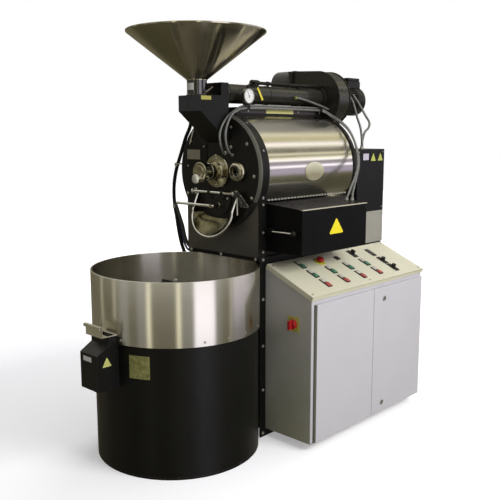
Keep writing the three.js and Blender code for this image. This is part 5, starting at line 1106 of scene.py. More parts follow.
badge_half_width = 0.075
badge_half_height = 0.047
badge_middle_y = 0.7
badge_middle_turn = -0.02
badge_rings = 6
badge_sides = 48
badge_skin = []
for lift in (0.0003, 0.0023):
    rows = []
    for ring in range(badge_rings + 1):
        share = ring / badge_rings
        row = []
        for i in range(badge_sides if ring else 1):
            a = math.tau * i / badge_sides
            rise = badge_half_height * share * math.sin(a) / arch_radius + badge_middle_turn
            height = lift + (0.0012 if lift > 0.001 and 3 < ring < 6 else 0.0)
            r = arch_radius + height
            row.append(work.verts.new((r * math.cos(rise),
                badge_middle_y + badge_half_width * share * math.cos(a), drum_z + r * math.sin(rise))))
        rows.append(row)
    for lower, upper in zip(rows, rows[1:]):
        for i in range(badge_sides):
            j = (i + 1) % badge_sides
            work.faces.new(list(dict.fromkeys([lower[i % len(lower)], upper[i], upper[j],
                lower[j % len(lower)]])))
    badge_skin.append(rows[-1])
for i in range(badge_sides):
    j = (i + 1) % badge_sides
    work.faces.new((badge_skin[0][i], badge_skin[0][j], badge_skin[1][j], badge_skin[1][i]))
badge_finish = powder_coat("blank_badge_finish", (0.6, 0.585, 0.43), (0.7, 0.68, 0.56), 0.34, 300, 0.1,
    0.0, depth=0.72)
tint_side(badge_finish, "X", 1, (0.21, 0.185, 0.105), 48, ("Z", 1.365, 1.315))
make_piece("blank_round_plate", badge_finish, "brushed_steel", bevel=0, smooth_angle=50)

stud_count = 26
for i in range(stud_count):
    middle = jacket_front_y + 0.03 + (jacket_length - 0.06) * i / (stud_count - 1)
    turn_here = math.asin((1.201 - drum_z) / arch_radius)
    out = Vector((math.cos(turn_here), 0, math.sin(turn_here)))
    up = Vector((-math.sin(turn_here), 0, math.cos(turn_here)))
    place = Vector((0, middle, drum_z)) + out * (arch_radius + 0.001)
    plate([[(0.009 * a, 0.0042 * b) for a, b in circle_loop(1, sides=12)]], place, backward, up, 0.0014)
edge_zinc = powder_coat("jacket_edge_zinc", (0.52, 0.5, 0.43), (0.6, 0.58, 0.5), 0.3, 400, 0.1, 0.05)
make_piece("jacket_edge_studs", edge_zinc, "machined_steel", bevel=0.0002)


# Crown strip: a black folded channel along the top of the jacket that carries the pipes on two
# saddles. A plain cream card and two dark ones lie along its right face.
strip_half = 0.05
strip_top_z = 1.65
saddle_places = (0.51, 0.877)
card_low_z = 1.6225
card_high_z = 1.6435
strip_turn = math.acos(strip_half / arch_radius)
strip_arc = circle_loop(arch_radius, (0, drum_z + 0.0002), 24, strip_turn, math.pi - strip_turn)
front_plate([strip_arc + [(-strip_half, strip_top_z), (strip_half, strip_top_z)]], jacket_back_y,
    jacket_length)
for middle_y in saddle_places:
    block(-0.025, 0.025, middle_y - 0.013, middle_y + 0.013, strip_top_z - 0.001, strip_top_z + 0.018)
    block(-0.036, 0.036, middle_y - 0.016, middle_y + 0.016, strip_top_z - 0.0005, strip_top_z + 0.004)
make_piece("crown_strip", satin_black, "black_paint", "jacket_top_strip", bevel=0.0012)
for middle_y in saddle_places:
    block(-0.024, 0.024, middle_y - 0.012, middle_y + 0.012, strip_top_z + 0.0175, 1.6745)
make_piece("pipe_saddles", black_coat, "black_paint", bevel=0.0015)
block(strip_half - 0.001, strip_half + 0.0006, 0.581, 0.798, card_low_z, card_high_z)
cream_card = plain_card("cream_card", (0.5, 0.47, 0.18), 0.42)
make_piece("blank_strip_card", cream_card, "cream_paint", bevel=0.0002)
for y0, y1 in ((0.392, 0.576), (0.803, 0.985)):
    block(strip_half - 0.001, strip_half + 0.0005, y0, y1, card_low_z, card_high_z)
dark_card = plain_card("dark_brown_card", (0.036, 0.028, 0.026), 0.42)
make_piece("dark_strip_cards", dark_card, "black_plastic", bevel=0.0002)
for y in (0.376, 0.45, 0.84, 1.024):
    button_head((strip_half, y, 1.633), rightward, 0.0036, 0.0026)
    button_head((-strip_half, y, 1.633), leftward, 0.0036, 0.0026)
make_piece("crown_strip_screws", zinc_steel, "machined_steel", bevel=0)


# Burner box: a black sheet box on the right side below the drum. The outer edge of the lid on it is
# worn bright, and its air lever comes out at the front.
burner_inner_x = 0.2333
burner_wall_x = 0.242
burner_outer_x = 0.48
burner_front_y = 0.362
burner_back_y = 0.88
burner_low_z = 0.953
burner_high_z = 1.186
burner_edge_z = 1.166
burner_sheet = 0.003
lid_reach_x = 0.483
burner_side = [(burner_wall_x, burner_low_z), (burner_outer_x, burner_low_z),
    (burner_outer_x, burner_edge_z), (burner_wall_x, 1.1852)]
air_x = 0.298
air_z = 1.057
air_lever_y = 0.343
air_slot = circle_loop(0.0155, (air_x, air_z), 40)
front_plate([burner_side, air_slot], burner_front_y + burner_sheet, burner_sheet)
front_plate([burner_side], burner_back_y, burner_sheet)
block(burner_outer_x - burner_sheet, burner_outer_x, burner_front_y + burner_sheet,
    burner_back_y - burner_sheet, burner_low_z, burner_edge_z)
block(burner_wall_x, burner_outer_x - burner_sheet, burner_front_y + burner_sheet,
    burner_back_y - burner_sheet, burner_low_z, burner_low_z + burner_sheet)
deep_black = powder_coat("burner_box_paint", (0.0042, 0.0042, 0.0046), (0.1, 0.095, 0.085), 0.44, 620,
    0.2, 0.05)
make_piece("burner_box_shell", deep_black, "black_paint", "burner_box", bevel=0.0009)
lid_slope = (burner_high_z - burner_edge_z) / (burner_outer_x - burner_inner_x)


def lid_top(x):
    return burner_high_z + 0.0032 - lid_slope * (x - burner_inner_x)


lid_loop = [(burner_wall_x, lid_top(burner_wall_x) - 0.003), (lid_reach_x - 0.0026,
    lid_top(lid_reach_x) - 0.003), (lid_reach_x - 0.0026, lid_top(lid_reach_x) - 0.012),
    (lid_reach_x, lid_top(lid_reach_x) - 0.012), (lid_reach_x, lid_top(lid_reach_x)),
    (burner_wall_x, lid_top(burner_wall_x))]
front_plate([lid_loop], 0.88, 0.5195)
lid_black = powder_coat("burner_lid_paint", (0.0046, 0.0046, 0.0047), (0.1, 0.095, 0.085), 0.3, 560, 0.14,
    0.05)
make_piece("burner_lid_sheet", lid_black, "black_paint", "burner_box_lid", bevel=0.0008)
block(lid_reach_x - 0.013, lid_reach_x + 0.0002, 0.3605, 0.88, lid_top(lid_reach_x) - 0.003,
    lid_top(lid_reach_x) + 0.0012)
worn_edge = powder_coat("worn_lid_edge", (0.44, 0.41, 0.31), (0.6, 0.57, 0.48), 0.34, 300, 0.5, 0.1)
make_piece("burner_lid_worn_lip", worn_edge, "machined_steel", bevel=0.0003)
triangle_sign("burner_triangle", (burner_outer_x + 0.0002, 0.625, 1.036), backward, skyward, 0.116, 0.078)
for y, z in ((0.372, 0.966), (0.372, 1.15), (0.87, 0.966), (0.87, 1.148)):
    button_head((burner_outer_x, y, z), rightward, 0.0035, 0.0022)
make_piece("burner_box_screws", black_coat, "black_paint", bevel=0)

bar((air_x, air_lever_y, air_z), (0.432, air_lever_y, air_z), 0.005, 20)
block(air_x - 0.0195, air_x + 0.0195, 0.371, 0.431, air_z - 0.001, air_z + 0.001)
bar((air_x, 0.361, air_z), (air_x, 0.4305, air_z), 0.004, 16)
make_piece("air_lever_rod", polished_steel, "chrome", "air_lever", body="air_lever", bevel=0.0006)
turned([(0.0052, -0.0115), (0.008, -0.0112), (0.0115, -0.0085), (0.013, -0.003), (0.013, 0.003),
    (0.0115, 0.0085), (0.008, 0.0112), (0, 0.0125)], (0.443, air_lever_y, air_z), rightward, 32)
bakelite = powder_coat("black_bakelite", (0.012, 0.0115, 0.0105), (0.05, 0.048, 0.045), 0.22, 260, 0.08,
    0.2)
make_piece("air_lever_knob", bakelite, "black_plastic", body="air_lever", bevel=0)
turned([(0.0145, 0), (0.0145, 0.012), (0.0125, 0.014), (0.0125, 0.0237)], (air_x, 0.338, air_z), backward,
    40)
make_piece("air_lever_hub", deep_black, "black_paint", body="air_lever", bevel=0.0006)


# Drive housing: a tall sheet cabinet behind the head, black above and grey below, which holds the
# motor and the chain. It has louvres at the back, and a bare card and two triangles near its top.
drive_half = 0.265
drive_front_y = 1.095
drive_top_z = 1.43
drive_step_z = 1.08
drive_wall = 0.003
louvre_half = 0.11
drive_inner = drive_half - drive_wall
for side in (-1, 1):
    x0, x1 = sorted((side * drive_half, side * drive_inner))
    block(x0, x1, drive_front_y, base_rear_y, drive_step_z, drive_top_z)
block(-drive_inner, drive_inner, drive_front_y, base_rear_y, drive_top_z - drive_wall, drive_top_z)
louvres = [rectangle(-louvre_half, louvre_half, 0.96 + 0.026 * i, 0.968 + 0.026 * i) for i in range(5)]
front_plate([rectangle(-drive_inner, drive_inner, drive_step_z, drive_top_z - drive_wall)], base_rear_y,
    drive_wall)
front_plate([rectangle(-drive_inner, drive_inner, drive_step_z, drive_top_z - drive_wall),
    circle_loop(0.0318, (0, drum_z), 32)], drive_front_y + drive_wall, drive_wall)
make_piece("drive_housing_hood", black_coat, "black_paint", "drive_housing", bevel=0.0015)
grey_paint = powder_coat("warm_grey_paint", (0.27, 0.262, 0.225), (0.34, 0.33, 0.31), 0.42, 520, 0.2,
    0.15, depth=0.92)
for side in (-1, 1):
    x0, x1 = sorted((side * drive_half, side * drive_inner))
    block(x0, x1, drive_front_y, base_rear_y, rear_shelf_z, drive_step_z - 0.0004)
front_plate([rectangle(-drive_inner, drive_inner, rear_shelf_z, drive_step_z - 0.0004), *louvres],
    base_rear_y, drive_wall)
make_piece("drive_housing_base", grey_paint, "grey_paint", bevel=0.0012)
for i in range(5):
    z = 0.96 + 0.026 * i
    blade = block(-louvre_half, louvre_half, base_rear_y - 0.012, base_rear_y - 0.0008, z + 0.007,
        z + 0.0082)
    spin(blade, -28, "X", (0, base_rear_y - 0.001, z + 0.0082))
make_piece("drive_housing_louvres", grey_paint, "grey_paint", bevel=0.0003)
block(drive_half + 0.0001, drive_half + 0.0006, 1.15, 1.203, 1.372, 1.408)
lilac_card = plain_card("lilac_card", (0.5, 0.45, 0.54), 0.45)
make_piece("blank_housing_card", lilac_card, "pale_plastic", bevel=0.0001)
housing_yellow = plain_card("housing_yellow_card", (0.43, 0.46, 0.085), 0.42)
for i, y in enumerate((1.248, 1.318)):
    triangle_sign(f"housing_triangle_{i}", (drive_half + 0.0002, y, 1.366), backward, skyward, 0.05,
        0.045, housing_yellow)
for side in (-1, 1):
    for y in (1.112, 1.344):
        for z in (1.1, 1.416, 1.06, 0.912):
            button_head((side * drive_half, y, z), (side, 0, 0), 0.0036, 0.0026)
make_piece("drive_housing_screws", zinc_steel, "machined_steel", bevel=0)
turned([(0.012, 0), (0.0135, 0.0015), (0.0135, 0.011), (0.0105, 0.0145)], (head_half, 1.264, 0.88),
    rightward, 24)
make_piece("housing_foot", bakelite, "black_plastic", bevel=0)


# Exhaust group: a pipe along the machine, a sheet scroll with flanged edges and an outlet pipe, and
# a finned motor with a terminal box. All are black and screwed together.
pipe_z = 1.716
pipe_radius = 0.0475
pipe_bore = 0.0445
scroll_z = 1.709
scroll_radius = 0.158
scroll_front_y = 1.065
scroll_back_y = 1.17
outlet_x = -0.184
outlet_pipe_place = (-0.1915, 1.1175, 1.801)
turned([(pipe_bore, 0), (pipe_radius, 0), (pipe_radius, 0.772), (0.062, 0.772), (0.062, 0.7797),
    (pipe_bore, 0.7797), (pipe_bore, 0)], (0, disc_front_y + 0.0003, pipe_z), backward, 64)
for y in (0.33, 0.625, 0.99):
    turned([(pipe_radius - 0.0002, 0), (pipe_radius + 0.002, 0.0005), (pipe_radius + 0.002, 0.0155),
        (pipe_radius - 0.0002, 0.016), (pipe_radius - 0.0002, 0)], (0, y, pipe_z), backward, 64)
duct_coat = powder_coat("duct_paint", (0.0195, 0.0188, 0.0138), (0.034, 0.033, 0.028), 0.24, 420, 0.02,
    0.15, gloss=0.5)
make_piece("exhaust_duct", duct_coat, "black_paint", "exhaust_pipe", bevel=0.0008)


def scroll_loop(radius, grow):
    """Outline of the fan's case: round, with a square outlet to the left at its top."""
    low_turn = math.pi - math.asin((1.722 - grow - scroll_z) / radius)
    arc = circle_loop(radius, (0, scroll_z), 60, math.pi / 2, low_turn - math.tau)
    return [(outlet_x, 1.722 - grow), (outlet_x, 1.876 + grow), *arc]


front_plate([scroll_loop(scroll_radius - 0.005, -0.004)], scroll_back_y - 0.0035,
    scroll_back_y - scroll_front_y - 0.007)
for y in (scroll_front_y + 0.0035, scroll_back_y):
    front_plate([scroll_loop(scroll_radius, 0.0)], y, 0.0034)
turned(ring_profile(0.05, 0.064, 0.003), (0, scroll_front_y - 0.003, pipe_z), backward, 48)
block(-0.1919, outlet_x, 1.04, 1.193, 1.724, 1.872)
turned([(0.0765, 0), (0.08, 0), (0.08, 0.136), (0.0785, 0.1378), (0.0765, 0.1378), (0.0765, 0)],
    outlet_pipe_place, leftward, 64)
turned([(0.0798, 0.012), (0.0815, 0.0125), (0.0815, 0.0265), (0.0798, 0.027), (0.0798, 0.012)],
    outlet_pipe_place, leftward, 64)
make_piece("fan_scroll_case", duct_coat, "black_paint", "fan_scroll", bevel=0.0009)
for i in range(12):
    a = math.radians(15 + 21 * i)
    for y, way in ((scroll_front_y, frontward), (scroll_back_y, backward)):
        button_head((0.15 * math.sin(a), y, scroll_z + 0.15 * math.cos(a)), way, 0.0032, 0.0024)
for y in (1.041, 1.194):
    for z in (1.731, 1.865):
        button_head((-0.1919, y, z), leftward, 0.0045, 0.0032)
make_piece("fan_scroll_bolts", duct_coat, "black_paint", bevel=0)

motor_radius = 0.085
motor_front_y = 1.1703
motor_end_y = 1.43
fins = 40
fin_loop = []
for i in range(fins):
    for share, r in ((-0.26, 0.0745), (-0.24, 0.0822), (0.16, 0.0822), (0.18, 0.0745)):
        a = math.tau * (i + share) / fins
        fin_loop.append((r * math.cos(a), scroll_z + r * math.sin(a)))
front_plate([fin_loop], 1.352, 0.15)
turned([(motor_radius, 0), (motor_radius, 0.008), (0.083, 0.011), (0.08, 0.026), (0.078, 0.033)],
    (0, motor_front_y, scroll_z), backward, 72)
turned([(0.083, 0), (0.0845, 0.002), (motor_radius, 0.006), (motor_radius, 0.062), (0.083, 0.073),
    (0.078, 0.0785), (0.05, 0.0805), (0.048, 0.0785)], (0, motor_end_y - 0.0806, scroll_z), backward, 72)
block(-0.042, 0.042, motor_front_y, 1.29, 1.612, 1.622)
for x in (-0.034, 0.034):
    block(x - 0.006, x + 0.006, 1.182, 1.284, 1.62, 1.65)
make_piece("fan_motor_frame", satin_black, "black_paint", "fan_motor", bevel=0.0007)
block(-0.05, 0.05, 1.29, 1.41, 1.778, 1.822)
block(-0.047, 0.047, 1.293, 1.407, 1.8225, 1.84)
make_piece("fan_terminal_box", satin_black, "black_paint", bevel=0.004, segments=3)


# Small pipe over the exhaust: it feeds a dial gauge and carries a valve with a flat yellow lever.
# The pipe is painted steel, the gauge has a white dial in a plated case.
small_pipe_x = 0.02
small_pipe_z = 1.7752
dial_y = 0.396
dial_z = 1.702


def tube(points, radius, sides=16):
    """A round bar or hose along a list of points, with rings that keep their turn."""
    points = [Vector(p) for p in points]
    ring_before = None
    side = None
    for i, point in enumerate(points):
        ahead = points[min(i + 1, len(points) - 1)] - points[max(i - 1, 0)]
        ahead.normalize()
        side = ahead.orthogonal().normalized() if side is None else (side - ahead
            * side.dot(ahead)).normalized()
        other = ahead.cross(side)
        ring = [work.verts.new(point + (side * math.cos(math.tau * k / sides) + other
            * math.sin(math.tau * k / sides)) * radius) for k in range(sides)]
        if ring_before:
            for k in range(sides):
                m = (k + 1) % sides
                work.faces.new((ring_before[k], ring_before[m], ring[m], ring[k]))
        else:
            work.faces.new(ring[::-1])
        ring_before = ring
    work.faces.new(ring_before)


def rounded_path(points, radius, steps=6):
    """The same path with its corners turned into arcs."""
    points = [Vector(p) for p in points]
    path = [points[0]]
    for before, corner, after in zip(points, points[1:], points[2:]):
        back = (before - corner)
        ahead = (after - corner)
        cut = min(radius, back.length * 0.45, ahead.length * 0.45)
        start = corner + back.normalized() * cut
        end = corner + ahead.normalized() * cut
        path += [start * (1 - t) ** 2 + corner * 2 * t * (1 - t) + end * t ** 2 for t in (k / steps
            for k in range(steps + 1))]
    return path + [points[-1]]


tube([(small_pipe_x, 0.5, small_pipe_z), (small_pipe_x, 1.0647, small_pipe_z)], 0.0088, 24)
tube(rounded_path([(small_pipe_x, 0.506, small_pipe_z - 0.004), (0.062, 0.448, 1.762),
    (0.0965, 0.3965, 1.75), (0.0965, 0.3965, 1.735)], 0.01), 0.0056, 20)
for y in (0.62, 0.78, 1.04):
    turned(ring_profile(0.0085, 0.0125, 0.014), (small_pipe_x, y, small_pipe_z), backward, 6)
turned([(0.013, 0), (0.015, 0.004), (0.015, 0.052), (0.013, 0.056)], (small_pipe_x, 0.5, small_pipe_z),
    backward, 8)
turned(disc_profile(0.0058, 0.0286), (small_pipe_x, 0.5, small_pipe_z), rightward, 20)
for y in saddle_places:
    block(-0.0125, 0.0275, y - 0.009, y + 0.009, 1.7575, 1.7665)
make_piece("gauge_pipe", satin_black, "black_paint", "gauge_pipework", bevel=0.0006)
turned([(0.034, 0), (0.0365, 0.002), (0.0368, 0.018), (0.0378, 0.0185), (0.0378, 0.0245),
    (0.0362, 0.0258), (0.0335, 0.0258), (0.033, 0.0225)], (0.084, dial_y, dial_z), rightward, 64)
bar((0.0965, 0.3965, 1.738), (0.0965, 0.3965, 1.7385), 0.01, 6)
make_piece("gauge_case", plate_steel, "machined_steel", bevel=0.0004)
turned(disc_profile(0.0328, 0.0012), (0.1066, dial_y, dial_z), rightward, 64)
make_piece("gauge_dial", white_card, "pale_plastic", bevel=0)


def dial_shape(degrees, points):
    """A shape on the dial, from its places along and across a ray."""
    a = math.radians(degrees)
    return [(dial_y + r * math.cos(a) - w * math.sin(a), dial_z + r * math.sin(a) + w * math.cos(a))
        for r, w in points]


for i in range(25):
    start = 0.0268 if i % 4 else 0.024
    side_plate([dial_shape(225 - 270 * i / 24, rectangle(start, 0.03, -0.0004, 0.0004))], 0.1078, 0.0002)
side_plate([dial_shape(118, ((-0.01, -0.0014), (0.027, -0.0005), (0.027, 0.0005), (-0.01, 0.0014)))],
    0.1079, 0.0007)
turned(disc_profile(0.003, 0.0012), (0.1078, dial_y, dial_z), rightward, 20)
make_piece("gauge_marks_and_needle", bakelite, "black_plastic", bevel=0)

lever_start = Vector((0.0, 0.5, small_pipe_z))
lever_end = Vector((0.0, 0.552, 1.692))
lever_way = (lever_end - lever_start).normalized()
lever_side = Vector((0, -lever_way.z, lever_way.y))
lever_widths = ((0.3, 0.005), (0.45, 0.0056), (0.62, 0.0064), (0.98, 0.0068))


def lever_point(share, half):
    """A point of the lever's outline, as a share of its length and a distance from its middle line."""
    return lever_start + (lever_end - lever_start) * share + lever_side * half


lever_outline = [lever_point(share, half) for share, half in lever_widths]
lever_outline += [lever_end + lever_way * 0.0045 * math.cos(a) + lever_side * 0.0063 * math.sin(a)
    for a in (math.pi / 2 - math.pi * i / 8 for i in range(1, 8))]
lever_outline += [lever_point(share, -half) for share, half in reversed(lever_widths)]
side_plate([[(v.y, v.z) for v in lever_outline]], 0.0493, 0.0032)
lever_yellow = powder_coat("yellow_lever_paint", (0.62, 0.53, 0.045), (0.35, 0.33, 0.28), 0.32, 300, 0.1,
    0.1)
make_piece("valve_lever_blade", lever_yellow, "yellow_paint", "valve_lever", body="valve_lever",
    bevel=0.0005)
shank = [lever_point(*corner) for corner in ((-0.08, 0.0055), (0.31, 0.0045), (0.31, -0.0045),
    (-0.08, -0.0055))]
side_plate([[(v.y, v.z) for v in shank]], 0.0494, 0.0028)
turned(disc_profile(0.0042, 0.0006), (0.0522, 0.5, small_pipe_z), rightward, 6)
make_piece("valve_lever_shank", satin_black, "black_paint", body="valve_lever", bevel=0.0005)


# Hopper: a welded black sheet box on the disc that leads the green coffee into the drum, with a
# short round neck on top. Blank cards are stuck to its right side and to the neck.
hopper_half = 0.078
hopper_wall = 0.004
hopper_axis_y = 0.15
hopper_top_z = 1.7
neck_outer = 0.0475
neck_inner = 0.0435
neck_top_z = 1.77


def inset_loop(points, distance):
    """The outline moved inward by one distance, for a sheet's inner face."""
    moved = []
    area = sum(a[0] * b[1] - b[0] * a[1] for a, b in zip(points, points[1:] + points[:1]))
    way = 1 if area > 0 else -1
    for i, here in enumerate(points):
        before = Vector(points[i - 1])
        point = Vector(here)
        after = Vector(points[(i + 1) % len(points)])
        first = (point - before).normalized()
        second = (after - point).normalized()
        normal_one = Vector((-first.y, first.x)) * way
        normal_two = Vector((-second.y, second.x)) * way
        both = (normal_one + normal_two)
        moved.append(tuple(point + both * (distance / max(0.2, both.dot(normal_one)))))
    return moved


hopper_side = [(0.1, 1.626), (0.2843, 1.476), (0.2843, 1.762), (0.235, 1.762), (0.235, hopper_top_z),
    (0.1, hopper_top_z)]
for x0 in (-hopper_half, hopper_half - hopper_wall):
    side_plate([hopper_side], x0, hopper_wall)
side_plate([hopper_side, inset_loop(hopper_side, hopper_wall)], -hopper_half + hopper_wall,
    2 * (hopper_half - hopper_wall))
hopper_coat = powder_coat("hopper_paint", (0.0085, 0.0088, 0.0085), (0.15, 0.14, 0.12), 0.32, 520, 0.14,
    0.12)
tint_side(hopper_coat, "Y", -1, (0.078, 0.088, 0.1), 26, ("Y", 0.11, 0.095))
hopper_piece = make_piece("hopper_sheet_box", hopper_coat, "black_paint", "hopper_box", bevel=0.0009)
turned(disc_profile(neck_inner, 0.02), (0, hopper_axis_y, 1.69), skyward, 64)
block(-inlet_half, inlet_half, 0.275, 0.29, inlet_low_z, inlet_high_z)
cut_out(hopper_piece, "hopper_openings")
turned(ring_profile(neck_inner, neck_outer, 0.07), (0, hopper_axis_y, hopper_top_z), skyward, 64)
turned([(neck_outer - 0.0004, 0), (neck_outer + 0.004, 0), (neck_outer + 0.004, 0.003),
    (neck_outer - 0.0004, 0.006), (neck_outer - 0.0004, 0)], (0, hopper_axis_y, hopper_top_z), skyward,
    64)
neck_gloss = powder_coat("neck_gloss_paint", (0.006, 0.006, 0.0062), (0.1, 0.095, 0.085), 0.15, 520, 0.02,
    0.05, gloss=1.0)
shader_of(neck_gloss).inputs["IOR"].default_value = 1.62
neck_piece = make_piece("hopper_neck", neck_gloss, "black_paint", bevel=0.0007)
bar((-0.06, hopper_axis_y, 1.714), (0.06, hopper_axis_y, 1.714), 0.0056, 20)
cut_out(neck_piece, "neck_shaft_holes")
curved_plate(neck_outer + 0.0001, 0.0005, math.radians(-118), math.radians(-61), 1.724, 1.756, 12,
    (0, hopper_axis_y, 0))
make_piece("blank_neck_card", white_card, "pale_plastic", bevel=0.0001)
block(hopper_half + 0.0001, hopper_half + 0.0006, 0.104, 0.168, 1.678, 1.696)
hopper_card_yellow = plain_card("faded_yellow_card", (0.36, 0.33, 0.07), 0.42)
make_piece("blank_hopper_card", hopper_card_yellow, "yellow_paint", bevel=0.0001)

finish_node("feed_flap", oily_steel)


# Funnel: a spun stainless cone with a short upright lip and a rolled bead, seated on the neck with
# a small collar. The spinning leaves fine rings, so it mirrors the room in long rays.
funnel_radius = 0.33
funnel_top_z = 1.995
funnel_steel = brushed_sheet("spun_funnel_steel", (0.6, 0.57, 0.45), (0.45, 0.42, 0.31),
    (0, hopper_axis_y, 0), skyward, True, roughness=0.15, turned_share=1.0, lengthwise=1.4)
turned([(0.0437, neck_top_z + 0.0003), (0.0505, neck_top_z + 0.0003), (0.0505, 1.773), (0.164, 1.8601),
    (0.277, 1.9468), (0.3276, 1.9857), (0.3296, 1.988), (0.3298, 1.991), (funnel_radius, 1.992),
    (0.3296, 1.9942), (0.328, funnel_top_z), (0.3262, 1.9942), (0.3262, 1.9893), (0.325, 1.9871),
    (0.2755, 1.9492), (0.1625, 1.8624), (0.047, 1.7738), (0.0437, 1.7712), (0.0437, neck_top_z + 0.0003)],
    (0, hopper_axis_y, 0), skyward, 160)
make_piece("funnel_cone", funnel_steel, "brushed_steel", "hopper_funnel", bevel=0.0003, smooth_angle=28)


# Front bearing housing: a turned steel casting on the disc's centre, in three steps, with a bore for
# the trier below the shaft's collar. It is polished and a little browned by heat.
bearing_steel = mottled_steel("heat_tinted_steel", (0.24, 0.22, 0.13), (0.62, 0.59, 0.47), (17, 5, 0.6),
    (0.3, 0.7, 0.08, 0.18), (90, 4, 0.6), 0.1, limits=(0.35, 0.65), grain_rough=True)
bearing_profile = [(0.03, 0), (0.0315, 0.0012), (0.0315, 0.004), (0.0455, 0.004), (0.0485, 0.0065),
    (0.0485, 0.0145), (0.046, 0.017), (0.0425, 0.019), (0.0425, 0.052), (0.0405, 0.054), (0.0405, 0.06),
    (0.0425, 0.062), (0.0425, 0.112), (0.046, 0.1165), (0.056, 0.118), (0.079, 0.1182), (0.082, 0.121),
    (0.082, 0.1318)]
turned(bearing_profile, (0, 0.1531, drum_z), backward, 96)
bearing_piece = make_piece("bearing_housing", bearing_steel, "chrome", "front_bearing_housing",
    bevel=0.0005)
trier_z = 1.305
bar((0, 0.12, trier_z), (0, 0.3, trier_z), 0.0124, 40)
cut_out(bearing_piece, "trier_bore")
for i in range(6):
    a = math.radians(30 + 60 * i)
    place = (0.066 * math.cos(a), 0.2713, drum_z + 0.066 * math.sin(a))
    turned([(0.0062, 0), (0.0062, 0.004), (0.0054, 0.0048)], place, frontward, 6)
make_piece("bearing_bolts", zinc_steel, "machined_steel", bevel=0.0003)


# Trier: a steel tube with a scoop cut in its top half that samples beans from the drum, and a
# pale turned handle in front of the bearing.
tube_outer = 0.0119
tube_inner = 0.0098
turned(disc_profile(tube_outer, 0.1895), (0, 0.13, trier_z), backward, 40)
arc_ring([(tube_inner, 0), (tube_outer, 0), (tube_outer, 0.0975), (tube_inner, 0.0975)],
    (0, 0.3195, trier_z), backward, rightward, 0.0, math.pi, 24)
turned([(tube_outer, 0), (tube_outer, 0.01), (0.0098, 0.0129)], (0, 0.417, trier_z), backward, 40)
make_piece("trier_tube", polished_steel, "chrome", "trier", body="trier", bevel=0.0003)
turned([(0, 0), (0.01, 0.0002), (0.0185, 0.0028), (0.024, 0.0085), (0.0249, 0.014), (0.0236, 0.0195),
    (0.019, 0.024), (0.015, 0.0262), (0.0135, 0.0278), (0, 0.0278)], (0, 0.118, trier_z), backward, 48)
bmesh.ops.scale(work, vec=(0.86, 0.72, 0.92), space=Matrix.Translation((0, -0.1318, -trier_z)),
    verts=work.verts)
pale_handle = powder_coat("pale_turned_handle", (0.6, 0.59, 0.5), (0.5, 0.48, 0.44), 0.28, 240, 0.06, 0.1)
make_piece("trier_handle", pale_handle, "pale_plastic", body="trier", bevel=0, smooth_angle=60)


# Sight glass: a deep plated ring screwed to the disc, with thick round glass held inside it.
turned([(0.0302, 0), (0.031, 0), (0.035, 0.0012), (0.043, 0.006), (0.048, 0.012), (0.0498, 0.02),
    (0.0498, 0.0347), (0.0263, 0.0347), (0.0263, 0.0186), (0.0302, 0.0186), (0.0302, 0)],
    (sight_place[0], 0.2502, sight_place[1]), backward, 80)
make_piece("sight_ring", bearing_steel, "chrome", "sight_glass_ring", bevel=0.0004)
for i in range(4):
    a = math.radians(45 + 90 * i)
    button_head((sight_place[0] + 0.0405 * math.cos(a), 0.2556, sight_place[1] + 0.0405 * math.sin(a)),
        (0.35 * math.cos(a), -1, 0.35 * math.sin(a)), 0.0024, 0.0018)
make_piece("sight_ring_screws", zinc_steel, "machined_steel", bevel=0)
glass, glass_tree, glass_shader = material_tree("smoked_sight_glass")
glass_shader.inputs["Transmission Weight"].default_value = 1.0
glass_shader.inputs["IOR"].default_value = 1.47
glass_film = noise(glass_tree, object_place(glass_tree), 38, 5, 0.65)
set_value(glass_tree, glass_shader.inputs["Base Color"], mix_colour(glass_tree,
    spread(glass_tree, glass_film, 0.3, 0.7), (0.42, 0.38, 0.28), (0.8, 0.78, 0.7)))
set_value(glass_tree, glass_shader.inputs["Roughness"], spread(glass_tree, glass_film, 0.4, 0.75, 0.02,
    0.16))
turned([(0.0292, 0), (0.0299, 0.0007), (0.0299, 0.0053), (0.0292, 0.006)],
    (sight_place[0], 0.2616, sight_place[1]), backward, 64)
make_piece("sight_glass_disc", glass, "glass", "sight_glass", bevel=0)


# Discharge door: a flat black D of plate on two straps from a turned shaft, a round handle bar
# through a boss, and a crank of bare plate with a short weight rod at its right.
door_z = 1.231
door_y = 0.266
front_plate([d_loop(0.0918, door_middle_z, 1.2218, 64)], 0.2846, 0.0058)
front_plate([d_loop(0.074, door_middle_z, 1.21, 64), d_loop(0.07, door_middle_z, 1.207, 64)], 0.2789,
    0.0012)
for x in (-0.046, 0.046):
    block(x - 0.0078, x + 0.0078, 0.2728, 0.28, 1.196, door_z)
    turned(ring_profile(0.0055, 0.01, 0.0156), (x - 0.0078, door_y, door_z), rightward, 32)
door_coat = powder_coat("door_paint", (0.02, 0.02, 0.0185), (0.2, 0.19, 0.17), 0.31, 380, 0.18, 0.2)
make_piece("discharge_door_plate", door_coat, "black_paint", "discharge_door", body="discharge_door",
    bevel=0.001)
bar((-0.1738, door_y, door_z), (0.1478, door_y, door_z), 0.0068, 32)
for x in (-0.16, 0.12):
    turned(ring_profile(0.0058, 0.0088, 0.0012), (x, door_y, door_z), rightward, 24)
handle_y = 0.226
handle_z = 1.168
bar((-0.25, handle_y, handle_z), (0.03, handle_y, handle_z), 0.007, 28)
make_piece("door_shaft_and_handle", polished_steel, "chrome", body="discharge_door", bevel=0.0003)
turned([(0.012, 0), (0.012, 0.004), (0.0092, 0.0062), (0.0092, 0.044), (0.01, 0.046), (0.01, 0.0602)],
    (0.01, 0.279, handle_z), frontward, 32)
make_piece("handle_boss", bearing_steel, "chrome", body="discharge_door", bevel=0.0005)
for x in (-0.046, 0.046):
    button_head((x, 0.2728, 1.206), frontward, 0.0038, 0.0028)
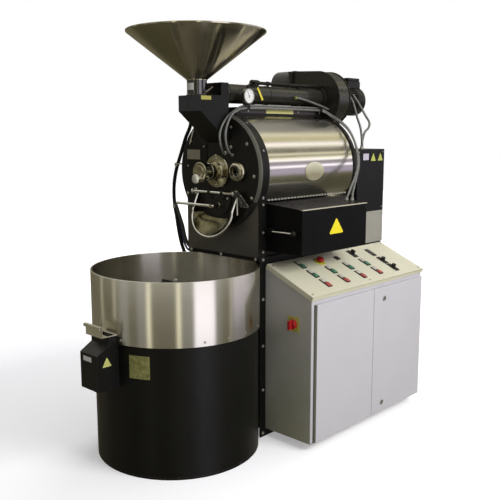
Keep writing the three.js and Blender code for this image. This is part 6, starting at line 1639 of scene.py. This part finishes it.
for x, z in ((-0.02, 1.144), (0.044, 1.16)):
    button_head((x, 0.279, z), frontward, 0.004, 0.003)
make_piece("door_screws", satin_black, "black_paint", body="discharge_door", bevel=0)
button_head((0.07, 0.279, 1.205), frontward, 0.0052, 0.0034)
make_piece("door_bare_screw", zinc_steel, "machined_steel", body="discharge_door", bevel=0)
crank_loop = [(0.1362, 1.242), (0.15, 1.2435), (0.1702, 1.2402), (0.2329, 1.179), (0.229, 1.1716),
    (0.183, 1.1713), (0.1785, 1.176), (0.16, 1.208), (0.1362, 1.22)]
crank_window = [(0.176, 1.216), (0.208, 1.185), (0.193, 1.1835), (0.1745, 1.213)]
front_plate([crank_loop, crank_window], 0.26, 0.004)
bar((0.208, 0.2545, 1.178), (0.208, 0.262, 1.178), 0.006, 20)
turned(disc_profile(0.0068, 0.0008), (0.1522, door_y, door_z), rightward, 6)
crank_coat = powder_coat("crank_plate", (0.042, 0.043, 0.036), (0.62, 0.6, 0.54), 0.3, 300, 0.1, 0.1,
    wear=0.0026)
make_piece("door_crank", crank_coat, "chrome", body="discharge_door", bevel=0.0006)
bar((0.1585, 0.258, 1.215), (0.1585, 0.258, 1.1292), 0.0044, 20)
make_piece("door_crank_rod", zinc_steel, "chrome", body="discharge_door", bevel=0.0006)


# Discharge spout: a pressed stainless lip below the door that throws the beans into the bin. Its
# edge is a bright round bar bent to a wide U, and heat has turned the inside brassy.
spout_top_z = 1.2115
spout_steps = 48
spout_root_y = 0.2842
spout_cheek_x = 0.1405
spout_steel = mottled_steel("brassy_spout_steel", (0.06, 0.053, 0.026), (0.215, 0.195, 0.11),
    (11, 6, 0.68), (0.3, 0.7, 0.12, 0.24), (70, 4, 0.6), 0.12, 0.0005, limits=(0.32, 0.66),
    grain_rough=True)


def spout_ring(half, drop, front_y, back_lift):
    """Half an ellipse that hangs from its top corners, from left to right."""
    return [Vector((half * math.cos(math.pi + math.pi * i / spout_steps),
        front_y[0] + (front_y[1] - front_y[0]) * math.sin(math.pi * i / spout_steps),
        back_lift + drop * math.sin(math.pi + math.pi * i / spout_steps)))
        for i in range(spout_steps + 1)]


rim_middle_z = 1.128
rim_line = spout_ring(0.141, 0.112, (0.2395, 0.205), rim_middle_z)
root_line = spout_ring(0.11, 0.0245, (spout_root_y, spout_root_y), rim_middle_z - 0.004)
middle_line = [a.lerp(b, 0.5) + Vector((0, 0, -0.01 * math.sin(math.pi * i / spout_steps)))
    for i, (a, b) in enumerate(zip(rim_line, root_line))]
lines = [rim_line, [a.lerp(b, 0.5) + Vector((0, 0, -0.003)) for a, b in zip(rim_line, middle_line)],
    middle_line, [a.lerp(b, 0.5) for a, b in zip(middle_line, root_line)], root_line]
skin = [[work.verts.new(p) for p in line] for line in lines]
lifted = [[work.verts.new(p + Vector((0, 0.0006, 0.0022))) for p in line] for line in lines]
for grid, flip in ((skin, False), (lifted, True)):
    for low_row, high_row in zip(grid, grid[1:]):
        for i in range(spout_steps):
            quad = (low_row[i], low_row[i + 1], high_row[i + 1], high_row[i])
            work.faces.new(quad[::-1] if flip else quad)
for first, second in ((skin[0], lifted[0]), (lifted[-1], skin[-1])):
    for i in range(spout_steps):
        work.faces.new((first[i], second[i], second[i + 1], first[i + 1]))
for k in (0, spout_steps):
    for low_a, low_b, high_a, high_b in zip(skin, skin[1:], lifted, lifted[1:]):
        work.faces.new((low_a[k], low_b[k], high_b[k], high_a[k]))
for side in (-1, 1):
    cheek = [(spout_root_y, 1.128), (spout_root_y, spout_top_z), (0.2782, spout_top_z), (0.2415, 1.132),
        (0.241, 1.127)]
    x0 = side * spout_cheek_x - 0.0012
    side_plate([cheek], x0, 0.0024)
make_piece("spout_lip", spout_steel, "chrome", "discharge_spout", bevel=0, smooth_angle=40)
bar_path = rounded_path([(-spout_cheek_x, 0.2785, 1.224), (-0.141, 0.24, 1.142)] + [tuple(p)
    for p in rim_line[1:-1]] + [(0.141, 0.24, 1.142), (spout_cheek_x, 0.2785, 1.215)], 0.004, 3)
tube(bar_path, 0.0052, 16)
make_piece("spout_edge_bar", polished_steel, "chrome", bevel=0, smooth_angle=50)


# Roasting drum: a heavy rolled cylinder with flights and spiders on its shaft, dark with oil. It
# keeps its built shape and shows only through the glass.
finish_node("roasting_drum", dark_steel)


# Electrical cabinet: a folded light grey sheet box beside the base, powder coated with a fine
# texture. Its front edge carries the red isolator.
cabinet_back_x = head_half + 0.0003
cabinet_front_x = 0.548
cabinet_left_y = 0.354
cabinet_right_y = 1.33
cabinet_low_z = 0.041
panel_turn = math.radians(23)
panel_origin = Vector((0.27, 0.35, 0.893))
cabinet_sheet = 0.003


def cabinet_top(x):
    return 0.866 - (x - 0.27) * math.tan(panel_turn)


cabinet_paint_and_side_shade = powder_coat("light_grey_texture_paint", (0.496, 0.486, 0.514), (0.42, 0.41, 0.4), 0.42,
    900, 0.5, 0.0, depth=0.965)
# The faces that look to the front (-Y) are tinted dark olive in soft patches, more towards the foot:
# painted shade for the side away from the lamps.
tint_side(cabinet_paint_and_side_shade, "Y", -1, (0.275, 0.275, 0.175), 5, ("Z", 1.4, 0.05))
cabinet_side = [(cabinet_back_x, cabinet_low_z), (cabinet_front_x, cabinet_low_z), (cabinet_front_x,
    cabinet_top(cabinet_front_x)), (cabinet_back_x, cabinet_top(cabinet_back_x))]
for y in (cabinet_left_y + cabinet_sheet, cabinet_right_y):
    front_plate([cabinet_side], y, cabinet_sheet)
inside_y = (cabinet_left_y + cabinet_sheet, cabinet_right_y - cabinet_sheet)
block(cabinet_back_x, cabinet_back_x + cabinet_sheet, *inside_y, cabinet_low_z,
    cabinet_top(cabinet_back_x + cabinet_sheet) - 0.001)
block(cabinet_back_x + cabinet_sheet, cabinet_front_x, *inside_y, cabinet_low_z,
    cabinet_low_z + cabinet_sheet)
opening = [rectangle(inside_y[0] + 0.024, 0.8475, 0.066, 0.708),
    rectangle(0.8525, inside_y[1] - 0.024, 0.066, 0.708)]
side_plate([rectangle(*inside_y, cabinet_low_z + cabinet_sheet, cabinet_top(cabinet_front_x)), *opening],
    cabinet_front_x - cabinet_sheet, cabinet_sheet)
make_piece("cabinet_body", cabinet_paint_and_side_shade, "grey_paint", "cabinet", bevel=0.0016)
# A dark olive strip fills the gap between the cabinet's side and its left door: painted shade for the
# gap.
block(cabinet_front_x - 0.001, 0.5555, 0.3738, 0.3796, 0.0463, 0.7287)
gap_shade_strip_paint = powder_coat("painted_door_gap_shade", (0.115, 0.115, 0.088), (0.08, 0.08, 0.06), 0.5, 420, 0.3,
    0.2)
make_piece("cabinet_door_gap_shade", gap_shade_strip_paint, "black_rubber", bevel=0.0008)
block(cabinet_back_x + 0.012, cabinet_back_x + 0.014, 0.4, 1.29, 0.09, 0.7)
zinc_sheet = brushed_sheet("zinc_mounting_plate", (0.5, 0.49, 0.45), (0.38, 0.37, 0.34), (0, 0, 0),
    skyward, False, roughness=0.4, turned_share=0.2)
make_piece("cabinet_mounting_plate", zinc_sheet, "machined_steel", bevel=0.0005)
isolator_x = 0.44
isolator_z = 0.622
isolator_half = 0.0365
block(isolator_x - isolator_half, isolator_x + isolator_half, 0.3508, cabinet_left_y,
    isolator_z - isolator_half, isolator_z + isolator_half)
yellow_plastic = powder_coat("isolator_plate_plastic", (0.47, 0.46, 0.1), (0.5, 0.48, 0.2), 0.34, 300,
    0.06, 0.0)
make_piece("isolator_plate", yellow_plastic, "pale_plastic", bevel=0.0022, segments=3)
turned([(0.0236, 0), (0.024, 0.0006), (0.024, 0.0145), (0.0228, 0.017), (0.02, 0.0182)],
    (isolator_x, 0.3505, isolator_z), frontward, 48)
block(isolator_x - 0.0068, isolator_x + 0.0068, 0.3149, 0.334, isolator_z - 0.0215, isolator_z + 0.0215)
red_plastic = powder_coat("red_moulded_plastic", (0.42, 0.012, 0.016), (0.3, 0.06, 0.05), 0.27, 260, 0.05,
    0.05)
make_piece("isolator_handle", red_plastic, "red_plastic", "isolator_knob", body="isolator_knob",
    bevel=0.0016, segments=3)

for door_name, y0, y1, lock_y in (("cabinet_door_left", 0.3803, 0.8482, None),
        ("cabinet_door_right", 0.8508, 1.3187, 0.9415)):
    door_low = 0.0463
    door_high = 0.7287
    block(0.56, 0.563, y0, y1, door_low, door_high)
    for strip in frame_strips(y0, y1, door_low, door_high, 0.0025):
        block(0.5484, 0.56, *strip)
    make_piece(door_name + "_leaf", cabinet_paint_and_side_shade, "grey_paint", door_name, body=door_name, bevel=0.0018,
        segments=3)
    if lock_y:
        for z in (0.098, 0.668):
            turned([(0.0128, 0), (0.0128, 0.003), (0.0114, 0.0046), (0.0074, 0.0046), (0.0062, 0.001)],
                (0.563, lock_y, z), rightward, 28)
            block(0.5639, 0.5668, lock_y - 0.0012, lock_y + 0.0012, z - 0.004, z + 0.004)
        make_piece("door_locks", zinc_steel, "machined_steel", body=door_name, bevel=0.0002)


# Control panel: a sloping cream sheet with folded skirts on top of the cabinet. Each push button
# has a dark bezel, a raised blank half and a coloured key. Nothing on the panel has lettering.
panel_to_world = Matrix.Translation(panel_origin) @ Matrix.Rotation(panel_turn, 4, "Y")
panel_length = 0.315
panel_width = 0.984
panel_sheet = 0.003
panel_skirt = 0.024
cream_paint = powder_coat("cream_texture_paint", (0.6, 0.58, 0.43), (0.5, 0.48, 0.4), 0.4, 800, 0.35, 0.0,
    depth=0.96)


def make_on_panel(*names, **options):
    """A piece that was built flat and is set onto the sloping panel."""
    work.transform(panel_to_world)
    return make_piece(*names, **options)


column_first = 0.186
column_pitch = 0.1475
rows = (0.06, 0.15, 0.237)
key_shift = 0.017
key_half = 0.013


def column(count):
    return column_first + column_pitch * count


keys = (("key_heat_on", 0, 0), ("key_drum_on", 0, 1), ("key_drum_off", 0, 2), ("key_fan_on", 1, 1),
    ("key_fan_off", 1, 2), ("key_cooling_on", 2, 1), ("key_cooling_off", 2, 2), ("key_stirrer_on", 3, 1),
    ("key_stirrer_off", 3, 2))


def square(x, y, half):
    return rectangle(x - half, x + half, y - half, y + half)


stem_holes = [square(rows[row] + key_shift, column(col), key_half + 0.0003)
    for key_name, col, row in keys]
level_plate([rectangle(0, panel_length, 0, panel_width), *stem_holes,
    circle_loop(0.0083, (0.068, column(1)), 24), circle_loop(0.0053, (0.06, column(3)), 16),
    circle_loop(0.0053, (0.168, column(4)), 16), circle_loop(0.0053, (0.243, column(4)), 16)],
    -panel_sheet, panel_sheet)
for strip in frame_strips(0, panel_length, 0, panel_width, panel_sheet):
    block(*strip, -panel_skirt, -panel_sheet)
make_on_panel("panel_sheet", cream_paint, "cream_paint", "control_panel", bevel=0.0018, segments=3)
block(0.2732, 0.2845, 1.000, 1.23, 0.8868, 0.8935)
make_piece("panel_back_strip", cream_paint, "cream_paint", bevel=0.0012)
for x in (0.022, panel_length - 0.022):
    for y in (0.022, panel_width / 2, panel_width - 0.022):
        turned([(0, 0), (0.0052, 0), (0.0048, 0.0018), (0.003, 0.0026), (0, 0.0028)], (x, y, 0), skyward,
            20)
        turned([(0.0017, 0.0027), (0.0017, 0.003)], (x, y, 0), skyward, 4)
make_on_panel("panel_screws", zinc_steel, "machined_steel", bevel=0)
bezel_plastic = powder_coat("bezel_plastic", (0.02, 0.021, 0.02), (0.06, 0.06, 0.055), 0.3, 260, 0.06,
    0.1)
green_plastic = powder_coat("green_moulded_plastic", (0.075, 0.23, 0.14), (0.2, 0.35, 0.25), 0.25, 240,
    0.05, 0.0)
pale_plastic = powder_coat("pale_moulded_plastic", (0.52, 0.5, 0.42), (0.5, 0.5, 0.45), 0.32, 240, 0.05,
    0.0)
pad_plastic = powder_coat("dark_pad_plastic", (0.055, 0.055, 0.048), (0.2, 0.2, 0.18), 0.28, 240, 0.05,
    0.0)
pale_red_plastic = powder_coat("pale_red_moulded_plastic", (0.46, 0.085, 0.07), (0.5, 0.25, 0.2), 0.27,
    240, 0.05, 0.0)
for key_name, col, row in keys:
    x = rows[row] + key_shift
    y = column(col)
    block(x - 0.0129, x + 0.0129, y - 0.0129, y + 0.0129, -0.015, 0.0074)
    block(x - 0.0095, x + 0.0095, y - 0.0095, y + 0.0095, 0.007, 0.0089)
    finish, slot = (pale_red_plastic, "red_plastic") if key_name.endswith("off") else (green_plastic,
        "green_plastic")
    make_on_panel(key_name + "_cap", finish, slot, key_name, body=key_name, bevel=0.0013, segments=3)
for key_name, col, row in keys + ((None, 3, 0), (None, 4, 0.168), (None, 4, 0.243)):
    x = row if isinstance(row, float) else rows[row]
    y = column(col)
    holes = [square(x + key_shift, y, key_half + 0.0003)] if key_name else []
    level_plate([rectangle(x - 0.035, x + 0.035, y - 0.016, y + 0.016), *holes], 0, 0.0038)
make_on_panel("button_bezels", bezel_plastic, "black_plastic", bevel=0.001)
for key_name, col, row in keys:
    x = rows[row] - key_shift
    y = column(col)
    block(x - 0.0125, x + 0.0125, y - 0.0125, y + 0.0125, 0.0036, 0.0068)
make_on_panel("blank_button_halves", pale_plastic, "pale_plastic", bevel=0.0012, segments=3)

block(0.052, 0.084, column(2) - 0.016, column(2) + 0.016, 0, 0.0039)
block(0.047, 0.117, column(4) - 0.016, column(4) + 0.016, 0, 0.0039)
make_on_panel("panel_plug_and_display", bezel_plastic, "black_plastic", bevel=0.0012)
block(0.053, 0.111, column(4) - 0.0115, column(4) + 0.0115, 0.003, 0.00405)
make_on_panel("dark_display_window", pad_plastic, "black_plastic", bevel=0.0003)
stop_x = 0.068
stop_y = column(1)
turned([(0.0083, 0), (0.03, 0), (0.0308, 0.0008), (0.0308, 0.003), (0.0298, 0.0039), (0.0083, 0.0039),
    (0.0083, 0)], (stop_x, stop_y, 0), skyward, 48)
stop_yellow = plain_card("bare_yellow_ring", (0.6, 0.55, 0.05), 0.34)
make_on_panel("stop_yellow_ring", stop_yellow, "yellow_paint", bevel=0.0002)
turned([(0, -0.015), (0.0079, -0.015), (0.0079, 0.0091), (0.013, 0.0095), (0.013, 0.01), (0.0192, 0.0104),
    (0.02, 0.012), (0.02, 0.0185), (0.019, 0.022), (0.015, 0.0248), (0.008, 0.0258), (0, 0.0259)],
    (stop_x, stop_y, 0), skyward, 48)
make_on_panel("stop_mushroom_head", red_plastic, "red_plastic", "emergency_stop", body="emergency_stop",
    bevel=0, smooth_angle=50)

for knob_name, x, col, half_grip in (("airflow_knob", 0.168, 4, None),
        ("temperature_knob", 0.243, 4, None), ("selector_switch", rows[0], 3, 0.0056)):
    middle = (x, column(col), 0)
    turned([(0.0049, -0.014), (0.0049, 0.0045), (0.0122, 0.0045), (0.0128, 0.0055), (0.0124, 0.01)],
        middle, skyward, 40)
    if half_grip:
        block(x - 0.012, x + 0.012, middle[1] - half_grip, middle[1] + half_grip, 0.009, 0.0256)
    else:
        grip = []
        for i in range(48):
            a = math.tau * i / 48
            r = 0.0112 + 0.0007 * math.cos(a * 12)
            grip.append((x + r * math.cos(a), middle[1] + r * math.sin(a)))
        level_plate([grip], 0.0095, 0.0122)
    make_on_panel(knob_name + "_body", bakelite, "black_plastic", knob_name, body=knob_name, bevel=0.0009)
    top = 0.0256 if half_grip else 0.0217
    block(x - 0.01, x - 0.003, middle[1] - 0.0007, middle[1] + 0.0007, top - 0.0002, top + 0.0002)
    make_on_panel(knob_name + "_mark", white_card, "pale_plastic", body=knob_name, bevel=0)


# Conduits and hoses: grey armoured conduits arch from the face over the jacket and down to the burner
# box, two more leave the fan's motor, and rubber hoses hang at the head's left. Each goes back into
# the machine, and both its ends are held in fittings.
conduit_grey = mottled_steel("ribbed_grey_conduit", (0.15, 0.15, 0.142), (0.27, 0.27, 0.255), (60, 4),
    (0.3, 0.7, 0.28, 0.44), (520, 3), 0.35, 0.0006, metallic=0.55)
rubber = powder_coat("black_hose_rubber", (0.01, 0.01, 0.0098), (0.04, 0.04, 0.038), 0.42, 420, 0.3, 0.2)
grey_rubber = powder_coat("grey_hose_rubber", (0.05, 0.05, 0.046), (0.09, 0.09, 0.08), 0.42, 420, 0.3,
    0.15)
blue_hose = powder_coat("blue_hose_plastic", (0.035, 0.045, 0.21), (0.1, 0.12, 0.3), 0.28, 300, 0.1, 0.1)


def smooth_route(points):
    """A smooth line through a given list of points, straight at its two ends."""
    steps = 5
    points = [Vector(p) for p in points]
    padded = [points[0] * 2 - points[1]] + points + [points[-1] * 2 - points[-2]]
    line = []
    for a, b, c, d in zip(padded, padded[1:], padded[2:], padded[3:]):
        for k in range(steps):
            t = k / steps
            line.append(0.5 * (b * 2 + (c - a) * t + (a * 2 - b * 5 + c * 4 - d) * t ** 2
                + (b * 3 - a - c * 3 + d) * t ** 3))
    return line + [points[-1]]


def add_cord(name, route, radius, material, slot, lay, *replaced):
    """A stiff hose or conduit along its route."""
    line = smooth_route(route)
    tube(line, radius, 16)
    piece = make_piece(name, material, slot, *replaced, bevel=0, smooth_angle=70)


lid_end = (0.4, 0.866, 1.1766)
face_route = [(0.06, 0.2707, 1.427), (0.06, 0.2645, 1.427), (0.074, 0.244, 1.443), (0.083, 0.223, 1.466),
    (0.088, 0.212, 1.51), (0.09, 0.22, 1.547), (0.09, 0.241, 1.578), (0.088, 0.268, 1.603),
    (0.084, 0.302, 1.622), (0.076, 0.34, 1.638), (0.066, 0.384, 1.652), (0.062, 0.45, 1.658),
    (0.06, 0.7, 1.659), (0.06, 0.96, 1.658), (0.063, 1.03, 1.651), (0.1, 1.052, 1.627),
    (0.172, 1.052, 1.589), (0.226, 1.052, 1.549), (0.262, 1.052, 1.5), (0.292, 1.046, 1.444),
    (0.318, 1.03, 1.396), (0.338, 1.004, 1.348), (0.352, 0.97, 1.3), (0.368, 0.928, 1.252),
    (0.388, 0.886, 1.216), (0.4, 0.866, 1.1896), lid_end]
add_cord("face_conduit_outer", face_route, 0.0056, conduit_grey, "machined_steel", "taut", "face_conduit")
motor_end = (0.2, 1.226, 1.4303)
motor_route_one = [(0.085, 1.262, 1.728), (0.112, 1.258, 1.69), (0.146, 1.25, 1.612),
    (0.178, 1.24, 1.552), (0.196, 1.23, 1.49), (0.2, 1.226, 1.4485)]
motor_route_two = [(0.085, 1.29, 1.742), (0.108, 1.318, 1.69), (0.128, 1.36, 1.622), (0.15, 1.368, 1.584),
    (0.172, 1.33, 1.552), (0.192, 1.262, 1.524), (0.199, 1.232, 1.476), (0.202, 1.228, 1.4485)]
add_cord("motor_conduit_left", motor_route_one, 0.0065, conduit_grey, "machined_steel", "taut",
    "motor_conduits")
add_cord("motor_conduit_right", motor_route_two, 0.0065, conduit_grey, "machined_steel", "taut")
turned([(0.0118, 0), (0.0118, 0.008), (0.01, 0.01), (0.01, 0.0178)], motor_end, skyward, 6)
make_piece("motor_conduit_gland", zinc_steel, "machined_steel", bevel=0.0006)

second_route = [(0.104, 0.2847, 1.418), (0.104, 0.277, 1.418), (0.106, 0.259, 1.432),
    (0.108, 0.239, 1.462), (0.109, 0.23, 1.508), (0.109, 0.236, 1.546), (0.107, 0.256, 1.584),
    (0.102, 0.283, 1.612), (0.092, 0.324, 1.63), (0.08, 0.37, 1.6405), (0.0745, 0.45, 1.646),
    (0.0735, 0.7, 1.647), (0.0735, 0.95, 1.646), (0.078, 1.025, 1.64), (0.114, 1.0475, 1.613),
    (0.18, 1.0475, 1.579), (0.236, 1.0475, 1.536), (0.276, 1.045, 1.48), (0.304, 1.032, 1.424),
    (0.33, 1.008, 1.372), (0.35, 0.972, 1.322), (0.362, 0.93, 1.278), (0.372, 0.89, 1.242),
    (0.378, 0.865, 1.214), (0.379, 0.85, 1.195), (0.379, 0.845, 1.1792)]
add_cord("face_conduit_inner", second_route, 0.0058, conduit_grey, "machined_steel", "taut")
third_route = [(0.06, 0.8133, 1.7078), (0.06, 0.84, 1.706), (0.06, 0.8837, 1.6995), (0.064, 0.938, 1.688),
    (0.07, 0.9879, 1.6753), (0.076, 1.03, 1.664), (0.08, 1.0655, 1.652)]
add_cord("pipe_probe_conduit", third_route, 0.006, conduit_grey, "machined_steel", "taut")
turned([(0.0088, 0), (0.0088, 0.012), (0.0074, 0.0135), (0.0074, 0.02)], (0.06, 0.796, 1.708), backward,
    6)
turned(disc_profile(0.0072, 0.016), (0.0455, 0.8035, 1.7085), rightward, 6)
make_piece("pipe_probe_fitting", brass_sheet, "machined_steel", bevel=0.0004)
turned([(0.0095, 0), (0.0095, 0.006), (0.0078, 0.0075)], (0.104, 0.285, 1.418), frontward, 6)
for x, y in ((0.4, 0.866), (0.379, 0.8452)):
    turned([(0.0105, 0), (0.0105, 0.005), (0.0085, 0.007), (0.0085, 0.017)], (x, y, lid_top(x) + 0.0001),
        skyward, 6)
make_piece("conduit_fittings", zinc_steel, "machined_steel", bevel=0.0004)
for y in (0.42, 1.000):
    block(0.0495, 0.0815, y - 0.009, y + 0.009, 1.6375, 1.6395)
    block(0.05, 0.082, y - 0.009, y + 0.009, 1.6655, 1.6675)
    block(0.0805, 0.0825, y - 0.009, y + 0.009, 1.6375, 1.6675)
    block(0.0495, 0.0515, y - 0.009, y + 0.009, 1.6375, 1.6675)
make_piece("conduit_clamps", satin_black, "black_paint", bevel=0.0004)

hose_y = 0.33
hose_end_x = -0.2573
black_route = [(-0.0783, 0.262, 1.722), (-0.118, 0.266, 1.716), (-0.17, 0.29, 1.684),
    (-0.222, 0.316, 1.618), (-0.257, hose_y, 1.555), (-0.29, hose_y, 1.503), (-0.315, hose_y, 1.451),
    (-0.341, hose_y, 1.397), (-0.367, hose_y, 1.344), (-0.385, hose_y, 1.289), (-0.3942, hose_y, 1.235),
    (-0.3952, hose_y, 1.181), (-0.389, hose_y, 1.127), (-0.376, hose_y, 1.073), (-0.365, hose_y, 1.019),
    (-0.351, hose_y, 0.965), (-0.336, 0.334, 0.912), (-0.318, 0.346, 0.862), (-0.292, 0.366, 0.822),
    (hose_end_x, 0.372, 0.808)]
add_cord("black_hose", black_route, 0.0095, rubber, "black_rubber", "hanging", "left_hoses")
grey_route = [(-0.386, hose_y, 1.15), (-0.366, hose_y, 1.11), (-0.345, hose_y, 1.066),
    (-0.326, hose_y, 1.023), (-0.31, hose_y, 0.97), (-0.29, 0.336, 0.93), (hose_end_x, 0.342, 0.915)]
add_cord("grey_hose", grey_route, 0.009, grey_rubber, "black_rubber", "taut")
blue_route = [(-0.3905, 0.345, 1.1), (-0.38, 0.3455, 1.058), (-0.364, 0.345, 1.012),
    (-0.347, 0.344, 0.968), (-0.33, 0.344, 0.93), (-0.306, 0.346, 0.902), (hose_end_x, 0.348, 0.89)]
add_cord("blue_hose", blue_route, 0.0055, blue_hose, "black_rubber", "taut")
block(-0.3715, -0.279, 0.3165, 0.3435, 1.3592, 1.3648)
for x, z, reach in ((-0.366, 1.3555, 0.0125), (-0.3885, 1.131, 0.0112)):
    turned(ring_profile(0.0096, reach, 0.014), (x - 0.002, hose_y, z - 0.006),
        (0.28 if z > 1.3 else -0.24, 0, 1), 28)
make_piece("hose_bracket_and_clips", zinc_steel, "machined_steel", bevel=0.0006)
turned([(0.0125, 0), (0.0125, 0.01), (0.0105, 0.013)], (-0.0783, 0.262, 1.722), (-1, 0.05, -0.12), 6)
for place in ((hose_end_x, 0.372, 0.808), (hose_end_x, 0.342, 0.915), (hose_end_x, 0.348, 0.89)):
    turned([(0.0118, 0), (0.0118, 0.009), (0.01, 0.012)], place, (-1, 0, 0.1), 6)
make_piece("hose_end_fittings", zinc_steel, "machined_steel", bevel=0.0005)
